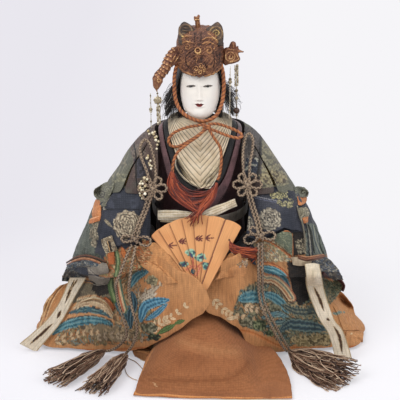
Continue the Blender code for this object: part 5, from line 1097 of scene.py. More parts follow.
for side, band in bands.items():
    table = []
    for left, right, v, slant, y in band["rows"]:
        near = [onPlane(left, v - slant, y), onPlane((left + right) / 2, v, y), onPlane(right, v + slant, y)]
        table.append([tuple(p) for p in near])
    strip = clothGrid(side + "TrainBand", smoothPatch(table, 14, 26), 0.0010)
    crumple(strip, [(0.0005, 0.022, (1, 1, 1), 6.1)])
    strokes = []
    left, right = [(r[0], r[2] - r[3]) for r in band["rows"]], [(r[1], r[2] + r[3]) for r in band["rows"]]
    for outline in (left, right):
        strokes.append(("stripes", outline, 0.8, ("#B39C79", "#B39C79")))
    for k in (0.25, 0.75):
        strokes.append(("stripes", [(a[0] * (1 - k) + b[0] * k, a[1] * (1 - k) + b[1] * k) for a, b in zip(left, right)], 0.6, ("#CDBBA0", "#E6D9C4")))
    # each slit is a darker rim round a dark middle: painted shade inside the slit
    for path, half in band["slits"]:
        strokes.append(("leaf", path, half + 0.6, ("#B79C78", "#A98D68")))
        strokes.append(("leaf", path, half, ("#4A3222", "#33211A")))
    dyeAndShadePiece(strip, "#E2D4BE", strokes, ("#C9B69C", 9))
    dress(strip, bandSilk, instead=["train_band_" + side], slotName="cream_band")

ribbonTable = {
    "sashLoop": [[(157.6, 210.8, -0.052), (158.2, 219.9, -0.054)], [(170, 210.0, -0.0555), (170.5, 220.4, -0.0565)], [(183.5, 210.6, -0.0585), (183.5, 219.2, -0.0595)],
                 [(192, 212.0, -0.0600), (192.2, 218.0, -0.0610)], [(200.5, 213.6, -0.0600), (200.5, 216.6, -0.0605)]],
    "sashTail": [[(200.0, 214.0, -0.0600), (200.2, 219.4, -0.0610)], [(207, 209.6, -0.0600), (208.2, 218.2, -0.0615)], [(219, 204.6, -0.0590), (221, 213.2, -0.0600)],
                 [(228, 201.2, -0.0565), (230, 209.2, -0.0575)], [(235.1, 198.7, -0.0540), (237.6, 205.6, -0.0550)]],
    "sashUnder": [[(160.5, 219.6, -0.0530), (160.6, 221.8, -0.0530)], [(172, 220.2, -0.0550), (172, 222.2, -0.0550)], [(184, 219.2, -0.0575), (184, 221.4, -0.0575)]],
}
for name, table in ribbonTable.items():
    rows = []
    for pair in table:
        top, low = (onPlane(u, v, y) for u, v, y in pair)
        rows.append([tuple(top), tuple(top.lerp(low, 0.5) + Vector((0, -0.0012, 0))), tuple(low)])
    strip = clothGrid(name, smoothPatch(rows, 10, 14), 0.0010)
    crumple(strip, [(0.0006, 0.014, (1, 1, 2), 2.3)])
    creases = []
    # each crease line is painted shade, deeper on one side of the pleat
    for k in (0.2, 0.45, 0.75):
        creases.append(("stripes", [(a[0] * (1 - k) + b[0] * k, a[1] * (1 - k) + b[1] * k) for a, b in table], 0.45, ("#A58E6C", "#DCCAA8")))
    dyeAndShadePiece(strip, "#E8DBC4", creases, ("#C6B295", 7))
    dress(strip, bandSilk, instead=["sash_ribbon"] if name == "sashLoop" else (), slotName="cream_band")
print("hakama, bands and sash laid")

# Inner sleeve ends, which hide the hands as they hold the fan

for side, other in (("left", -1), ("right", 1)):
    route = [(other * 0.0600, -0.034, 0.134), (other * 0.0500, -0.048, 0.125), (other * 0.0400, -0.060, 0.117), (other * 0.0300, -0.0685, 0.1115),
             (other * 0.0250, -0.0695, 0.1100), (other * 0.0205, -0.0700, 0.1090)]
    rings = []
    for i, (point, beside, over) in enumerate(framesAlong(even(route, 0.003))):
        wide = 0.0088 + 0.0010 * math.sin(i * 1.7)
        rings.append([tuple(point + beside * math.cos(a) * wide + over * math.sin(a) * wide * 0.72) for a in [2 * math.pi * k / 28 for k in range(28)]])
    cuff = clothGrid(side + "Cuff", rings, 0.0008, closed=True)
    crumple(cuff, [(0.0012, 0.010, (1, 1, 1), 1.7 + other)])
    dress(cuff, navySilk, slotName="navy_silk")

# Dark linings between the body and the sleeves, seen past the frog cords: black-navy sheets over the gaps there, dark
# as painted shade

for side, other in (("left", -1), ("right", 1)):
    table = [[(other * x, y, z) for x, y in ((0.0425, 0.0240), (0.0520, 0.0330), (0.0610, 0.0360), (0.0700, 0.0330))] for z in (0.100, 0.118, 0.135, 0.152)]
    lining = clothGrid(side + "Lining", smoothPatch(table, 8, 8), 0.0008)
    crumple(lining, [(0.0010, 0.012, (1, 1, 1), 2.7)])
    dress(lining, navySilk, slotName="navy_silk")

# Cream collars: narrow strips, shingled from the neck out and crossed at the middle

collars = {
    "points": [121.0, 125.5, 130.0, 134.5, 139.3, 144.2, 149.2, 154.2, 159.4, 164.6, 170.2, 176.4, 183.4, 190.8],
    "slope": 1.12,
    "sideStep": 0.00115,
    "halfWidth": 0.031, "front": 0.040, "foot": 0.171, "side": 0.232,
    "neckRadius": 0.0115,
}


def wrapPoint(lane, x):
    # a place on the crossed collars: lane 0 is at the neck and 1 at the navy collar
    half = collars["neckRadius"] + (collars["halfWidth"] - collars["neckRadius"]) * lane
    front = collars["neckRadius"] * 1.1 + (collars["front"] - collars["neckRadius"] * 1.1) * lane
    low = collars["side"] * 0.966 + (collars["foot"] - collars["side"] * 0.966) * lane
    high = collars["side"] * (1 - 0.021 * lane)
    share = min(abs(x) / half, 1.0)
    return front * (1 - share ** 2.5) ** 0.4, low + (high - low) * share ** (1.2 + 1.1 * lane)


def collarPlace(x, z):
    least = max((abs(x) - collars["neckRadius"]) / (collars["halfWidth"] - collars["neckRadius"]), 0.0)
    a, b = min(least, 1.0), 1.0
    for _ in range(26):
        middle = (a + b) / 2
        if wrapPoint(middle, x)[1] > z:
            a = middle
        else:
            b = middle
    return wrapPoint(a, x)[0]


def collarEdge(i, steps=26):
    # one strip's edge from the middle of the chest up to the side of the neck, then round behind it
    count = len(collars["points"]) - 1
    sideHalf = collars["halfWidth"] - (count - i) * collars["sideStep"]
    lane = (sideHalf - collars["neckRadius"]) / (collars["halfWidth"] - collars["neckRadius"])
    high = collars["side"] * (1 - 0.021 * lane)
    foot = collars["foot"] + (188.0 - collars["points"][i]) * 0.000935
    foot = min(foot, collars["side"] * 0.975)
    edge = []
    for k in range(steps + 1):
        w = (k / steps) ** 1.15
        z = foot + (high - foot) * w
        straight = (z - foot) / collars["slope"]
        rim = collars["halfWidth"] * (min(max((z - 0.171) / 0.0561, 0), 1.0)) ** (1 / 2.3) - (count - i) * collars["sideStep"]
        rim = max(rim, 0.002)
        near = (straight ** -5 + rim ** -5) ** -0.2 if straight > 0 else 0.0
        x = near * (1 - w ** 8) + sideHalf * w ** 8
        z = max(z, 0.1705 + 0.0561 * (x / 0.031) ** 3.0)
        edge.append(Vector((x, -collarPlace(x, z), z)))
    back = collars["halfWidth"] * 0.75 * (0.45 + 0.55 * lane)
    for k in range(1, 13):
        turn = math.pi / 2 * k / 12
        edge.append(Vector((sideHalf * math.cos(turn) ** 0.8 if k < 12 else 0.0, back * math.sin(turn) ** 0.8, high + 0.004 * math.sin(turn))))
    return edge


def collarStrips():
    corners, faces, tints = [], [], []
    edges = [collarEdge(i) for i in range(len(collars["points"]))]
    for side in (-1, 1):
        for i in range(len(edges) - 1):
            inner, outer = edges[i], edges[i + 1]
            first = len(corners)
            # each share gives a place across the strip, its lift and its painted shade, darkest at both edges where the
            # strips lap
            shares = ((0.0, 0.0002, 1.0), (0.0, 0.0012, 0.95), (0.07, 0.0013, 0.55), (0.13, 0.00135, 0.0), (0.55, 0.0011, 0.0), (0.88, 0.0005, 0.55), (1.02, 0.0002, 1.0))
            for k, (a, b) in enumerate(zip(inner, outer)):
                for share, lift, tint in shares:
                    point = a.lerp(b, share)
                    out = Vector((point.x * 20, point.y * 22 if point.y > 0 else -0.75, 0.55)).normalized()
                    point = point + out * (lift + (0.00035 if side < 0 else 0.0) * max(0, 1 - k / 5) + 0.0002)
                    if k == 0:
                        point.x -= 0.0010
                    corners.append((point.x * side, point.y, point.z))
                    tints.append(tint)
            width = len(shares)
            for k in range(len(inner) - 1):
                for j in range(width - 1):
                    quad = (first + k * width + j, first + k * width + j + 1, first + (k + 1) * width + j + 1, first + (k + 1) * width + j)
                    faces.append(quad if side > 0 else tuple(reversed(quad)))
    return meshPiece("creamCollars", corners, faces, tints)


def collarSilk():
    # cream silk gone tan; each strip is darker at its edges, a painted shadow where it tucks under the next
    material, tree, shader = newMaterial("cream silk, pleated strips")
    groove = addNode(tree, "ShaderNodeAttribute", attribute_name="groove")
    place = addNode(tree, "ShaderNodeTexCoord")
    fade = addNode(tree, "ShaderNodeTexNoise", {"Scale": 150.0, "Detail": 4.0}, {"Vector": (place, "Object")})
    ramp = colourRamp(tree, fade, [(0.3, "#D2BC9A"), (0.7, "#E9D9BF")])
    dark = addNode(tree, "ShaderNodeMapRange", {"From Min": 0.3, "From Max": 1.0, "To Min": 1.0, "To Max": 0.16}, {"Value": (groove, "Fac")})
    shaded = addNode(tree, "ShaderNodeVectorMath", links={0: (ramp, "Color"), 1: (dark, "Result")}, operation="MULTIPLY")
    tree.links.new(shaded.outputs["Vector"], shader.inputs["Base Color"])
    shader.inputs["Roughness"].default_value = 0.7
    shader.inputs["Sheen Weight"].default_value = 0.3
    threadsOfSilk = addNode(tree, "ShaderNodeTexNoise", {"Scale": 1400.0, "Detail": 2.0}, {"Vector": (place, "Object")})
    relief = addNode(tree, "ShaderNodeBump", {"Strength": 0.25, "Distance": 0.0002}, {"Height": (threadsOfSilk, "Fac")})
    tree.links.new(relief.outputs["Normal"], shader.inputs["Normal"])
    return material


strips = collarStrips()
dress(strips, collarSilk(), instead=["cream_collar_1", "cream_collar_2", "cream_collar_3", "cream_collar_4"], slotName="cream_silk")
collarUnder = namedPieces(["navyCollar", "purpleCollar", "kimonoBody", "creamCollars"])
# the broad rounded foot of the cream collars, where the lowest strips spread over the navy one
collarFeet = {
    "left": ([(159.5, 176.0, 179.6), (165.8, 175.4, 183.2), (172.1, 178.4, 187.8), (179.2, 184.2, 194.0), (184.4, 191.4, 198.4), (188.2, 199.0, 201.4)],
             [[(176.6, 163.2), (200.6, 188.6)], [(175.8, 168.2), (195.4, 187.2)], [(178.2, 174.6), (188.2, 183.4)]]),
    "right": ([(160.0, 218.6, 222.4), (166.0, 214.4, 221.0), (172.2, 210.0, 219.2), (179.2, 204.8, 216.0), (184.6, 201.8, 213.2), (188.4, 199.6, 210.0)],
              [[(221.4, 163.4), (199.4, 188.6)], [(220.6, 169.0), (203.6, 188.6)], [(218.6, 175.6), (208.0, 188.2)]]),
}
for side, (rows, lines) in collarFeet.items():
    table = [[(a, v, 2.0), ((a + b) / 2, v, 3.6), (b, v, 2.2)] for v, a, b in rows]
    outer = [(row[1] if side == "left" else row[2], row[0]) for row in rows]
    # the dark lines between the strips are painted shade, and the outer edge is a painted highlight with painted shade
    # beside it on the rounded edge
    strokes = [("stripes", line, 0.42, ("#7D6F59", "#5F5443")) for line in lines] + [("stripes", outer, 0.7, ("#EDE3CF", "#A79A83"))]
    foldOf(side + "CreamFoot", table, collarUnder, "#D9C8A9", strokes, ("#BCAA8B", 3), bandSilk, "cream_silk", waves=0.0002, thickness=0.0006)
print("collars crossed")

# Cords and threads

def rope(name, path, radius, kind="twist", pitch=0.0042, step=0.0007, sides=12):
    # silk cord: two plies twisted, or four plies braided, with the plies standing out of its surface
    corners, faces, grooves = [], [], []
    points = even(path, step)
    gone = 0.0
    for i, (point, side, over) in enumerate(framesAlong(points)):
        if i:
            gone += (point - points[i - 1]).length
        phase = 2 * math.pi * gone / pitch
        for k in range(sides):
            angle = 2 * math.pi * k / sides
            if kind == "twist":
                ply = abs(math.cos(angle - phase / 2)) ** 0.7
            else:
                ply = max(abs(math.cos(angle - phase / 2)), abs(math.cos(angle + phase / 2))) * 2 - 1
            reach = radius * (0.80 + 0.20 * ply)
            corners.append(point + side * math.cos(angle) * reach + over * math.sin(angle) * reach)
            grooves.append(ply)
    rings = len(points)
    for i in range(rings - 1):
        for k in range(sides):
            m = (k + 1) % sides
            faces.append((i * sides + k, i * sides + m, (i + 1) * sides + m, (i + 1) * sides + k))
    faces.append(tuple(reversed(range(sides))))
    faces.append(tuple(range((rings - 1) * sides, rings * sides)))
    piece = meshPiece(name, corners, faces, grooves)
    return piece, points


def threads(name, paths, radius, sides=4, points=9, thin=0.6, seed=1):
    # many separate threads in one piece, each with its own tint
    random.seed(seed)
    corners, faces, tints = [], [], []
    for path in paths:
        fine = even(path, 1.0)
        fine = [Vector(p) for p in flow(path, 4)]
        tint = random.random()
        first = len(corners)
        for i, (point, side, over) in enumerate(framesAlong(fine)):
            reach = radius * (1 - (1 - thin) * (i / (len(fine) - 1)) ** 2)
            for k in range(sides):
                angle = 2 * math.pi * k / sides
                corners.append(point + side * math.cos(angle) * reach + over * math.sin(angle) * reach)
                tints.append(tint)
        for i in range(len(fine) - 1):
            for k in range(sides):
                m = (k + 1) % sides
                faces.append((first + i * sides + k, first + i * sides + m, first + (i + 1) * sides + m, first + (i + 1) * sides + k))
        faces.append(tuple(first + k for k in reversed(range(sides))))
        faces.append(tuple(first + (len(fine) - 1) * sides + k for k in range(sides)))
    return meshPiece(name, corners, faces, tints)


def silkCord(name, stops, roughness=0.6, sheen=0.3, spread=150.0):
    # the tint runs from the groove colour to the crest colour, with a slow fade along the silk; on the twisted and
    # braided cords that is painted shade between the plies and a painted highlight on their crests, and on loose
    # threads a tint that differs from thread to thread
    material, tree, shader = newMaterial(name)
    groove = addNode(tree, "ShaderNodeAttribute", attribute_name="groove")
    place = addNode(tree, "ShaderNodeTexCoord")
    fade = addNode(tree, "ShaderNodeTexNoise", {"Scale": spread, "Detail": 3.0}, {"Vector": (place, "Object")})
    mixed = addNode(tree, "ShaderNodeMath", {1: 0.9, 2: -0.45}, {0: (fade, "Fac")}, operation="MULTIPLY_ADD")
    total = addNode(tree, "ShaderNodeMath", links={0: (mixed, "Value"), 1: (groove, "Fac")}, operation="ADD")
    ramp = colourRamp(tree, total, stops, "Value")
    tree.links.new(ramp.outputs["Color"], shader.inputs["Base Color"])
    shader.inputs["Roughness"].default_value = roughness
    shader.inputs["Sheen Weight"].default_value = sheen
    fibres = addNode(tree, "ShaderNodeTexNoise", {"Scale": 2600.0, "Detail": 2.0}, {"Vector": (place, "Object")})
    relief = addNode(tree, "ShaderNodeBump", {"Strength": 0.3, "Distance": 0.0002}, {"Height": (fibres, "Fac")})
    tree.links.new(relief.outputs["Normal"], shader.inputs["Normal"])
    return material


# on the two cords below, the first stop is the painted shade between the plies and the last the painted highlight on
# their crests
redSilk = silkCord("rust-red silk cord, twisted", [(0.0, "#2E1109"), (0.45, "#763B1C"), (1.0, "#AE6B39")], sheen=0.05)
redThread = silkCord("red silk thread, loose", [(0.0, "#3E0D07"), (0.5, "#782711"), (1.0, "#AC5129")], sheen=0.05, spread=60.0)
brownSilk = silkCord("brown silk cord, braided", [(0.0, "#271B13"), (0.5, "#655141"), (1.0, "#97826A")], sheen=0.05, spread=90.0)
brownThread = silkCord("brown silk thread, cut", [(0.0, "#301D15"), (0.5, "#77553F"), (1.0, "#CBB095")], sheen=0.05, spread=60.0)

chinRoute = [(-0.0200, -0.0135, 0.2915), (-0.0226, -0.0150, 0.2850), (-0.0243, -0.0158, 0.2765), (-0.0246, -0.0160, 0.2676), (-0.0234, -0.0175, 0.2541),
             (-0.0188, -0.021, 0.2442), (-0.0103, -0.025, 0.2381), (-0.0012, -0.0258, 0.2349), (0.0072, -0.0258, 0.2352),
             (0.0148, -0.025, 0.2394), (0.0198, -0.021, 0.2471), (0.0222, -0.0175, 0.2572), (0.0228, -0.016, 0.2676),
             (0.0222, -0.0150, 0.2779), (0.0206, -0.0140, 0.2850), (0.0186, -0.0130, 0.2915)]
bowRoutes = {
    "bowLeftLoop": [(0.0055, -0.0316, 0.2330), (-0.0030, -0.0290, 0.2312), (-0.0136, -0.0250, 0.2278), (-0.0251, -0.0240, 0.2224),
                    (-0.0302, -0.0254, 0.2160), (-0.0281, -0.0268, 0.2105), (-0.0212, -0.0295, 0.2103), (-0.0121, -0.0300, 0.2151),
                    (-0.0030, -0.0320, 0.2215), (0.0058, -0.0343, 0.2292)],
    "bowRightLoop": [(0.0078, -0.0313, 0.2332), (0.0166, -0.0270, 0.2322), (0.0273, -0.0265, 0.2287), (0.0371, -0.0275, 0.2243),
                     (0.0401, -0.0310, 0.2214), (0.0355, -0.0330, 0.2200), (0.0242, -0.0310, 0.2225), (0.0136, -0.0320, 0.2272),
                     (0.0078, -0.0343, 0.2294)],
    "bowLeftEnd": [(0.0062, -0.0328, 0.2309), (-0.0010, -0.0362, 0.2236), (-0.0121, -0.0345, 0.2147), (-0.0211, -0.0375, 0.2075),
                   (-0.0254, -0.0410, 0.1983), (-0.0263, -0.0450, 0.1875)],
    "bowRightEnd": [(0.0074, -0.0328, 0.2309), (0.0130, -0.0355, 0.2215), (0.0193, -0.0355, 0.2111), (0.0204, -0.0400, 0.1999),
                    (0.0193, -0.0440, 0.1901), (0.0169, -0.0475, 0.1823)],
}

chin, chinPoints = rope("chinCord", chinRoute, 0.0019)
dress(chin, redSilk, "head", ["chin_cord"], "red_silk")
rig.cord(chin, chinRoute[0], pathLength(chinPoints), 0.0038, "object", "limp", "taut", path=chinPoints[::6] + [chinPoints[-1]])

bowPieces = []
for name, route in bowRoutes.items():
    piece, points = rope(name, route, 0.0015)
    dress(piece, redSilk, "head", slotName="red_silk")
    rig.cord(piece, route[0], pathLength(points), 0.003, "knot" if "Loop" in name else "object", "limp", "hanging",
            path=points[::5] + [points[-1]])
    bowPieces.append(piece)
knotTurns = [(0.0067 + 0.0032 * math.cos(a) * (1 - 0.1 * i), -0.0325 - 0.0026 * math.sin(a), 0.2313 + 0.0016 * math.cos(a * 0.5 + i) - 0.0008 * i)
             for i in range(2) for a in [k * 0.7 + i for k in range(9)]]
knot, points = rope("bowKnot", knotTurns, 0.0015)
dress(knot, redSilk, "head", ["cord_bow"], "red_silk")
print("bow tied")

# The chin tassel: loose red threads from both cord ends, gathered over the sash

def strayPaths(spine, count, spread, seed, droop=0.0, lengths=(0.8, 1.0), flat=1.0, low=0.0008):
    random.seed(seed)
    spine = even(spine, 0.004)
    paths = []
    for n in range(count):
        angle, out = random.uniform(0, 2 * math.pi), math.sqrt(random.random())
        wobble = [random.uniform(-1, 1) for _ in range(6)]
        end = int(len(spine) * random.uniform(*lengths))
        path = []
        for i, (point, side, over) in enumerate(framesAlong(spine[:max(end, 3)])):
            t = i / (len(spine) - 1)
            wide = spread(t)
            turn = angle + wobble[0] * t * 1.5
            place = point + (side * math.cos(turn) + over * math.sin(turn) * flat) * out * wide
            place += Vector((wobble[1] * math.sin(7 * t + wobble[2] * 3), wobble[3] * math.sin(6 * t + wobble[4] * 3), 0)) * 0.0011 * t
            place.z = max(place.z - droop * t * t * abs(wobble[5]), low)
            path.append(tuple(place))
        paths.append(path[::2] + [path[-1]] if len(path) > 6 else path)
    return paths


def chestDepth(v):
    return -0.0475 - 0.0175 * min(max((v - 172) / 42, 0), 1)


def laidThreads(families, seed):
    # each family: starting place, middle places, end place, count, and how far the threads stray at each
    random.seed(seed)
    paths = []
    for places, count, stray in families:
        for _ in range(count):
            aside, along = random.gauss(0, 1), random.gauss(0, 1)
            path = []
            for (u, v), loose in zip(places, stray):
                u, v = u + aside * loose + random.gauss(0, 0.25) * loose, v + along * loose * 0.6 + random.gauss(0, 0.25) * loose
                path.append(tuple(onPlane(u, v, chestDepth(v) - random.uniform(0, 0.0022) - 0.0035 * (v > 214.5))))
            paths.append(path)
    return paths


threadFamilies = [
    ([(172.4, 171.5), (171.5, 182), (176, 193), (187, 203), (199.5, 212.5)], 52, (0.5, 1.6, 2.6, 2.2, 0.9)),
    ([(173.0, 173), (176.0, 186), (184, 195), (193, 204), (201, 211)], 26, (0.5, 1.8, 2.6, 2.2, 1.4)),
    ([(216.4, 183), (213.8, 191), (209, 199), (203, 207), (198.5, 213.5)], 46, (0.5, 1.3, 1.8, 1.8, 1.0)),
    ([(172.5, 178), (182, 190), (193, 195), (206, 193), (214.5, 187)], 16, (0.8, 2.4, 2.6, 2.2, 1.0)),
    ([(174, 186), (184, 199), (194, 202), (204, 199.5), (210, 195)], 14, (1.2, 2.2, 2.4, 2.0, 1.2)),
    ([(203, 204), (199, 210), (195.5, 216), (193, 221.5)], 22, (1.4, 1.6, 2.6, 4.4)),
]
hang = threads("chinTassel", laidThreads(threadFamilies, 5), 0.00056, thin=0.85)
dress(hang, redThread, "head", ["chin_tassel"], "red_silk")

# Frog cords: shoulder loops, flower knots, twin cords, falls and floor tassels

frogRoutes = {
    "left": {
        "loop": [(-0.0431, -0.0563, 0.1790), (-0.0420, -0.0518, 0.1890), (-0.0430, -0.0458, 0.1985), (-0.0455, -0.0378, 0.2080),
                 (-0.0495, -0.0288, 0.2150), (-0.0545, -0.0248, 0.2150), (-0.0575, -0.0323, 0.2090), (-0.0555, -0.0418, 0.2020),
                 (-0.0505, -0.0498, 0.1920), (-0.0469, -0.0563, 0.1790)],
        "knot": (-0.0450, -0.0568, 0.1770),
        "middle": [(-0.0453, -0.0573, 0.1757), (-0.0490, -0.0613, 0.1660), (-0.0515, -0.0643, 0.1590), (-0.0565, -0.0693, 0.1480),
                   (-0.0600, -0.0733, 0.1400), (-0.0615, -0.0753, 0.1350)],
        "lowerKnot": (-0.0620, -0.0763, 0.1335),
    },
    "right": {
        "loop": [(0.0431, -0.0545, 0.1820), (0.0415, -0.0505, 0.1910), (0.0408, -0.0435, 0.2010), (0.0415, -0.0350, 0.2100),
                 (0.0440, -0.0250, 0.2185), (0.0480, -0.0205, 0.2205), (0.0510, -0.0260, 0.2155), (0.0500, -0.0360, 0.2075),
                 (0.0475, -0.0455, 0.1970), (0.0469, -0.0545, 0.1820)],
        "knot": (0.0450, -0.0550, 0.1800),
        "middle": [(0.0453, -0.0557, 0.1787), (0.0475, -0.0600, 0.1690), (0.0500, -0.0635, 0.1610), (0.0540, -0.0690, 0.1500),
                   (0.0560, -0.0725, 0.1425), (0.0568, -0.0745, 0.1380)],
        "lowerKnot": (0.0570, -0.0755, 0.1365),
    },
}
fallRoutes = {
    "fall_left_outer": [(-0.0642, -0.0788, 0.1288), (-0.0685, -0.0825, 0.1210), (-0.0720, -0.0855, 0.1120), (-0.0760, -0.0880, 0.1020),
                        (-0.0795, -0.0865, 0.0920), (-0.0800, -0.0785, 0.0800), (-0.0785, -0.0745, 0.0650), (-0.0730, -0.0775, 0.0480),
                        (-0.0715, -0.0765, 0.0330), (-0.0790, -0.0705, 0.0190), (-0.0880, -0.0645, 0.0105), (-0.0950, -0.0595, 0.0070)],
    "fall_left_inner": [(-0.0607, -0.0790, 0.1284), (-0.0625, -0.0835, 0.1200), (-0.0645, -0.0875, 0.1110), (-0.0660, -0.0900, 0.1000),
                        (-0.0675, -0.0860, 0.0880), (-0.0675, -0.0815, 0.0770), (-0.0650, -0.0825, 0.0630), (-0.0610, -0.0835, 0.0470),
                        (-0.0620, -0.0805, 0.0330), (-0.0670, -0.0755, 0.0200), (-0.0735, -0.0700, 0.0090)],
    "fall_right_inner": [(0.0553, -0.0785, 0.1305), (0.0552, -0.0825, 0.1230), (0.0552, -0.0875, 0.1100), (0.0555, -0.0865, 0.0980),
                         (0.0560, -0.0835, 0.0840), (0.0580, -0.0840, 0.0710), (0.0620, -0.0835, 0.0600), (0.0675, -0.0800, 0.0470),
                         (0.0735, -0.0750, 0.0330), (0.0805, -0.0675, 0.0180), (0.0860, -0.0620, 0.0080)],
    "fall_right_outer": [(0.0588, -0.0785, 0.1305), (0.0588, -0.0825, 0.1230), (0.0588, -0.0875, 0.1100), (0.0591, -0.0860, 0.0980),
                         (0.0596, -0.0830, 0.0840), (0.0616, -0.0825, 0.0715), (0.0655, -0.0815, 0.0610), (0.0710, -0.0775, 0.0480),
                         (0.0768, -0.0720, 0.0340), (0.0838, -0.0645, 0.0190), (0.0892, -0.0597, 0.0080)],
}
flowerPetals = [(55, 0.85), (125, 0.85), (3, 0.95), (177, 0.95), (-50, 0.85), (-130, 0.85)]
butterflyPetals = {"left": [(-12, 1.15), (178, 0.85)], "right": [(198, 1.15), (0, 1.0), (142, 0.8)]}
knotUp = Vector((0, 0.35, 0.94)).normalized()
knotOut = Vector((0, -0.94, 0.35)).normalized()


def tieKnot(name, centre, petals):
    # each petal is a loop of cord; a small crossed turn of cord covers the middle
    parts = []
    for i, (degrees, share) in enumerate(petals):
        turn = math.radians(degrees)
        away = Vector((math.cos(turn), 0, 0)) + knotUp * math.sin(turn)
        beside = knotOut.cross(away)
        lift = knotOut * 0.0007 * (i % 3)
        reach, wide = 0.0118 * share, 0.0046 * share
        path = []
        for k in range(13):
            t = 2 * math.pi * k / 12
            path.append(tuple(centre + lift + away * (0.0022 + reach * (1 - math.cos(t)) / 2) + beside * wide * math.sin(t)
                              * (0.55 + 0.45 * (1 - math.cos(t)) / 2)))
        parts.append(rope(f"{name}Petal{i + 1}", path, 0.00125, "braid", 0.0036, 0.0006, 10)[0])
    for i, degrees in enumerate((35, 125)):
        turn = math.radians(degrees)
        away = Vector((math.cos(turn), 0, 0)) + knotUp * math.sin(turn)
        path = [tuple(centre + away * 0.0046 * s + knotOut * (0.0026 + 0.0008 * i - 0.0022 * abs(s) ** 2)) for s in (-1, -0.5, 0, 0.5, 1)]
        parts.append(rope(f"{name}Cross{i + 1}", path, 0.0015, "braid", 0.0036, 0.0006, 10)[0])
    return parts


def joined(parts, name):
    selectOnly(parts[0])
    for part in parts:
        part.select_set(True)
    bpy.ops.object.join()
    parts[0].name = name
    return parts[0]


for side, routes in frogRoutes.items():
    loop, points = rope(side + "ShoulderLoop", routes["loop"], 0.0014, "braid", 0.0036)
    dress(loop, brownSilk, slotName="brown_braid")
    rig.cord(loop, routes["loop"][0], pathLength(points), 0.0028, "knot", "limp", "hanging", path=points[::5] + [points[-1]])
    for i, shift in enumerate((-1, 1)):
        route = [(x + shift * 0.0016, y, z) for x, y, z in routes["middle"]]
        twin, points = rope(f"{side}TwinCord{i + 1}", route, 0.0014, "braid", 0.0036)
        dress(twin, brownSilk, slotName="brown_braid")
        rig.cord(twin, route[0], pathLength(points), 0.0028, "knot", "limp", "hanging", path=points[::5] + [points[-1]])
    parts = tieKnot(side + "Flower", Vector(routes["knot"]), flowerPetals)
    parts += tieKnot(side + "Butterfly", Vector(routes["lowerKnot"]), butterflyPetals[side])
    frog = joined(parts, side + "FrogKnots")
    dress(frog, brownSilk, instead=["frog_" + side], slotName="brown_braid")

for node, route in fallRoutes.items():
    words = node.split("_")
    fall, points = rope(words[1] + words[2].title() + "Fall", route, 0.0014, "braid", 0.0036)
    dress(fall, brownSilk, instead=[node], slotName="brown_braid")
    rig.cord(fall, route[0], pathLength(points), 0.0028, "object", "limp", "hanging", path=points[::6] + [points[-1]])

tasselSpines = {
    "tassel_left_outer": ([(-0.0950, -0.0595, 0.0070), (-0.1060, -0.0740, 0.0070), (-0.1220, -0.0950, 0.0060), (-0.1420, -0.1200, 0.0050)], 1.0, 230),
    "tassel_left_inner": ([(-0.0735, -0.0700, 0.0085), (-0.0810, -0.0880, 0.0075), (-0.0920, -0.1140, 0.0060), (-0.1030, -0.1390, 0.0050)], 1.0, 210),
    "tassel_right": ([(0.0886, -0.0620, 0.0080), (0.1010, -0.0780, 0.0070), (0.1200, -0.1000, 0.0060), (0.1410, -0.1220, 0.0050)], 1.6, 270),
}
# single threads that have come away and lie on the floor
looseEnds = {
    "tassel_left_inner": [[(-0.0735, -0.0700, 0.0060), (-0.0690, -0.0660, 0.0012), (-0.0640, -0.0700, 0.0008), (-0.0590, -0.0790, 0.0008), (-0.0560, -0.0860, 0.0008)],
                          [(-0.0740, -0.0700, 0.0060), (-0.0735, -0.0830, 0.0008), (-0.0700, -0.0980, 0.0008), (-0.0640, -0.1060, 0.0008), (-0.0600, -0.1085, 0.0008)],
                          [(-0.0740, -0.0700, 0.0070), (-0.0860, -0.0760, 0.0010), (-0.0960, -0.0900, 0.0008), (-0.1010, -0.1080, 0.0008)]],
    "tassel_right": [[(0.0886, -0.0620, 0.0060), (0.1100, -0.0680, 0.0010), (0.1300, -0.0640, 0.0008), (0.1480, -0.0540, 0.0008)]],
}
for i, (node, (spine, wide, count)) in enumerate(tasselSpines.items()):
    words = node.split("_")
    name = words[1] + (words[2].title() if len(words) > 2 else "") + "Tassel"
    paths = strayPaths(spine, count, lambda t, wide=wide: 0.0020 + 0.0080 * min(t * 4, 1) + 0.010 * wide * t, 11 + i, droop=0.002, lengths=(0.72, 1.0), flat=0.6)
    random.seed(70 + i)
    for path in paths:
        sway, turn = random.uniform(-1, 1) * 0.0022, random.uniform(0, 6)
        for k in range(1, len(path)):
            x, y, z = path[k]
            path[k] = (x + sway * math.sin(k * 1.6 + turn), y + sway * math.cos(k * 1.3 + turn), z)
    paths += looseEnds.get(node, [])
    tassel = threads(name, paths, 0.00046, thin=0.95, seed=i)
    dress(tassel, brownThread, instead=[node], slotName="brown_braid")
print("cords and tassels laid")

# The head: white shell lacquer over carved wood, with its small carved features

head = {
    "halfWidth": 0.0192, "halfDepth": 0.0215, "height": 0.056, "chin": 0.235, "centre": -0.004, "neck": 0.0080, "neckFoot": 0.2123,
    "rings": [(0.22, 0.84, -0.62, 0.00), (0.55, 0.94, -0.25, 0.06), (0.76, 0.99, 0.05, 0.14), (0.91, 1.01, 0.50, 0.26), (0.98, 1.02, 0.82, 0.39),
              (1.00, 1.02, 0.97, 0.52), (0.99, 0.99, 1.00, 0.66), (0.93, 0.88, 0.95, 0.78), (0.76, 0.68, 0.76, 0.89), (0.44, 0.36, 0.40, 0.97), (0.12, 0.08, 0.10, 1.00)],
    "middle": -0.0006, "eyeLevel": 0.590, "eyeOut": 0.0080, "eyeHalf": 0.0043, "noseLevel": 0.385, "mouthLevel": 0.280, "mouthHalf": 0.0044,
}


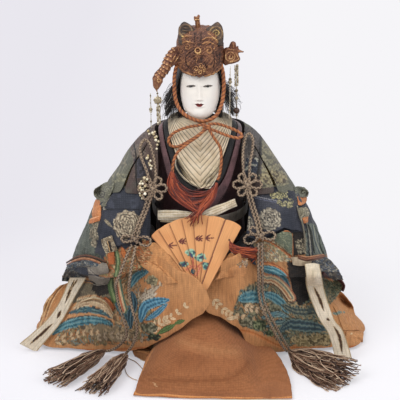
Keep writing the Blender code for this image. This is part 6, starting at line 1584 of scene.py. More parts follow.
def carve(x, level):
    # how far the carving stands out from the plain head, in metres, at a place of the face
    def hill(a, b, cx, cy, wide, tall):
        return np.exp(-((a - cx) / wide) ** 2 - ((b - cy) / tall) ** 2)

    x = x - head["middle"]
    side = np.abs(x)
    rise = 0.0
    bridge = np.clip((level - head["noseLevel"]) / 0.26, 0, 1)
    nose = np.exp(-(x / (0.0023 - 0.0005 * bridge)) ** 2) * (0.0029 - 0.0026 * bridge)
    nose = nose * np.clip((level - head["noseLevel"] + 0.035) / 0.03, 0, 1) * np.clip((0.72 - level) / 0.08, 0, 1)
    rise = rise + nose
    rise = rise + 0.0009 * hill(side, level, 0.0022, head["noseLevel"] - 0.005, 0.0011, 0.022)
    rise = rise - 0.0007 * hill(side, level, head["eyeOut"] - 0.0012, head["eyeLevel"] - 0.010, 0.0048, 0.065)
    rise = rise + 0.0006 * hill(side, level, head["eyeOut"], head["eyeLevel"] + 0.026, 0.0042, 0.020)
    rise = rise - 0.0006 * hill(side, level, head["eyeOut"], head["eyeLevel"], 0.0040, 0.010)
    rise = rise + 0.0008 * hill(side, level, 0.0105, 0.40, 0.0060, 0.12)
    rise = rise + 0.0010 * hill(x, level, 0, head["mouthLevel"] + 0.022, 0.0040, 0.016)
    rise = rise + 0.0011 * hill(x, level, 0, head["mouthLevel"] - 0.024, 0.0032, 0.016)
    rise = rise - 0.0011 * hill(x, level, 0, head["mouthLevel"] - 0.001, 0.0040, 0.007)
    rise = rise - 0.0004 * hill(x, level, 0, head["mouthLevel"] - 0.072, 0.0050, 0.022)
    rise = rise + 0.0010 * hill(x, level, 0, 0.12, 0.0060, 0.055)
    return rise


def headSpot(turn, level):
    rings = head["rings"]
    low = max(i for i in range(len(rings) - 1) if rings[i][3] <= level)
    span = [r[3] for r in rings]
    t = (level - span[low]) / (span[low + 1] - span[low])
    before, after = rings[max(low - 1, 0)], rings[min(low + 2, len(rings) - 1)]
    wide, front, back = (0.5 * (2 * b + (c - a) * t + (2 * a - 5 * b + 4 * c - d) * t * t + (3 * b - a - 3 * c + d) * t ** 3)
                         for a, b, c, d in zip(before[:3], rings[low][:3], rings[low + 1][:3], after[:3]))
    power = 2 / 2.15
    sx, sy = math.sin(turn), -math.cos(turn)
    sx, sy = math.copysign(abs(sx) ** power, sx), math.copysign(abs(sy) ** power, sy)
    forward, behind = -front * head["halfDepth"], back * head["halfDepth"]
    return (sx * wide * head["halfWidth"], head["centre"] + (forward + behind) / 2 + sy * (behind - forward) / 2, head["chin"] + level * head["height"])


def makeHead():
    grid = []
    columns = [math.pi * (0.42 * a + 0.58 * a ** 3) for a in [2 * k / 190 - 1 for k in range(190)]]
    for r in range(181):
        level = min(r / 180, 0.9995)
        row = []
        for turn in columns:
            x, y, z = headSpot(turn, level)
            if math.cos(turn) > 0:
                y -= float(carve(x, level)) * math.cos(turn) ** 0.5
            row.append((x, y, z))
        grid.append(row)
    across = len(columns)
    corners = [p for row in grid for p in row]
    faces = [(r * across + c, r * across + (c + 1) % across, (r + 1) * across + (c + 1) % across, (r + 1) * across + c)
             for r in range(len(grid) - 1) for c in range(across)]
    faces += [tuple(reversed(range(across))), tuple(range((len(grid) - 1) * across, len(grid) * across))]
    piece = meshPiece("dollHead", corners, faces)
    bpy.ops.object.select_all(action="DESELECT")
    bpy.ops.mesh.primitive_cylinder_add(vertices=64, radius=head["neck"], depth=0.034, location=(0, 0, head["neckFoot"] + 0.017))
    neck = bpy.context.object
    bpy.ops.object.mode_set(mode="EDIT")
    bpy.ops.mesh.select_all(action="SELECT")
    bpy.ops.mesh.bevel(offset=0.0008, segments=3)
    bpy.ops.object.mode_set(mode="OBJECT")
    bpy.ops.object.transform_apply(location=True)
    neck.data.shade_smooth()
    points = getPoints(piece)
    x, level = points[:, 0] - head["middle"], (points[:, 2] - head["chin"]) / head["height"]
    front = points[:, 1] < head["centre"]
    dye = np.zeros((len(points), 4))
    mixIn(dye, np.ones(len(points)), "#F3EEE7")
    mixIn(dye, (grain(points[:, 0] * 1000 + 40, points[:, 2] * 1000, 9, 3) - 0.4) * 0.7, "#ECE2D2")
    side = np.abs(x)
    # a soft grey round each eye: painted shade in the eye hollows
    mixIn(dye, front * 0.5 * np.exp(-((side - 0.0078) / 0.0062) ** 2 - ((level - head["eyeLevel"]) / 0.05) ** 2), "#D9D2CA")
    for sign, slant in ((-1, -0.016), (1, 0.000)):
        along = (x * sign - head["eyeOut"]) / head["eyeHalf"]
        lift = level - head["eyeLevel"] - slant * along - (0.004 if sign > 0 else 0.0)
        lid = 0.0245 * np.clip(1 - along ** 2, 0, 1) ** 0.6
        mixIn(dye, front & (np.abs(along) < 1.06) & (lift < lid + 0.004) & (lift > -lid * 0.62 - 0.001), "#3B312C")
        mixIn(dye, front & (np.abs(along) < 0.86) & (lift < lid * 0.52) & (lift > -lid * 0.55), "#7F766C")
        mixIn(dye, front & (np.abs(along + 0.02) < 0.34) & (lift < lid * 0.62) & (lift > -lid * 0.68), "#14100E")
    mouth = x / head["mouthHalf"]
    upper = 0.030 * np.clip(1 - mouth ** 2, 0, 1) ** 0.8 * (1 - 0.30 * np.exp(-(mouth / 0.16) ** 2))
    lower = 0.034 * np.clip(1 - (mouth / 0.80) ** 2, 0, 1) ** 0.7
    rise = level - head["mouthLevel"] - 0.006 * mouth ** 2
    mixIn(dye, front & (np.abs(mouth) < 1) & (rise < upper) & (rise > -lower), "#7A2420")
    mixIn(dye, front & (np.abs(mouth) < 0.94) & (np.abs(rise) < 0.006), "#1E0B0A")
    # two small brown-grey spots below the nose: painted shade in the nostrils
    mixIn(dye, front * 0.75 * np.exp(-((side - 0.0013) / 0.0006) ** 2 - ((level - head["noseLevel"] + 0.030) / 0.008) ** 2), "#A98C7E")
    layer = piece.data.attributes.new("dye", "FLOAT_COLOR", "POINT")
    layer.data.foreach_set("color", dye.reshape(-1))
    layer = neck.data.attributes.new("dye", "FLOAT_COLOR", "POINT")
    layer.data.foreach_set("color", [c for _ in neck.data.vertices for c in rgba("#E9E1D6")])
    return joined([piece, neck], "dollHead")


def shellLacquer():
    # ground oyster shell in glue, polished by hand: a soft white with a low gloss and a few hair cracks
    material, tree, shader = newMaterial("gofun shell white, burnished")
    dye = addNode(tree, "ShaderNodeAttribute", attribute_name="dye")
    place = addNode(tree, "ShaderNodeTexCoord")
    clouds = addNode(tree, "ShaderNodeTexNoise", {"Scale": 190.0, "Detail": 5.0}, {"Vector": (place, "Object")})
    tone = addNode(tree, "ShaderNodeMapRange", {"From Min": 0.3, "From Max": 0.7, "To Min": 0.965, "To Max": 1.0}, {"Value": (clouds, "Fac")})
    cracks = addNode(tree, "ShaderNodeTexVoronoi", {"Scale": 130.0}, {"Vector": (place, "Object")}, feature="DISTANCE_TO_EDGE")
    line = addNode(tree, "ShaderNodeMapRange", {"From Min": 0.0, "From Max": 0.02, "To Min": 0.94, "To Max": 1.0}, {"Value": (cracks, "Distance")})
    both = addNode(tree, "ShaderNodeMath", links={0: (tone, "Result"), 1: (line, "Result")}, operation="MULTIPLY")
    shaded = addNode(tree, "ShaderNodeVectorMath", links={0: (dye, "Color"), 1: (both, "Value")}, operation="MULTIPLY")
    tree.links.new(shaded.outputs["Vector"], shader.inputs["Base Color"])
    rough = addNode(tree, "ShaderNodeMapRange", {"To Min": 0.34, "To Max": 0.52}, {"Value": (clouds, "Fac")})
    tree.links.new(rough.outputs["Result"], shader.inputs["Roughness"])
    relief = addNode(tree, "ShaderNodeBump", {"Strength": 0.06, "Distance": 0.0002}, {"Height": (clouds, "Fac")})
    tree.links.new(relief.outputs["Normal"], shader.inputs["Normal"])
    return material


gofun = shellLacquer()
dollHead = makeHead()
dress(dollHead, gofun, "head", ["head"], "gofun")
print("head carved")

# Hair: a combed cap, and the loose tufts at the temples

blackHair = silkCord("black silk hair, combed", [(0.0, "#0C0A09"), (0.6, "#1E1815"), (1.0, "#3A302A")], roughness=0.5, sheen=0.1)
cap = softCopy("hair", "hairCap", 2)
crumple(cap, [(0.0008, 0.006, (1, 1, 0.25), 8.2)])
dress(cap, blackHair, "head", ["hair"], "black_hair")


def tuftPaths(other, count, spreadOut, lowest, seed):
    random.seed(seed)
    paths = []
    for _ in range(count):
        start = Vector((other * random.uniform(0.0200, 0.0240), random.uniform(-0.006, 0.010), random.uniform(0.246, 0.268)))
        out = random.random() ** 0.8 * spreadOut
        low = random.uniform(*lowest)
        spot, path = start.copy(), [tuple(start)]
        steps = 5
        for k in range(steps):
            share = (k + 1) / steps
            drift = Vector((other * out * 1.35 / steps * (1.5 - share) + random.uniform(-1, 1) * 0.0016, random.uniform(-1, 1) * 0.0014, (low - start.z) / steps * (0.4 + share)))
            spot = spot + drift
            path.append(tuple(spot))
        paths.append(path)
    return paths


def jawPaths(other, count, seed):
    random.seed(seed)
    paths = []
    for _ in range(count):
        y, away = random.uniform(-0.004, 0.014), random.uniform(-0.0012, 0.0030)
        low = random.uniform(0.2265, 0.236)
        paths.append([(other * (0.0196 + away * 0.4), y, 0.274), (other * (0.0206 + away * 0.7), y, 0.258), (other * (0.0192 + away), y + 0.001, 0.244),
                      (other * (0.0168 + away * 1.6), y + 0.002, low)])
    return paths


for side, other in (("left", -1), ("right", 1)):
    jaw = threads(side + "JawHair", jawPaths(other, 230, 61 + other), 0.00034, sides=3, thin=0.7, seed=61)
    dress(jaw, blackHair, "head", slotName="black_hair")
for side, other, count, spreadOut, lowest, seed in (("left", -1, 190, 0.0120, (0.2250, 0.250), 21), ("right", 1, 120, 0.0130, (0.2300, 0.254), 22)):
    tuft = threads(side + "Tuft", tuftPaths(other, count, spreadOut, lowest, seed), 0.00024, sides=3, thin=0.5, seed=seed)
    dress(tuft, blackHair, "head", slotName="black_hair")
whiteThread = silkCord("white silk thread, loose", [(0.0, "#8E8A84"), (1.0, "#E8E4DC")])
white = threads("looseWhiteThreads", tuftPaths(1, 12, 0.012, (0.2310, 0.246), 31) + tuftPaths(-1, 5, 0.012, (0.2310, 0.246), 32), 0.00018, sides=3, seed=3)
dress(white, whiteThread, "head", slotName="silvered_beads")
print("hair combed")

# Relief for cast pieces: ridges, domes, rings and spirals placed in front-view drawing coordinates

def reliefHeight(u, v, marks, domes=1.0):
    height = np.zeros(len(u))
    for kind, *facts in marks:
        if kind == "ridge":
            path, half, rise = facts
            along, across = brushPlace(u, v, path, half, 0.3)
            height += rise * np.sqrt(np.clip(1 - across ** 2, 0, 1))
        elif kind == "dome":
            (cx, cy), (rx, ry), rise = facts
            height += domes * rise * np.sqrt(np.clip(1 - ((u - cx) / rx) ** 2 - ((v - cy) / ry) ** 2, 0, 1))
        elif kind == "ring":
            (cx, cy), radius, half, rise = facts
            height += rise * np.sqrt(np.clip(1 - ((np.hypot(u - cx, v - cy) - radius) / half) ** 2, 0, 1))
        elif kind == "spiral":
            (cx, cy), radius, turns, rise = facts
            angle, away = np.arctan2(v - cy, u - cx), np.hypot(u - cx, v - cy)
            wave = 0.5 + 0.5 * np.cos(angle + away / radius * turns * 2 * np.pi)
            height += rise * wave ** 1.5 * np.clip((radius - away) / (radius * 0.2), 0, 1)
    return height


def castRelief(piece, marks, ground=0.35, filigree=0.0):
    # raises the marks on the faces that look forward and tints them, dark in the hollows and bright on the crests
    points, normals = getPoints(piece), getNormals(piece)
    u, v = onPicture(points)
    height = reliefHeight(u, v, marks)
    warpU, warpV = u + (grain(u, v, 3.1, 1) - 0.5) * 5, v + (grain(u, v, 3.1, 2) - 0.5) * 5
    curls = np.sin(warpU * 1.9) * np.sin(warpV * 1.9) + np.sin((warpU + warpV) * 1.3)
    rough = (grain(u * 3, v * 3, 2.2, 4) - 0.5) * 0.00022 + (grain(u * 3, v * 3, 5.0, 9) - 0.5) * 0.0003 + curls * filigree
    front = np.clip(-normals[:, 1] * 2.2, 0, 1)
    moved = (height * front + rough)[:, None] * normals
    setPoints(piece, points + moved)
    tint = ground + (reliefHeight(u, v, marks, 0.18) * front + rough) * 470 + (grain(u, v, 9.0, 31) - 0.5) * 0.30 + (grain(u, v, 3.0, 32) - 0.5) * 0.16
    layer = piece.data.attributes.new("groove", "FLOAT", "POINT")
    layer.data.foreach_set("value", np.clip(tint, 0, 1))


def agedGilt(name, stops, metal=0.35, roughness=0.45):
    # gilt copper under old lacquer: brown in the hollows, worn to gold on the crests
    material, tree, shader = newMaterial(name)
    groove = addNode(tree, "ShaderNodeAttribute", attribute_name="groove")
    place = addNode(tree, "ShaderNodeTexCoord")
    clouds = addNode(tree, "ShaderNodeTexNoise", {"Scale": 330.0, "Detail": 6.0, "Roughness": 0.65}, {"Vector": (place, "Object")})
    shift = addNode(tree, "ShaderNodeMath", {1: 0.9, 2: -0.45}, {0: (clouds, "Fac")}, operation="MULTIPLY_ADD")
    total = addNode(tree, "ShaderNodeMath", links={0: (groove, "Fac"), 1: (shift, "Value")}, operation="ADD", use_clamp=True)
    ramp = colourRamp(tree, total, stops, "Value")
    tree.links.new(ramp.outputs["Color"], shader.inputs["Base Color"])
    shine = addNode(tree, "ShaderNodeMapRange", {"From Min": 0.35, "From Max": 0.9, "To Min": metal * 0.3, "To Max": metal + 0.3}, {"Value": (total, "Value")})
    tree.links.new(shine.outputs["Result"], shader.inputs["Metallic"])
    rough = addNode(tree, "ShaderNodeMapRange", {"To Min": roughness + 0.25, "To Max": roughness - 0.08}, {"Value": (total, "Value")})
    tree.links.new(rough.outputs["Result"], shader.inputs["Roughness"])
    relief = addNode(tree, "ShaderNodeBump", {"Strength": 0.45, "Distance": 0.0003}, {"Height": (clouds, "Fac")})
    tree.links.new(relief.outputs["Normal"], shader.inputs["Normal"])
    return material


crownGilt = agedGilt("gilt copper, cast and lacquered", [(0.0, "#24130C"), (0.28, "#54301F"), (0.52, "#7E5236"), (0.80, "#A2764C"), (1.0, "#C8A26F")])
birdGilt = agedGilt("gilt copper, bird", [(0.0, "#2D160D"), (0.3, "#613622"), (0.6, "#8E5F40"), (0.85, "#B58A5E"), (1.0, "#D8B482")])
earBronze = agedGilt("bronze, dark cast", [(0.0, "#1B120D"), (0.3, "#3D2D22"), (0.6, "#685038"), (0.85, "#9A8052"), (1.0, "#C6A868")])

crown = {
    "halfWidth": 0.0220, "halfDepth": 0.0255, "rim": 0.2795, "height": 0.0415, "rimLift": 0.0060, "earFoot": 0.3100,
    "rows": [(0.0, 1.0), (0.3, 1.04), (0.55, 1.03), (0.75, 0.97), (0.88, 0.86), (0.96, 0.66), (1.0, 0.38), (1.005, 0.06)],
    "marks": [
        ("dome", (185.5, 60.5), (8.5, 9.0), 0.0016), ("dome", (209.8, 61.5), (8.0, 9.5), 0.0015),
        ("ridge", [(178.8, 66.0), (184.0, 71.6), (190.0, 74.0), (196, 76.0)], 1.1, 0.0008),
        ("ridge", [(204.5, 76.0), (211.0, 74.6), (217.5, 71.6), (221, 67)], 1.1, 0.0008),
        ("ridge", [(180.4, 40.5), (185.5, 36.8), (191.5, 36.2)], 1.0, 0.0009), ("ridge", [(180.0, 44.6), (186.0, 41.6), (193.6, 43.2)], 0.9, 0.0009),
        ("ridge", [(201.6, 40.2), (207.5, 37.6), (213.5, 38.4), (219.0, 42.0)], 1.0, 0.0009), ("ridge", [(202.0, 44.2), (208.5, 42.2), (215.6, 45.2)], 0.9, 0.0008),
        ("ridge", [(207.0, 33.0), (212.5, 37.0), (218.5, 44.0)], 0.8, 0.0008), ("ridge", [(194.6, 29.0), (194.8, 44.0)], 0.5, -0.0006),
        ("ridge", [(201.2, 29.0), (201.0, 44.0)], 0.5, -0.0006), ("ridge", [(195.4, 32.2), (200.6, 32.2)], 0.5, -0.0004), ("ridge", [(195.4, 38.0), (200.6, 38.0)], 0.5, -0.0004),
        ("spiral", (187.4, 47.2), 4.0, 1.5, 0.0010), ("spiral", (208.6, 50.6), 4.4, 1.5, 0.0010), ("spiral", (181.6, 51.4), 2.6, 1.2, 0.0008),
        ("spiral", (215.2, 48.6), 2.8, 1.2, 0.0008),
        ("ring", (197.8, 50.6), 2.7, 0.9, 0.0013), ("dome", (197.8, 50.6), (1.2, 1.2), 0.0009),
        ("ridge", [(193.4, 46.6), (202.2, 46.6)], 0.6, 0.0006), ("ridge", [(193.4, 54.6), (202.2, 54.6)], 0.6, 0.0006),
        ("ridge", [(196.0, 56.0), (197.6, 59.0), (196.2, 61.5), (197.4, 64.5)], 0.55, 0.0009), ("dome", (193.0, 58.4), (2.4, 2.6), -0.0012), ("dome", (202.6, 57.8), (2.8, 3.2), -0.0013),
        ("ridge", [(213.2, 53.5), (213.8, 60.0), (212.8, 68.0)], 0.55, -0.0010), ("ridge", [(216.4, 52.5), (216.8, 60.0), (215.6, 68.5)], 0.55, -0.0010),
        ("ridge", [(219.4, 52.0), (219.6, 60.0), (218.6, 67.5)], 0.5, -0.0008),
        ("ridge", [(190.5, 52.0), (187.0, 56.0), (186.5, 62.0), (189.5, 68.5)], 0.7, -0.0009), ("ridge", [(181.0, 55.5), (179.8, 60.0), (180.6, 65.0)], 0.6, -0.0008),
        ("ridge", [(204.5, 62.0), (206.0, 67.0), (205.0, 72.0)], 0.6, -0.0008),
        ("dome", (199.4, 69.8), (7.4, 6.4), 0.0016),
        ("spiral", (196.0, 68.2), 2.8, 1.4, 0.0013), ("spiral", (200.8, 65.8), 2.8, 1.4, 0.0013), ("spiral", (203.8, 69.6), 2.6, 1.4, 0.0012),
        ("spiral", (199.6, 71.6), 2.7, 1.4, 0.0013), ("spiral", (195.0, 72.8), 2.2, 1.2, 0.0010), ("dome", (199.2, 75.6), (2.2, 1.8), 0.0012),
    ],
}


def crownSpot(turn, level, lift=0.0):
    rows = crown["rows"]
    low = max(i for i in range(len(rows) - 1) if rows[i][0] <= level)
    t = (level - rows[low][0]) / (rows[low + 1][0] - rows[low][0])
    share = rows[low][1] + (rows[low + 1][1] - rows[low][1]) * t
    power = 2 / 2.3
    sx, sy = math.sin(turn), -math.cos(turn)
    sx, sy = math.copysign(abs(sx) ** power, sx), math.copysign(abs(sy) ** power, sy)
    rim = crown["rimLift"] * (1 - max(0.0, math.cos(turn)) ** 2)
    return (sx * (crown["halfWidth"] * share + lift), head["centre"] + sy * (crown["halfDepth"] * share + lift),
            crown["rim"] + rim + (crown["height"] - rim) * level)


def makeCrownShell():
    # denser towards the front, where the relief is
    columns = [math.pi * (0.45 * a + 0.55 * a ** 3) for a in [2 * k / 220 - 1 for k in range(220)]]
    levels = [k / 118 * 0.96 for k in range(119)] + [0.97, 0.98, 0.99, 1.0, 1.002, 1.0049]
    rows = [[crownSpot(turn, 0.012, -0.0022) for turn in columns], [crownSpot(turn, 0.0, -0.0014) for turn in columns]]
    rows += [[crownSpot(turn, level) for turn in columns] for level in levels]
    across = len(columns)
    corners = [p for row in rows for p in row]
    faces = [(r * across + c, r * across + (c + 1) % across, (r + 1) * across + (c + 1) % across, (r + 1) * across + c)
             for r in range(len(rows) - 1) for c in range(across)]
    faces.append(tuple(range((len(rows) - 1) * across, len(rows) * across)))
    piece = meshPiece("crownShell", corners, faces)
    castRelief(piece, crown["marks"], 0.34, 0.00020)
    return piece


def castPlate(name, outline, y, thickness, marks, ground=0.3, rings=16, steps=7, lean=0.0, foot=0.0):
    # a cast piece with a rounded edge, from an outline in the front view
    edge = flow(outline + outline[:1], steps)[:-1]
    cx, cz = sum(p[0] for p in outline) / len(outline), sum(p[1] for p in outline) / len(outline)
    count = len(edge)
    corners, faces = [], []
    for face in (-1, 1):
        for r in range(rings + 1):
            share = 0.02 + 0.98 * (r / rings) ** 0.8
            round_ = math.sqrt(max(1 - (r / rings) ** 8, 0.0)) if r < rings else 0.0
            for x, z in edge:
                high = cz + (z - cz) * share
                corners.append((cx + (x - cx) * share, y + lean * (high - foot) + face * thickness / 2 * (0.25 + 0.75 * round_), high))
    for face in (0, 1):
        first = face * (rings + 1) * count
        for r in range(rings):
            for c in range(count):
                d = (c + 1) % count
                quad = (first + r * count + c, first + r * count + d, first + (r + 1) * count + d, first + (r + 1) * count + c)
                faces.append(quad if face else tuple(reversed(quad)))
        cap = tuple(range(first, first + count))
        faces.append(tuple(reversed(cap)) if face else cap)
    last = rings * count
    for c in range(count):
        d = (c + 1) % count
        faces.append((last + c, last + d, last + (rings + 1) * count + d, last + (rings + 1) * count + c))
    piece = meshPiece(name, corners, faces)
    selectOnly(piece)
    bpy.ops.object.mode_set(mode="EDIT")
    bpy.ops.mesh.select_all(action="SELECT")
    bpy.ops.mesh.normals_make_consistent(inside=False)
    bpy.ops.object.mode_set(mode="OBJECT")
    castRelief(piece, marks, ground)
    return piece


def placedOutline(places, y, lean=0.0, foot=0.0):
    # on a plate that leans back by a share of its height above its foot
    outline = []
    for u, v in places:
        spot = onPlane(u, v, y)
        for _ in range(5):
            spot = onPlane(u, v, y + lean * (spot.z - foot))
        outline.append((spot.x, spot.z))
    return outline


ears = {
    "left": {"outline": [(178.6, 44.0), (178.3, 32.0), (179.6, 26.0), (183.2, 21.9), (186.6, 22.6), (190.2, 24.6), (193.4, 27.8), (195.0, 31.5), (190.0, 38.0), (184.0, 45.0)],
             "marks": [("ring", (185.6, 31.0), 6.2, 1.3, 0.0008), ("ridge", [(182.6, 27.6), (188.8, 28.8)], 0.6, 0.0008), ("ridge", [(182.2, 30.6), (189.6, 31.6)], 0.6, 0.0009),
                       ("ridge", [(182.0, 33.6), (189.0, 34.6)], 0.6, 0.0008), ("ridge", [(181.8, 36.8), (187.0, 38.0)], 0.6, 0.0008)]},
    "right": {"outline": [(222.8, 46.0), (223.6, 37.0), (222.9, 29.4), (221.0, 24.6), (217.8, 22.0), (214.6, 23.2), (211.6, 25.4), (208.0, 27.4), (205.6, 30.5), (210.0, 37.0), (216.0, 44.5)],
              "marks": [("spiral", (216.4, 33.6), 4.4, 1.7, 0.0013), ("ring", (216.0, 33.4), 6.4, 1.0, 0.0007), ("dome", (216.4, 33.6), (1.2, 1.2), 0.0008)]},
}
shell = makeCrownShell()
dress(shell, crownGilt, "head", ["crown"], "aged_gilt")
for side, ear in ears.items():
    piece = castPlate(side + "CrownEar", placedOutline(ear["outline"], -0.0235, 0.62, 0.305), -0.0235, 0.0034, ear["marks"], 0.24, lean=0.62, foot=0.305)
    dress(piece, earBronze, "head", slotName="aged_gilt")
pin = castPlate("crownPin", placedOutline([(195.4, 31), (195.0, 22.0), (193.8, 18.4), (194.4, 16.2), (196.6, 16.6), (198.0, 14.6), (199.8, 15.8), (199.6, 20.0), (200.6, 31)], -0.004),
                -0.004, 0.0030, [("ridge", [(194.6, 19.8), (199.8, 19.8)], 0.9, 0.0008), ("dome", (197.2, 17.6), (2.0, 2.0), 0.0008), ("ridge", [(197.6, 22), (197.8, 30)], 0.9, 0.0006)], 0.45)
dress(pin, birdGilt, "head", slotName="aged_gilt")
rosette = castPlate("crownRosette", placedOutline([(223.4, 49.5), (226.0, 47.4), (228.6, 47.0), (230.4, 43.0), (232.6, 41.2), (235.4, 42.6), (236.6, 46.8), (238.0, 46.0), (239.2, 49.4), (243.8, 51.8),
                                                   (238.6, 53.0), (240.2, 58.6), (239.4, 60.6), (236.0, 62.6), (230.0, 64.0), (224.6, 65.0), (222.6, 60.0)], -0.009), -0.009, 0.0050,
                    [("spiral", (230.2, 56.8), 3.4, 1.3, 0.0013), ("ring", (230.2, 56.6), 4.6, 0.8, 0.0009), ("ridge", [(226.0, 61.4), (225.4, 52.0), (229.0, 49.4), (235.4, 50.2)], 0.6, 0.0008),
                     ("ridge", [(228.0, 62.6), (235.0, 60.8), (239.0, 58.6)], 0.6, 0.0009), ("ridge", [(235.0, 52.6), (237.2, 56.0), (238.6, 59.2)], 0.6, 0.0008),
                     ("ridge", [(232.8, 42.6), (233.6, 48.0)], 0.8, 0.0007), ("ridge", [(237.0, 51.0), (242.4, 51.8)], 0.6, 0.0006)], 0.36)
dress(rosette, birdGilt, "head", ["phoenix_tail"], "aged_gilt")


def birdTube():
    # the bird's neck and head: rows of lapped feathers, a crest and a beak
    route = [(-0.0215, -0.0095, 0.3010), (-0.0251, -0.0107, 0.2982), (-0.0295, -0.0143, 0.2907), (-0.0330, -0.0158, 0.2837), (-0.0370, -0.0163, 0.2783),
             (-0.0409, -0.0163, 0.2737), (-0.0420, -0.0163, 0.2672), (-0.0411, -0.0163, 0.2612)]
    radii = [0.0034, 0.0048, 0.0056, 0.0050, 0.0046, 0.0048, 0.0034, 0.0006]
    points = even(route, 0.00028)
    sides = 56
    corners, tints = [], []
    for i, (point, beside, over) in enumerate(framesAlong(points)):
        t = i / (len(points) - 1)
        at = t * (len(radii) - 1)
        low = min(int(at), len(radii) - 2)
        ease = (at - low) ** 2 * (3 - 2 * (at - low))
        wide = radii[low] + (radii[low + 1] - radii[low]) * ease
        feathers = min(1.0, max(0.0, (0.80 - t) * 12))
        for k in range(sides):
            angle = 2 * math.pi * k / sides
            row = t * 13
            shift = 0.5 * (int(row) % 2)
            across = ((k / sides * 8 + shift) % 1.0) * 2 - 1
            lap = (row % 1.0) - 0.35 * abs(across) ** 2
            bump = max(lap, 0.0) * feathers * 0.26 * (1 - 0.5 * abs(across))
            corners.append(point + (beside * math.cos(angle) + over * math.sin(angle)) * wide * (0.88 + bump))
            tints.append(min(1.0, 0.22 + bump * 3.2 + (1 - feathers) * 0.35))
    faces = [(r * sides + k, r * sides + (k + 1) % sides, (r + 1) * sides + (k + 1) % sides, (r + 1) * sides + k) for r in range(len(points) - 1) for k in range(sides)]
    faces += [tuple(reversed(range(sides))), tuple(range((len(points) - 1) * sides, len(points) * sides))]
    return meshPiece("phoenixNeck", corners, faces, tints)


bird = birdTube()
crest = castPlate("phoenixCrest", placedOutline([(165.0, 68.4), (161.0, 67.6), (157.4, 70.2), (154.6, 73.6), (153.9, 78.0), (155.0, 82.0), (157.0, 80.0), (160.0, 76.5), (163.5, 74.5)], -0.0163),
                  -0.0163, 0.0024, [("ridge", [(163, 70.5), (158.6, 72.4), (156.2, 77.6)], 0.8, 0.0008)], 0.3)
wing = castPlate("phoenixWing", placedOutline([(175.0, 46.6), (178.6, 47.4), (181.8, 51.4), (182.0, 57.0), (178.4, 62.6), (172.6, 66.0), (168.4, 66.6), (168.6, 60.0), (171.8, 55.0), (176.4, 51.6)], -0.0165),
                 -0.0165, 0.0030, [("ridge", [(178.8, 49.0), (179.6, 55.0), (174.6, 62.0)], 0.9, 0.0012), ("ridge", [(176.4, 54.0), (172.6, 59.6)], 0.6, 0.0010),
                                   ("ridge", [(174.6, 58.0), (170.8, 63.6)], 0.6, 0.0010), ("spiral", (177.6, 58.6), 2.2, 1.2, 0.0009)], 0.32)
head2 = castPlate("phoenixFace", placedOutline([(155.4, 77.6), (158.6, 76.4), (161.8, 77.4), (162.8, 81.4), (161.0, 85.0), (158.6, 88.8), (156.4, 89.4), (154.8, 86.4), (155.8, 82.6)], -0.0185),
                  -0.0185, 0.0046, [("ring", (158.9, 80.6), 1.6, 0.6, 0.0009), ("dome", (158.9, 80.6), (0.7, 0.7), 0.0009), ("ridge", [(157.2, 84.6), (157.2, 88.4)], 0.5, 0.0008)], 0.42)
dress(joined([bird, crest, wing, head2], "phoenixHead"), birdGilt, "head", ["phoenix_head"], "aged_gilt")
print("crown cast")

# Hanging strings of beads

def beads(name, places):
    # each place is (centre, radius, flatness); one sphere is copied to them all
    bpy.ops.object.select_all(action="DESELECT")
    bpy.ops.mesh.primitive_uv_sphere_add(segments=12, ring_count=8, radius=1.0)
    pattern = bpy.context.object
    shape = getPoints(pattern).copy()
    quads = [tuple(p.vertices) for p in pattern.data.polygons]
    bpy.data.objects.remove(pattern)
    corners, faces, tints = [], [], []
    for i, (centre, radius, flat) in enumerate(places):
        first = len(corners)
        corners += [(centre[0] + x * radius, centre[1] + y * radius * flat, centre[2] + z * radius) for x, y, z in shape]
        faces += [tuple(first + k for k in quad) for quad in quads]
        tints += [(i * 0.377) % 1.0] * len(shape)
    return meshPiece(name, corners, faces, tints)


def beadGlass(name, stops, roughness, metal):
    # silvered glass gone patchy: bright where the silver holds and brown where it has gone
    material, tree, shader = newMaterial(name)
    groove = addNode(tree, "ShaderNodeAttribute", attribute_name="groove")
    place = addNode(tree, "ShaderNodeTexCoord")
    spots = addNode(tree, "ShaderNodeTexNoise", {"Scale": 900.0, "Detail": 3.0}, {"Vector": (place, "Object")})
    mixed = addNode(tree, "ShaderNodeMath", {1: 0.7, 2: -0.35}, {0: (spots, "Fac")}, operation="MULTIPLY_ADD")
    total = addNode(tree, "ShaderNodeMath", links={0: (mixed, "Value"), 1: (groove, "Fac")}, operation="ADD", use_clamp=True)
    ramp = colourRamp(tree, total, stops, "Value")
    tree.links.new(ramp.outputs["Color"], shader.inputs["Base Color"])
    shader.inputs["Metallic"].default_value = metal
    shader.inputs["Roughness"].default_value = roughness
    return material


silverBead = beadGlass("silvered glass bead, blown", [(0.0, "#6E6048"), (0.5, "#A89A7E"), (1.0, "#E6DECB")], 0.25, 0.35)
pearlBead = beadGlass("cream glass bead, moulded", [(0.0, "#B8A276"), (0.5, "#DCCFAE"), (1.0, "#F4EBD4")], 0.22, 0.1)

amberBead = beadGlass("brown glass bead, moulded", [(0.0, "#3B2314"), (0.5, "#6B4327"), (1.0, "#9A6B42")], 0.25, 0.1)

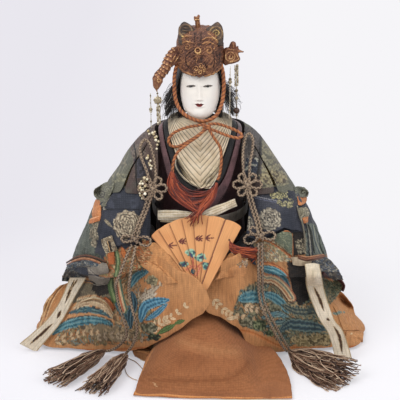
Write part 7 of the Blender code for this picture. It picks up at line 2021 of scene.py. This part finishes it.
pendants = {
    "pendant_left_front": {"top": (157.2, 90.0), "low": (159.2, 124.0), "y": -0.0163, "marks": [(0.10, 0.0010), (0.30, 0.0036), (0.44, 0.0014)], "chain": (0.48, 1.0)},
    "pendant_left_back": {"top": (150.4, 93.0), "low": (151.2, 128.4), "y": -0.0133, "marks": [(0.08, 0.0008), (0.46, 0.0018), (0.52, 0.0014), (0.80, 0.0010)], "chain": None},
    "pendant_right_front": {"top": (230.4, 66.0), "low": (229.4, 118.6), "y": -0.0107, "marks": [(0.25, 0.0016), (0.30, 0.0020), (0.36, 0.0012), (0.66, 0.0012), (0.84, 0.0010)], "chain": None},
    "pendant_right_back": {"top": (236.4, 64.0), "low": (236.6, 119.0), "y": -0.0080, "marks": [(0.48, 0.0016), (0.62, 0.0018), (0.845, 0.0030), (0.93, 0.0012)], "chain": (0.02, 0.40)},
}
for i, (node, fact) in enumerate(pendants.items()):
    top, low = onPlane(*fact["top"], fact["y"]), onPlane(*fact["low"], fact["y"])
    random.seed(40 + i)
    words = node.split("_")
    name = words[1] + words[2].title() + "Pendant"
    places = []
    for share, radius in fact["marks"]:
        places.append((top.lerp(low, share), radius, 0.55))
        if radius > 0.0030 and "left" in node:
            for k in range(8):
                angle = 2 * math.pi * k / 8
                places.append((top.lerp(low, share) + Vector((math.cos(angle), 0, math.sin(angle))) * radius * 0.85, radius * 0.36, 0.8))
    if fact["chain"]:
        a, b = fact["chain"]
        for k in range(26):
            share = a + (b - a) * k / 25
            places.append((top.lerp(low, share) + Vector((0.0011 * (-1) ** k, random.uniform(-0.0006, 0.0006), 0)), random.uniform(0.00075, 0.0012), 0.9))
    for k in range(9):
        places.append((top.lerp(low, (k + 0.5) / 9) + Vector((random.uniform(-1, 1) * 0.0004, 0, 0)), 0.00055, 1.0))
    string = threads(name + "String", [[tuple(top.lerp(low, s) + Vector((wobble * math.sin(5 * s), 0, 0))) for s in (0, 0.2, 0.4, 0.6, 0.8, 1.0)] for wobble in (0.0003, -0.0004)],
                     0.00022, sides=5, thin=1.0, seed=i)
    piece = joined([beads(name, places), string], name)
    dress(piece, silverBead, node, [node], "silvered_beads")
    if node == "pendant_right_back":
        dress(beads("amberBall", [(top.lerp(low, 0.845) + Vector((0, -0.0004, 0)), 0.0031, 1.0)]), amberBead, node, slotName="silvered_beads")
print("pendants strung")


shoulderBeads = [(149, 132), (155, 132.8), (150, 134.8), (154, 135.3), (156.7, 137.3), (156, 141), (158.3, 143), (157, 145.5), (156.5, 149.6), (148, 156.2), (146.8, 158.8),
                 (150.6, 161.3), (149, 163.9), (151.9, 166.4), (151, 169), (144.5, 178.2), (146.5, 178.7), (146, 181.2), (141.4, 181.7), (140.4, 184.3), (139.4, 187.9),
                 (143.2, 187.9), (143, 190.4), (146.5, 190), (139.9, 193), (140.4, 195.5), (142, 198.6), (142.8, 184.0), (145.0, 185.6), (141.0, 190.6), (144.6, 193.4),
                 (147.8, 158.0), (150.0, 165.6), (155.2, 138.4), (157.4, 141.6), (152.4, 133.6)]
carriers = [bpy.data.objects[n] for n in ("leftJacketFront", "leftShoulder", "leftFrogKnots", "leftShoulderLoop", "leftSleeve", "leftFrontSleeve", "navyCollar", "purpleCollar", "leftTwinCord1") if n in bpy.data.objects]
places = []
for i, (u, v) in enumerate(shoulderBeads):
    spot = seat(u, v, carriers, 0.0010)
    if spot is not None:
        places.append((spot, 0.00125 if i % 5 else 0.00155, 0.85))
dress(beads("shoulderBeads", places), pearlBead, slotName="silvered_beads")

# The fan: seven painted slats of cypress

fan = {"pivot": (0.002, -0.093, 0.086), "lean": 25, "length": 0.073, "tail": 0.006, "tip": 0.0176, "root": 0.0068, "round": 0.03, "thick": 0.0007, "pitch": 0.0010,
       "angles": (24.3, 11.4, -0.1, -9, -19, -28.5, -35.6)}
fanUp = Vector((0, math.sin(math.radians(fan["lean"])), math.cos(math.radians(fan["lean"]))))
fanOut = Vector((0, -math.cos(math.radians(fan["lean"])), math.sin(math.radians(fan["lean"]))))


def fanSpot(angle, along, across, layer):
    aside = Vector((1, 0, 0))
    heading = aside * math.sin(angle) + fanUp * math.cos(angle)
    return Vector(fan["pivot"]) + heading * along + (aside * math.cos(angle) - fanUp * math.sin(angle)) * across + fanOut * layer


def cypress():
    # hinoki darkened to orange: straight fine grain along each slat, greyed in the pores
    material, tree, shader = newMaterial("cypress slat, planed and painted")
    grainMap = addNode(tree, "ShaderNodeUVMap", uv_map="slat")
    stretch = addNode(tree, "ShaderNodeMapping", {"Scale": (40.0, 1500.0, 1.0)}, {"Vector": (grainMap, "UV")})
    lines = addNode(tree, "ShaderNodeTexNoise", {"Scale": 1.0, "Detail": 5.0, "Roughness": 0.6}, {"Vector": (stretch, "Vector")})
    dye = addNode(tree, "ShaderNodeAttribute", attribute_name="dye")
    tone = addNode(tree, "ShaderNodeMapRange", {"From Min": 0.3, "From Max": 0.7, "To Min": 0.84, "To Max": 1.08}, {"Value": (lines, "Fac")})
    shaded = addNode(tree, "ShaderNodeVectorMath", links={0: (dye, "Color"), 1: (tone, "Result")}, operation="MULTIPLY")
    tree.links.new(shaded.outputs["Vector"], shader.inputs["Base Color"])
    rough = addNode(tree, "ShaderNodeMapRange", {"To Min": 0.62, "To Max": 0.46}, {"Value": (lines, "Fac")})
    tree.links.new(rough.outputs["Result"], shader.inputs["Roughness"])
    relief = addNode(tree, "ShaderNodeBump", {"Strength": 0.2, "Distance": 0.0002}, {"Height": (lines, "Fac")})
    tree.links.new(relief.outputs["Normal"], shader.inputs["Normal"])
    return material


def arrowBird(u, v, size, colour, barbs=1):
    # a flying bird drawn as a barbed chevron
    ink = (colour, colour)
    marks = [("stripes", [(u + 1.0, v), (u + size * 1.3, v - 0.2)], 0.6, ink)]
    for k in range(barbs):
        u2 = u + 3.0 * k
        marks += [("leaf", [(u2 - 0.6, v + 0.2), (u2 + size * 0.8, v - size * 0.58)], 0.8, ink), ("leaf", [(u2 - 0.6, v - 0.2), (u2 + size * 0.8, v + size * 0.52)], 0.8, ink)]
    return marks


birdInk = "#5C1F14"
pineInk = ("#6B9A86", "#2F4B50", "#A0BFA2")
fanStrokes = (arrowBird(168.6, 245.6, 6.0, birdInk) + arrowBird(178.8, 241.4, 5.6, birdInk, 2) + arrowBird(195.4, 238.6, 5.6, birdInk, 2) + arrowBird(205.4, 238.2, 6.4, birdInk) + [
    ("stripes", [(192.0, 256), (193.2, 264), (192.4, 272), (194.4, 285)], 1.0, ("#8A3F2A", "#C96F4B", "#8A3F2A")),
    ("stripes", [(193.0, 268), (187.6, 263.6)], 0.6, ("#9C4A30", "#C96F4B")), ("stripes", [(193.4, 270), (201.8, 262.6)], 0.6, ("#9C4A30", "#C96F4B")),
    ("clump", (190.9, 253.0), (5.6, 3.9), pineInk), ("clump", (200.6, 257.4), (5.4, 3.9), pineInk), ("clump", (183.2, 264.2), (5.0, 2.9), pineInk),
    ("clump", (205.6, 265.4), (3.6, 3.8), pineInk), ("clump", (192.9, 271.6), (2.4, 2.9), ("#33505C", "#27363E", "#6B9A86")),
    ("leaf", [(189, 252), (193, 258)], 1.4, ("#23375A", "#1C2A45")), ("leaf", [(199, 259), (203, 256)], 1.4, ("#23375A", "#1C2A45")),
    ("leaf", [(182, 265), (186, 264)], 1.1, ("#23375A", "#1C2A45")),
    ("spray", [(186, 270), (194, 266), (201, 268)], 4, 2.6, 0.6, ("#D7836A", "#B65A40")), ("spray", [(196, 276), (200, 268)], 3, 2.4, 0.6, ("#D7836A", "#B65A40")),
])
cypressWood = cypress()
slatBodies = ["slat_1", "slat_2", "slat_3", "slat_4", "slat_5", "slat_6", "doll"]
for i, lean in enumerate(fan["angles"]):
    angle = math.radians(lean)
    layer = fan["pitch"] * ((len(fan["angles"]) - 1) / 2 - i)
    rows = []
    straight = fan["length"] * (1 - fan["round"])
    places = [-fan["tail"] + (straight + fan["tail"]) * k / 120 for k in range(121)]
    facts = []
    for along in places:
        if along < 0:
            half = fan["root"] / 2 * math.sqrt(max(1 - (along / fan["tail"]) ** 2 * 0.75, 0.05))
        elif along < fan["length"] / 2:
            half = fan["root"] / 2 + ((fan["root"] + fan["tip"]) / 4 - fan["root"] / 2) * along / (fan["length"] / 2)
        else:
            half = (fan["root"] + fan["tip"]) / 4 + (fan["tip"] / 2 - (fan["root"] + fan["tip"]) / 4) * (along - fan["length"] / 2) / (straight - fan["length"] / 2)
        facts.append((along, half, 0.0))
    for k in range(1, 7):
        facts.append((straight, fan["tip"] / 2 * (1 - 0.004 * k), k / 6))
    for along, half, dome in facts:
        row = []
        for m in range(31):
            across = m / 15 - 1
            bow = dome * fan["length"] * fan["round"] * math.sqrt(max(1 - across ** 2, 0)) ** 1.2
            row.append(tuple(fanSpot(angle, along + bow, across * half, layer)))
        rows.append(row)
    slat = clothGrid(f"fanSlat{i + 1}", rows, fan["thick"] * 0.8)
    points = getPoints(slat)
    local = points - np.array(fan["pivot"])
    heading, beside = np.array(fanSpot(angle, 1, 0, 0)) - np.array(fan["pivot"]), np.array(fanSpot(angle, 0, 1, 0)) - np.array(fan["pivot"])
    along, across = local @ heading, local @ beside
    uvs = slat.data.uv_layers.new(name="slat")
    loops = np.empty(len(slat.data.loops), int)
    slat.data.loops.foreach_get("vertex_index", loops)
    uvs.data.foreach_set("uv", np.stack([along[loops] + i * 0.31, across[loops]], axis=1).reshape(-1))
    dyeAndShadePiece(slat, "#D89A62", fanStrokes if i else [], ("#CB8650", 14))
    dye = np.empty(len(points) * 4)
    slat.data.attributes["dye"].data.foreach_get("color", dye)
    dye = dye.reshape(-1, 4)
    half = np.interp(along, [f[0] for f in facts], [f[1] for f in facts])
    mixIn(dye, 0.85 * (across < -half + 0.0007), "#8E5733")
    mixIn(dye, 0.55 * (across > half - 0.0005), "#A56A41")
    mixIn(dye, 0.5 * np.clip((0.010 - along) / 0.010, 0, 1), "#A96C43")
    if i == 0:
        mixIn(dye, 0.9 * (across < -half + 0.0012), "#6F3A22")
        mixIn(dye, (np.hypot(along - 0.0555, across - 0.0032) < 0.0009) * 1.0, "#3A1D12")
    slat.data.attributes["dye"].data.foreach_set("color", dye.reshape(-1))
    dress(slat, cypressWood, slatBodies[i], [f"fan_slat_{i + 1}"], "cypress")

fanFront = 0.0034 + 0.0027
fanTie = math.radians(fan["angles"][0])
def looseLoops(count, seed):
    # threads from the guard's hole that fall loosely to the right over the robe
    random.seed(seed)
    start = fanSpot(fanTie, fan["length"] * 0.752, fan["tip"] * 0.22, fanFront - 0.0006)
    paths = []
    for _ in range(count):
        high, low, far = random.uniform(-1.4, 1.6), random.uniform(2, 13), random.uniform(17, 35)
        bow = random.uniform(2.0, 7.0)
        path = [tuple(start + Vector((0, -random.uniform(0, 0.0008), random.uniform(-1, 1) * 0.0004)))]
        for share in (0.22, 0.5, 0.78, 1.0):
            u = 226 + far * share + random.uniform(-0.8, 0.8)
            v = 244 + high * (1 - share) * 2 + (low + 1) * share + bow * math.sin(math.pi * share) * 0.6 + random.uniform(-0.6, 0.6)
            path.append(tuple(onPlane(u, v, start.y - 0.0022 - 0.004 * math.sin(math.pi * share) - random.uniform(0, 0.003))))
        if random.random() < 0.35:
            u, v = 226 + far * 0.86, v + random.uniform(2, 5)
            path.append(tuple(onPlane(u, v, start.y - 0.003)))
        paths.append(path)
    return paths


fanTassel = threads("fanTassel", looseLoops(110, 51), 0.00045, thin=0.85, seed=5)
dress(fanTassel, redThread, "slat_1", ["fan_tassel"], "red_silk")
print("fan painted")

# The pieces kept as modelled: board, peg, rivet and hands

def bareWood():
    # pale paulownia, planed: straight grain lines along the board, a little browner in the pores
    material, tree, shader = newMaterial("paulownia wood, planed")
    place = addNode(tree, "ShaderNodeTexCoord")
    stretch = addNode(tree, "ShaderNodeMapping", {"Scale": (14.0, 260.0, 260.0)}, {"Vector": (place, "Object")})
    lines = addNode(tree, "ShaderNodeTexNoise", {"Scale": 1.0, "Detail": 6.0, "Roughness": 0.6}, {"Vector": (stretch, "Vector")})
    ramp = colourRamp(tree, lines, [(0.3, "#A98B66"), (0.55, "#C6A981"), (0.75, "#D6BE99")])
    tree.links.new(ramp.outputs["Color"], shader.inputs["Base Color"])
    rough = addNode(tree, "ShaderNodeMapRange", {"To Min": 0.7, "To Max": 0.5}, {"Value": (lines, "Fac")})
    tree.links.new(rough.outputs["Result"], shader.inputs["Roughness"])
    relief = addNode(tree, "ShaderNodeBump", {"Strength": 0.3, "Distance": 0.0003}, {"Height": (lines, "Fac")})
    tree.links.new(relief.outputs["Normal"], shader.inputs["Normal"])
    return material


def plainShell():
    # the same shell white as the face, unpainted, a little worn at the knuckles
    material, tree, shader = newMaterial("gofun shell white, on the hands")
    place = addNode(tree, "ShaderNodeTexCoord")
    clouds = addNode(tree, "ShaderNodeTexNoise", {"Scale": 260.0, "Detail": 4.0}, {"Vector": (place, "Object")})
    ramp = colourRamp(tree, clouds, [(0.3, "#E6DDD0"), (0.7, "#F2ECE2")])
    tree.links.new(ramp.outputs["Color"], shader.inputs["Base Color"])
    rough = addNode(tree, "ShaderNodeMapRange", {"To Min": 0.36, "To Max": 0.5}, {"Value": (clouds, "Fac")})
    tree.links.new(rough.outputs["Result"], shader.inputs["Roughness"])
    relief = addNode(tree, "ShaderNodeBump", {"Strength": 0.08, "Distance": 0.0002}, {"Height": (clouds, "Fac")})
    tree.links.new(relief.outputs["Normal"], shader.inputs["Normal"])
    return material


for names, material in (
    (("base_board", "neck_peg"), bareWood()),
    (("hand_left", "hand_right"), plainShell()),
    (("fan_rivet",), agedGilt("iron rivet, hammered", [(0.0, "#17130F"), (0.5, "#332B24"), (1.0, "#5E5246")], metal=0.8, roughness=0.5)),
):
    for name in names:
        for place in nodes[name].material_slots:
            place.material = material

# What each soft piece is, for those who move it later

def clothFacts(piece):
    # flat size from the cloth itself: its width from side to side, and the length that its area then gives
    mesh = piece.data
    areas = np.empty(len(mesh.polygons))
    mesh.polygons.foreach_get("area", areas)
    points = getPoints(piece)
    spans = np.sort(points.max(axis=0) - points.min(axis=0))[::-1]
    area = areas.sum() / 2
    width = max(spans[0], 0.011)
    return area, (width, max(area / width / 0.9, 0.011))


def laySheet(name, held, rests, withPieces=()):
    piece = bpy.data.objects[name]
    area, flat = clothFacts(piece)
    print(f"sheet {name}: flat {flat[0]:.4f} x {flat[1]:.4f}, area {area:.6f}")
    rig.sheet(piece, flat=flat, held=held, rests_on=rests, area=min(area, flat[0] * flat[1]), with_pieces=namedPieces(withPieces))


leftFolds = ["leftCurl", "leftLiningHigh", "leftLiningLow", "leftFlap", "leftFlapLining", "leftCuffLayer", "leftGreyLining", "leftLip1", "leftLip2", "leftLip3"]
rightFolds = ["rightCurlHigh", "rightLiningHigh", "rightCurlLow", "rightLiningLow", "rightLappet", "rightGreyLining", "rightCuffLayer", "rightGoldBrocade"] + [f"rightLip{i}" for i in range(1, 8)]
for name, held, rests, extra in (
    ("hakamaPanel", "draped", ["kneeRoll"], ()),
    ("leftTrainBand", "hung", ["leftRobe"], ()),
    ("rightTrainBand", "hung", ["rightRobe"], ["rightBandTop"]),
    ("sashLoop", "folded", ["kimonoBody"], ["sashUnder"]),
    ("sashTail", "folded", ["kimonoBody"], ()),
    ("leftCuff", "gathered", ["leftArm"], ()),
    ("rightCuff", "gathered", ["rightArm"], ()),
    ("leftLining", "hung", ["leftSleeve"], ()),
    ("rightLining", "hung", ["rightSleeve"], ()),
    ("leftFrontSleeve", "draped", ["leftSleeve"], leftFolds),
    ("rightFrontSleeve", "draped", ["rightSleeve"], rightFolds),
    ("leftRobeFold", "folded", ["leftRobe"], ["leftHem", "leftHemPool", "leftHemFold1", "leftHemFold2"]),
    ("rightRobeFold", "folded", ["rightRobe"], ["rightHem", "rightHemCorner"]),
    ("leftShoulder", "draped", ["kimonoBody"], ()),
    ("rightShoulder", "draped", ["kimonoBody"], ()),
    ("leftJacketFront", "draped", ["kimonoBody"], ()),
    ("rightJacketFront", "draped", ["kimonoBody"], ()),
    ("jacketBack", "draped", ["kimonoBody"], ()),
    ("creamCollars", "folded", ["kimonoBody"], ["leftCreamFoot", "rightCreamFoot"]),
):
    laySheet(name, held, rests, extra)
for name, fill in (("leftRobe", 0.5), ("rightRobe", 0.5), ("leftSleeve", 0.4), ("rightSleeve", 0.4), ("kimonoBody", 0.7), ("navyCollar", 0.4), ("purpleCollar", 0.4), ("sashBelt", 0.5)):
    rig.padded(bpy.data.objects[name], fill)
print("soft pieces named")

# Room and light

def makeRoom():
    bpy.ops.mesh.primitive_plane_add(size=6, location=(0, 0, -0.0002))
    floor = bpy.context.object
    floor.name = "paleFloor"
    # paper that keeps the shadow beside the doll and turns, further off, into a glowing pale wall, darker on the left
    # and lighter on the right as a painted light falloff
    material, tree, shader = newMaterial("white paper, matt")
    shader.inputs["Base Color"].default_value = rgba(studio["floor"])
    shader.inputs["Roughness"].default_value = 0.9
    place = addNode(tree, "ShaderNodeTexCoord")
    apart = addNode(tree, "ShaderNodeVectorMath", links={0: (place, "Object")}, operation="LENGTH")
    far = addNode(tree, "ShaderNodeMapRange", {"From Min": 0.16, "From Max": 0.42, "To Min": 0.40, "To Max": 1.0}, {"Value": (apart, "Value")}, interpolation_type="SMOOTHSTEP")
    path = addNode(tree, "ShaderNodeLightPath")
    seen = addNode(tree, "ShaderNodeMath", links={0: (path, "Is Camera Ray"), 1: (path, "Is Glossy Ray")}, operation="MAXIMUM")
    share = addNode(tree, "ShaderNodeMath", links={0: (far, "Result"), 1: (seen, "Value")}, operation="MULTIPLY")
    # from left to right across the floor, darker to lighter: painted light falloff
    across = addNode(tree, "ShaderNodeSeparateXYZ", links={"Vector": (place, "Object")})
    shift = addNode(tree, "ShaderNodeMapRange", {"From Min": -0.25, "From Max": 0.20}, {"Value": (across, "X")})
    wall = colourRamp(tree, shift, [(0.0, studio["wallLeft"]), (1.0, studio["wallRight"])], "Result")
    glow = addNode(tree, "ShaderNodeEmission", {"Strength": 1.0}, {"Color": (wall, "Color")})
    both = addNode(tree, "ShaderNodeMixShader", links={0: (share, "Value"), 1: (shader, "BSDF"), 2: (glow, "Emission")})
    output = [node for node in tree.nodes if node.type == "OUTPUT_MATERIAL"][0]
    tree.links.new(both.outputs["Shader"], output.inputs["Surface"])
    floor.data.materials.append(material)
    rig.stage(floor)
    for name, spot, turn, size, watts in (
        ("windowLeft", (-0.9, -0.9, 1.3), (48, 0, -45), 0.9, 12.6),
        ("windowRight", (1.0, -0.8, 1.1), (52, 0, 51), 1.1, 8.4),
        ("ceiling", (0, 0.1, 1.6), (0, 0, 0), 1.4, 10.6),
    ):
        lamp = bpy.data.lights.new(name, "AREA")
        lamp.size = size
        lamp.energy = watts
        made = bpy.data.objects.new(name, lamp)
        made.location = spot
        made.rotation_euler = [math.radians(a) for a in turn]
        bpy.context.scene.collection.objects.link(made)
    world = bpy.data.worlds.new("paleRoom")
    bpy.context.scene.world = world
    world.use_nodes = True
    tree = world.node_tree
    tree.nodes.clear()
    path = addNode(tree, "ShaderNodeLightPath")
    seen = addNode(tree, "ShaderNodeMath", links={0: (path, "Is Camera Ray"), 1: (path, "Is Glossy Ray")}, operation="MAXIMUM")
    seenToo = addNode(tree, "ShaderNodeMath", links={0: (seen, "Value"), 1: (path, "Is Transmission Ray")}, operation="MAXIMUM")
    soft = addNode(tree, "ShaderNodeBackground", {"Color": (1, 1, 1, 1), "Strength": 0.40})
    wall = addNode(tree, "ShaderNodeBackground", {"Color": rgba(studio["wall"]), "Strength": 1.0})
    both = addNode(tree, "ShaderNodeMixShader", links={0: (seenToo, "Value"), 1: (soft, "Background"), 2: (wall, "Background")})
    addNode(tree, "ShaderNodeOutputWorld", links={"Surface": (both, "Shader")})


makeRoom()
bpy.context.scene.view_settings.view_transform = "Standard"
print("room lit")

with open("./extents.json", "w") as file:
    json.dump({"cad": [list(c) for c in cadBox], "visual": [list(c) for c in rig.bounds()]}, file)
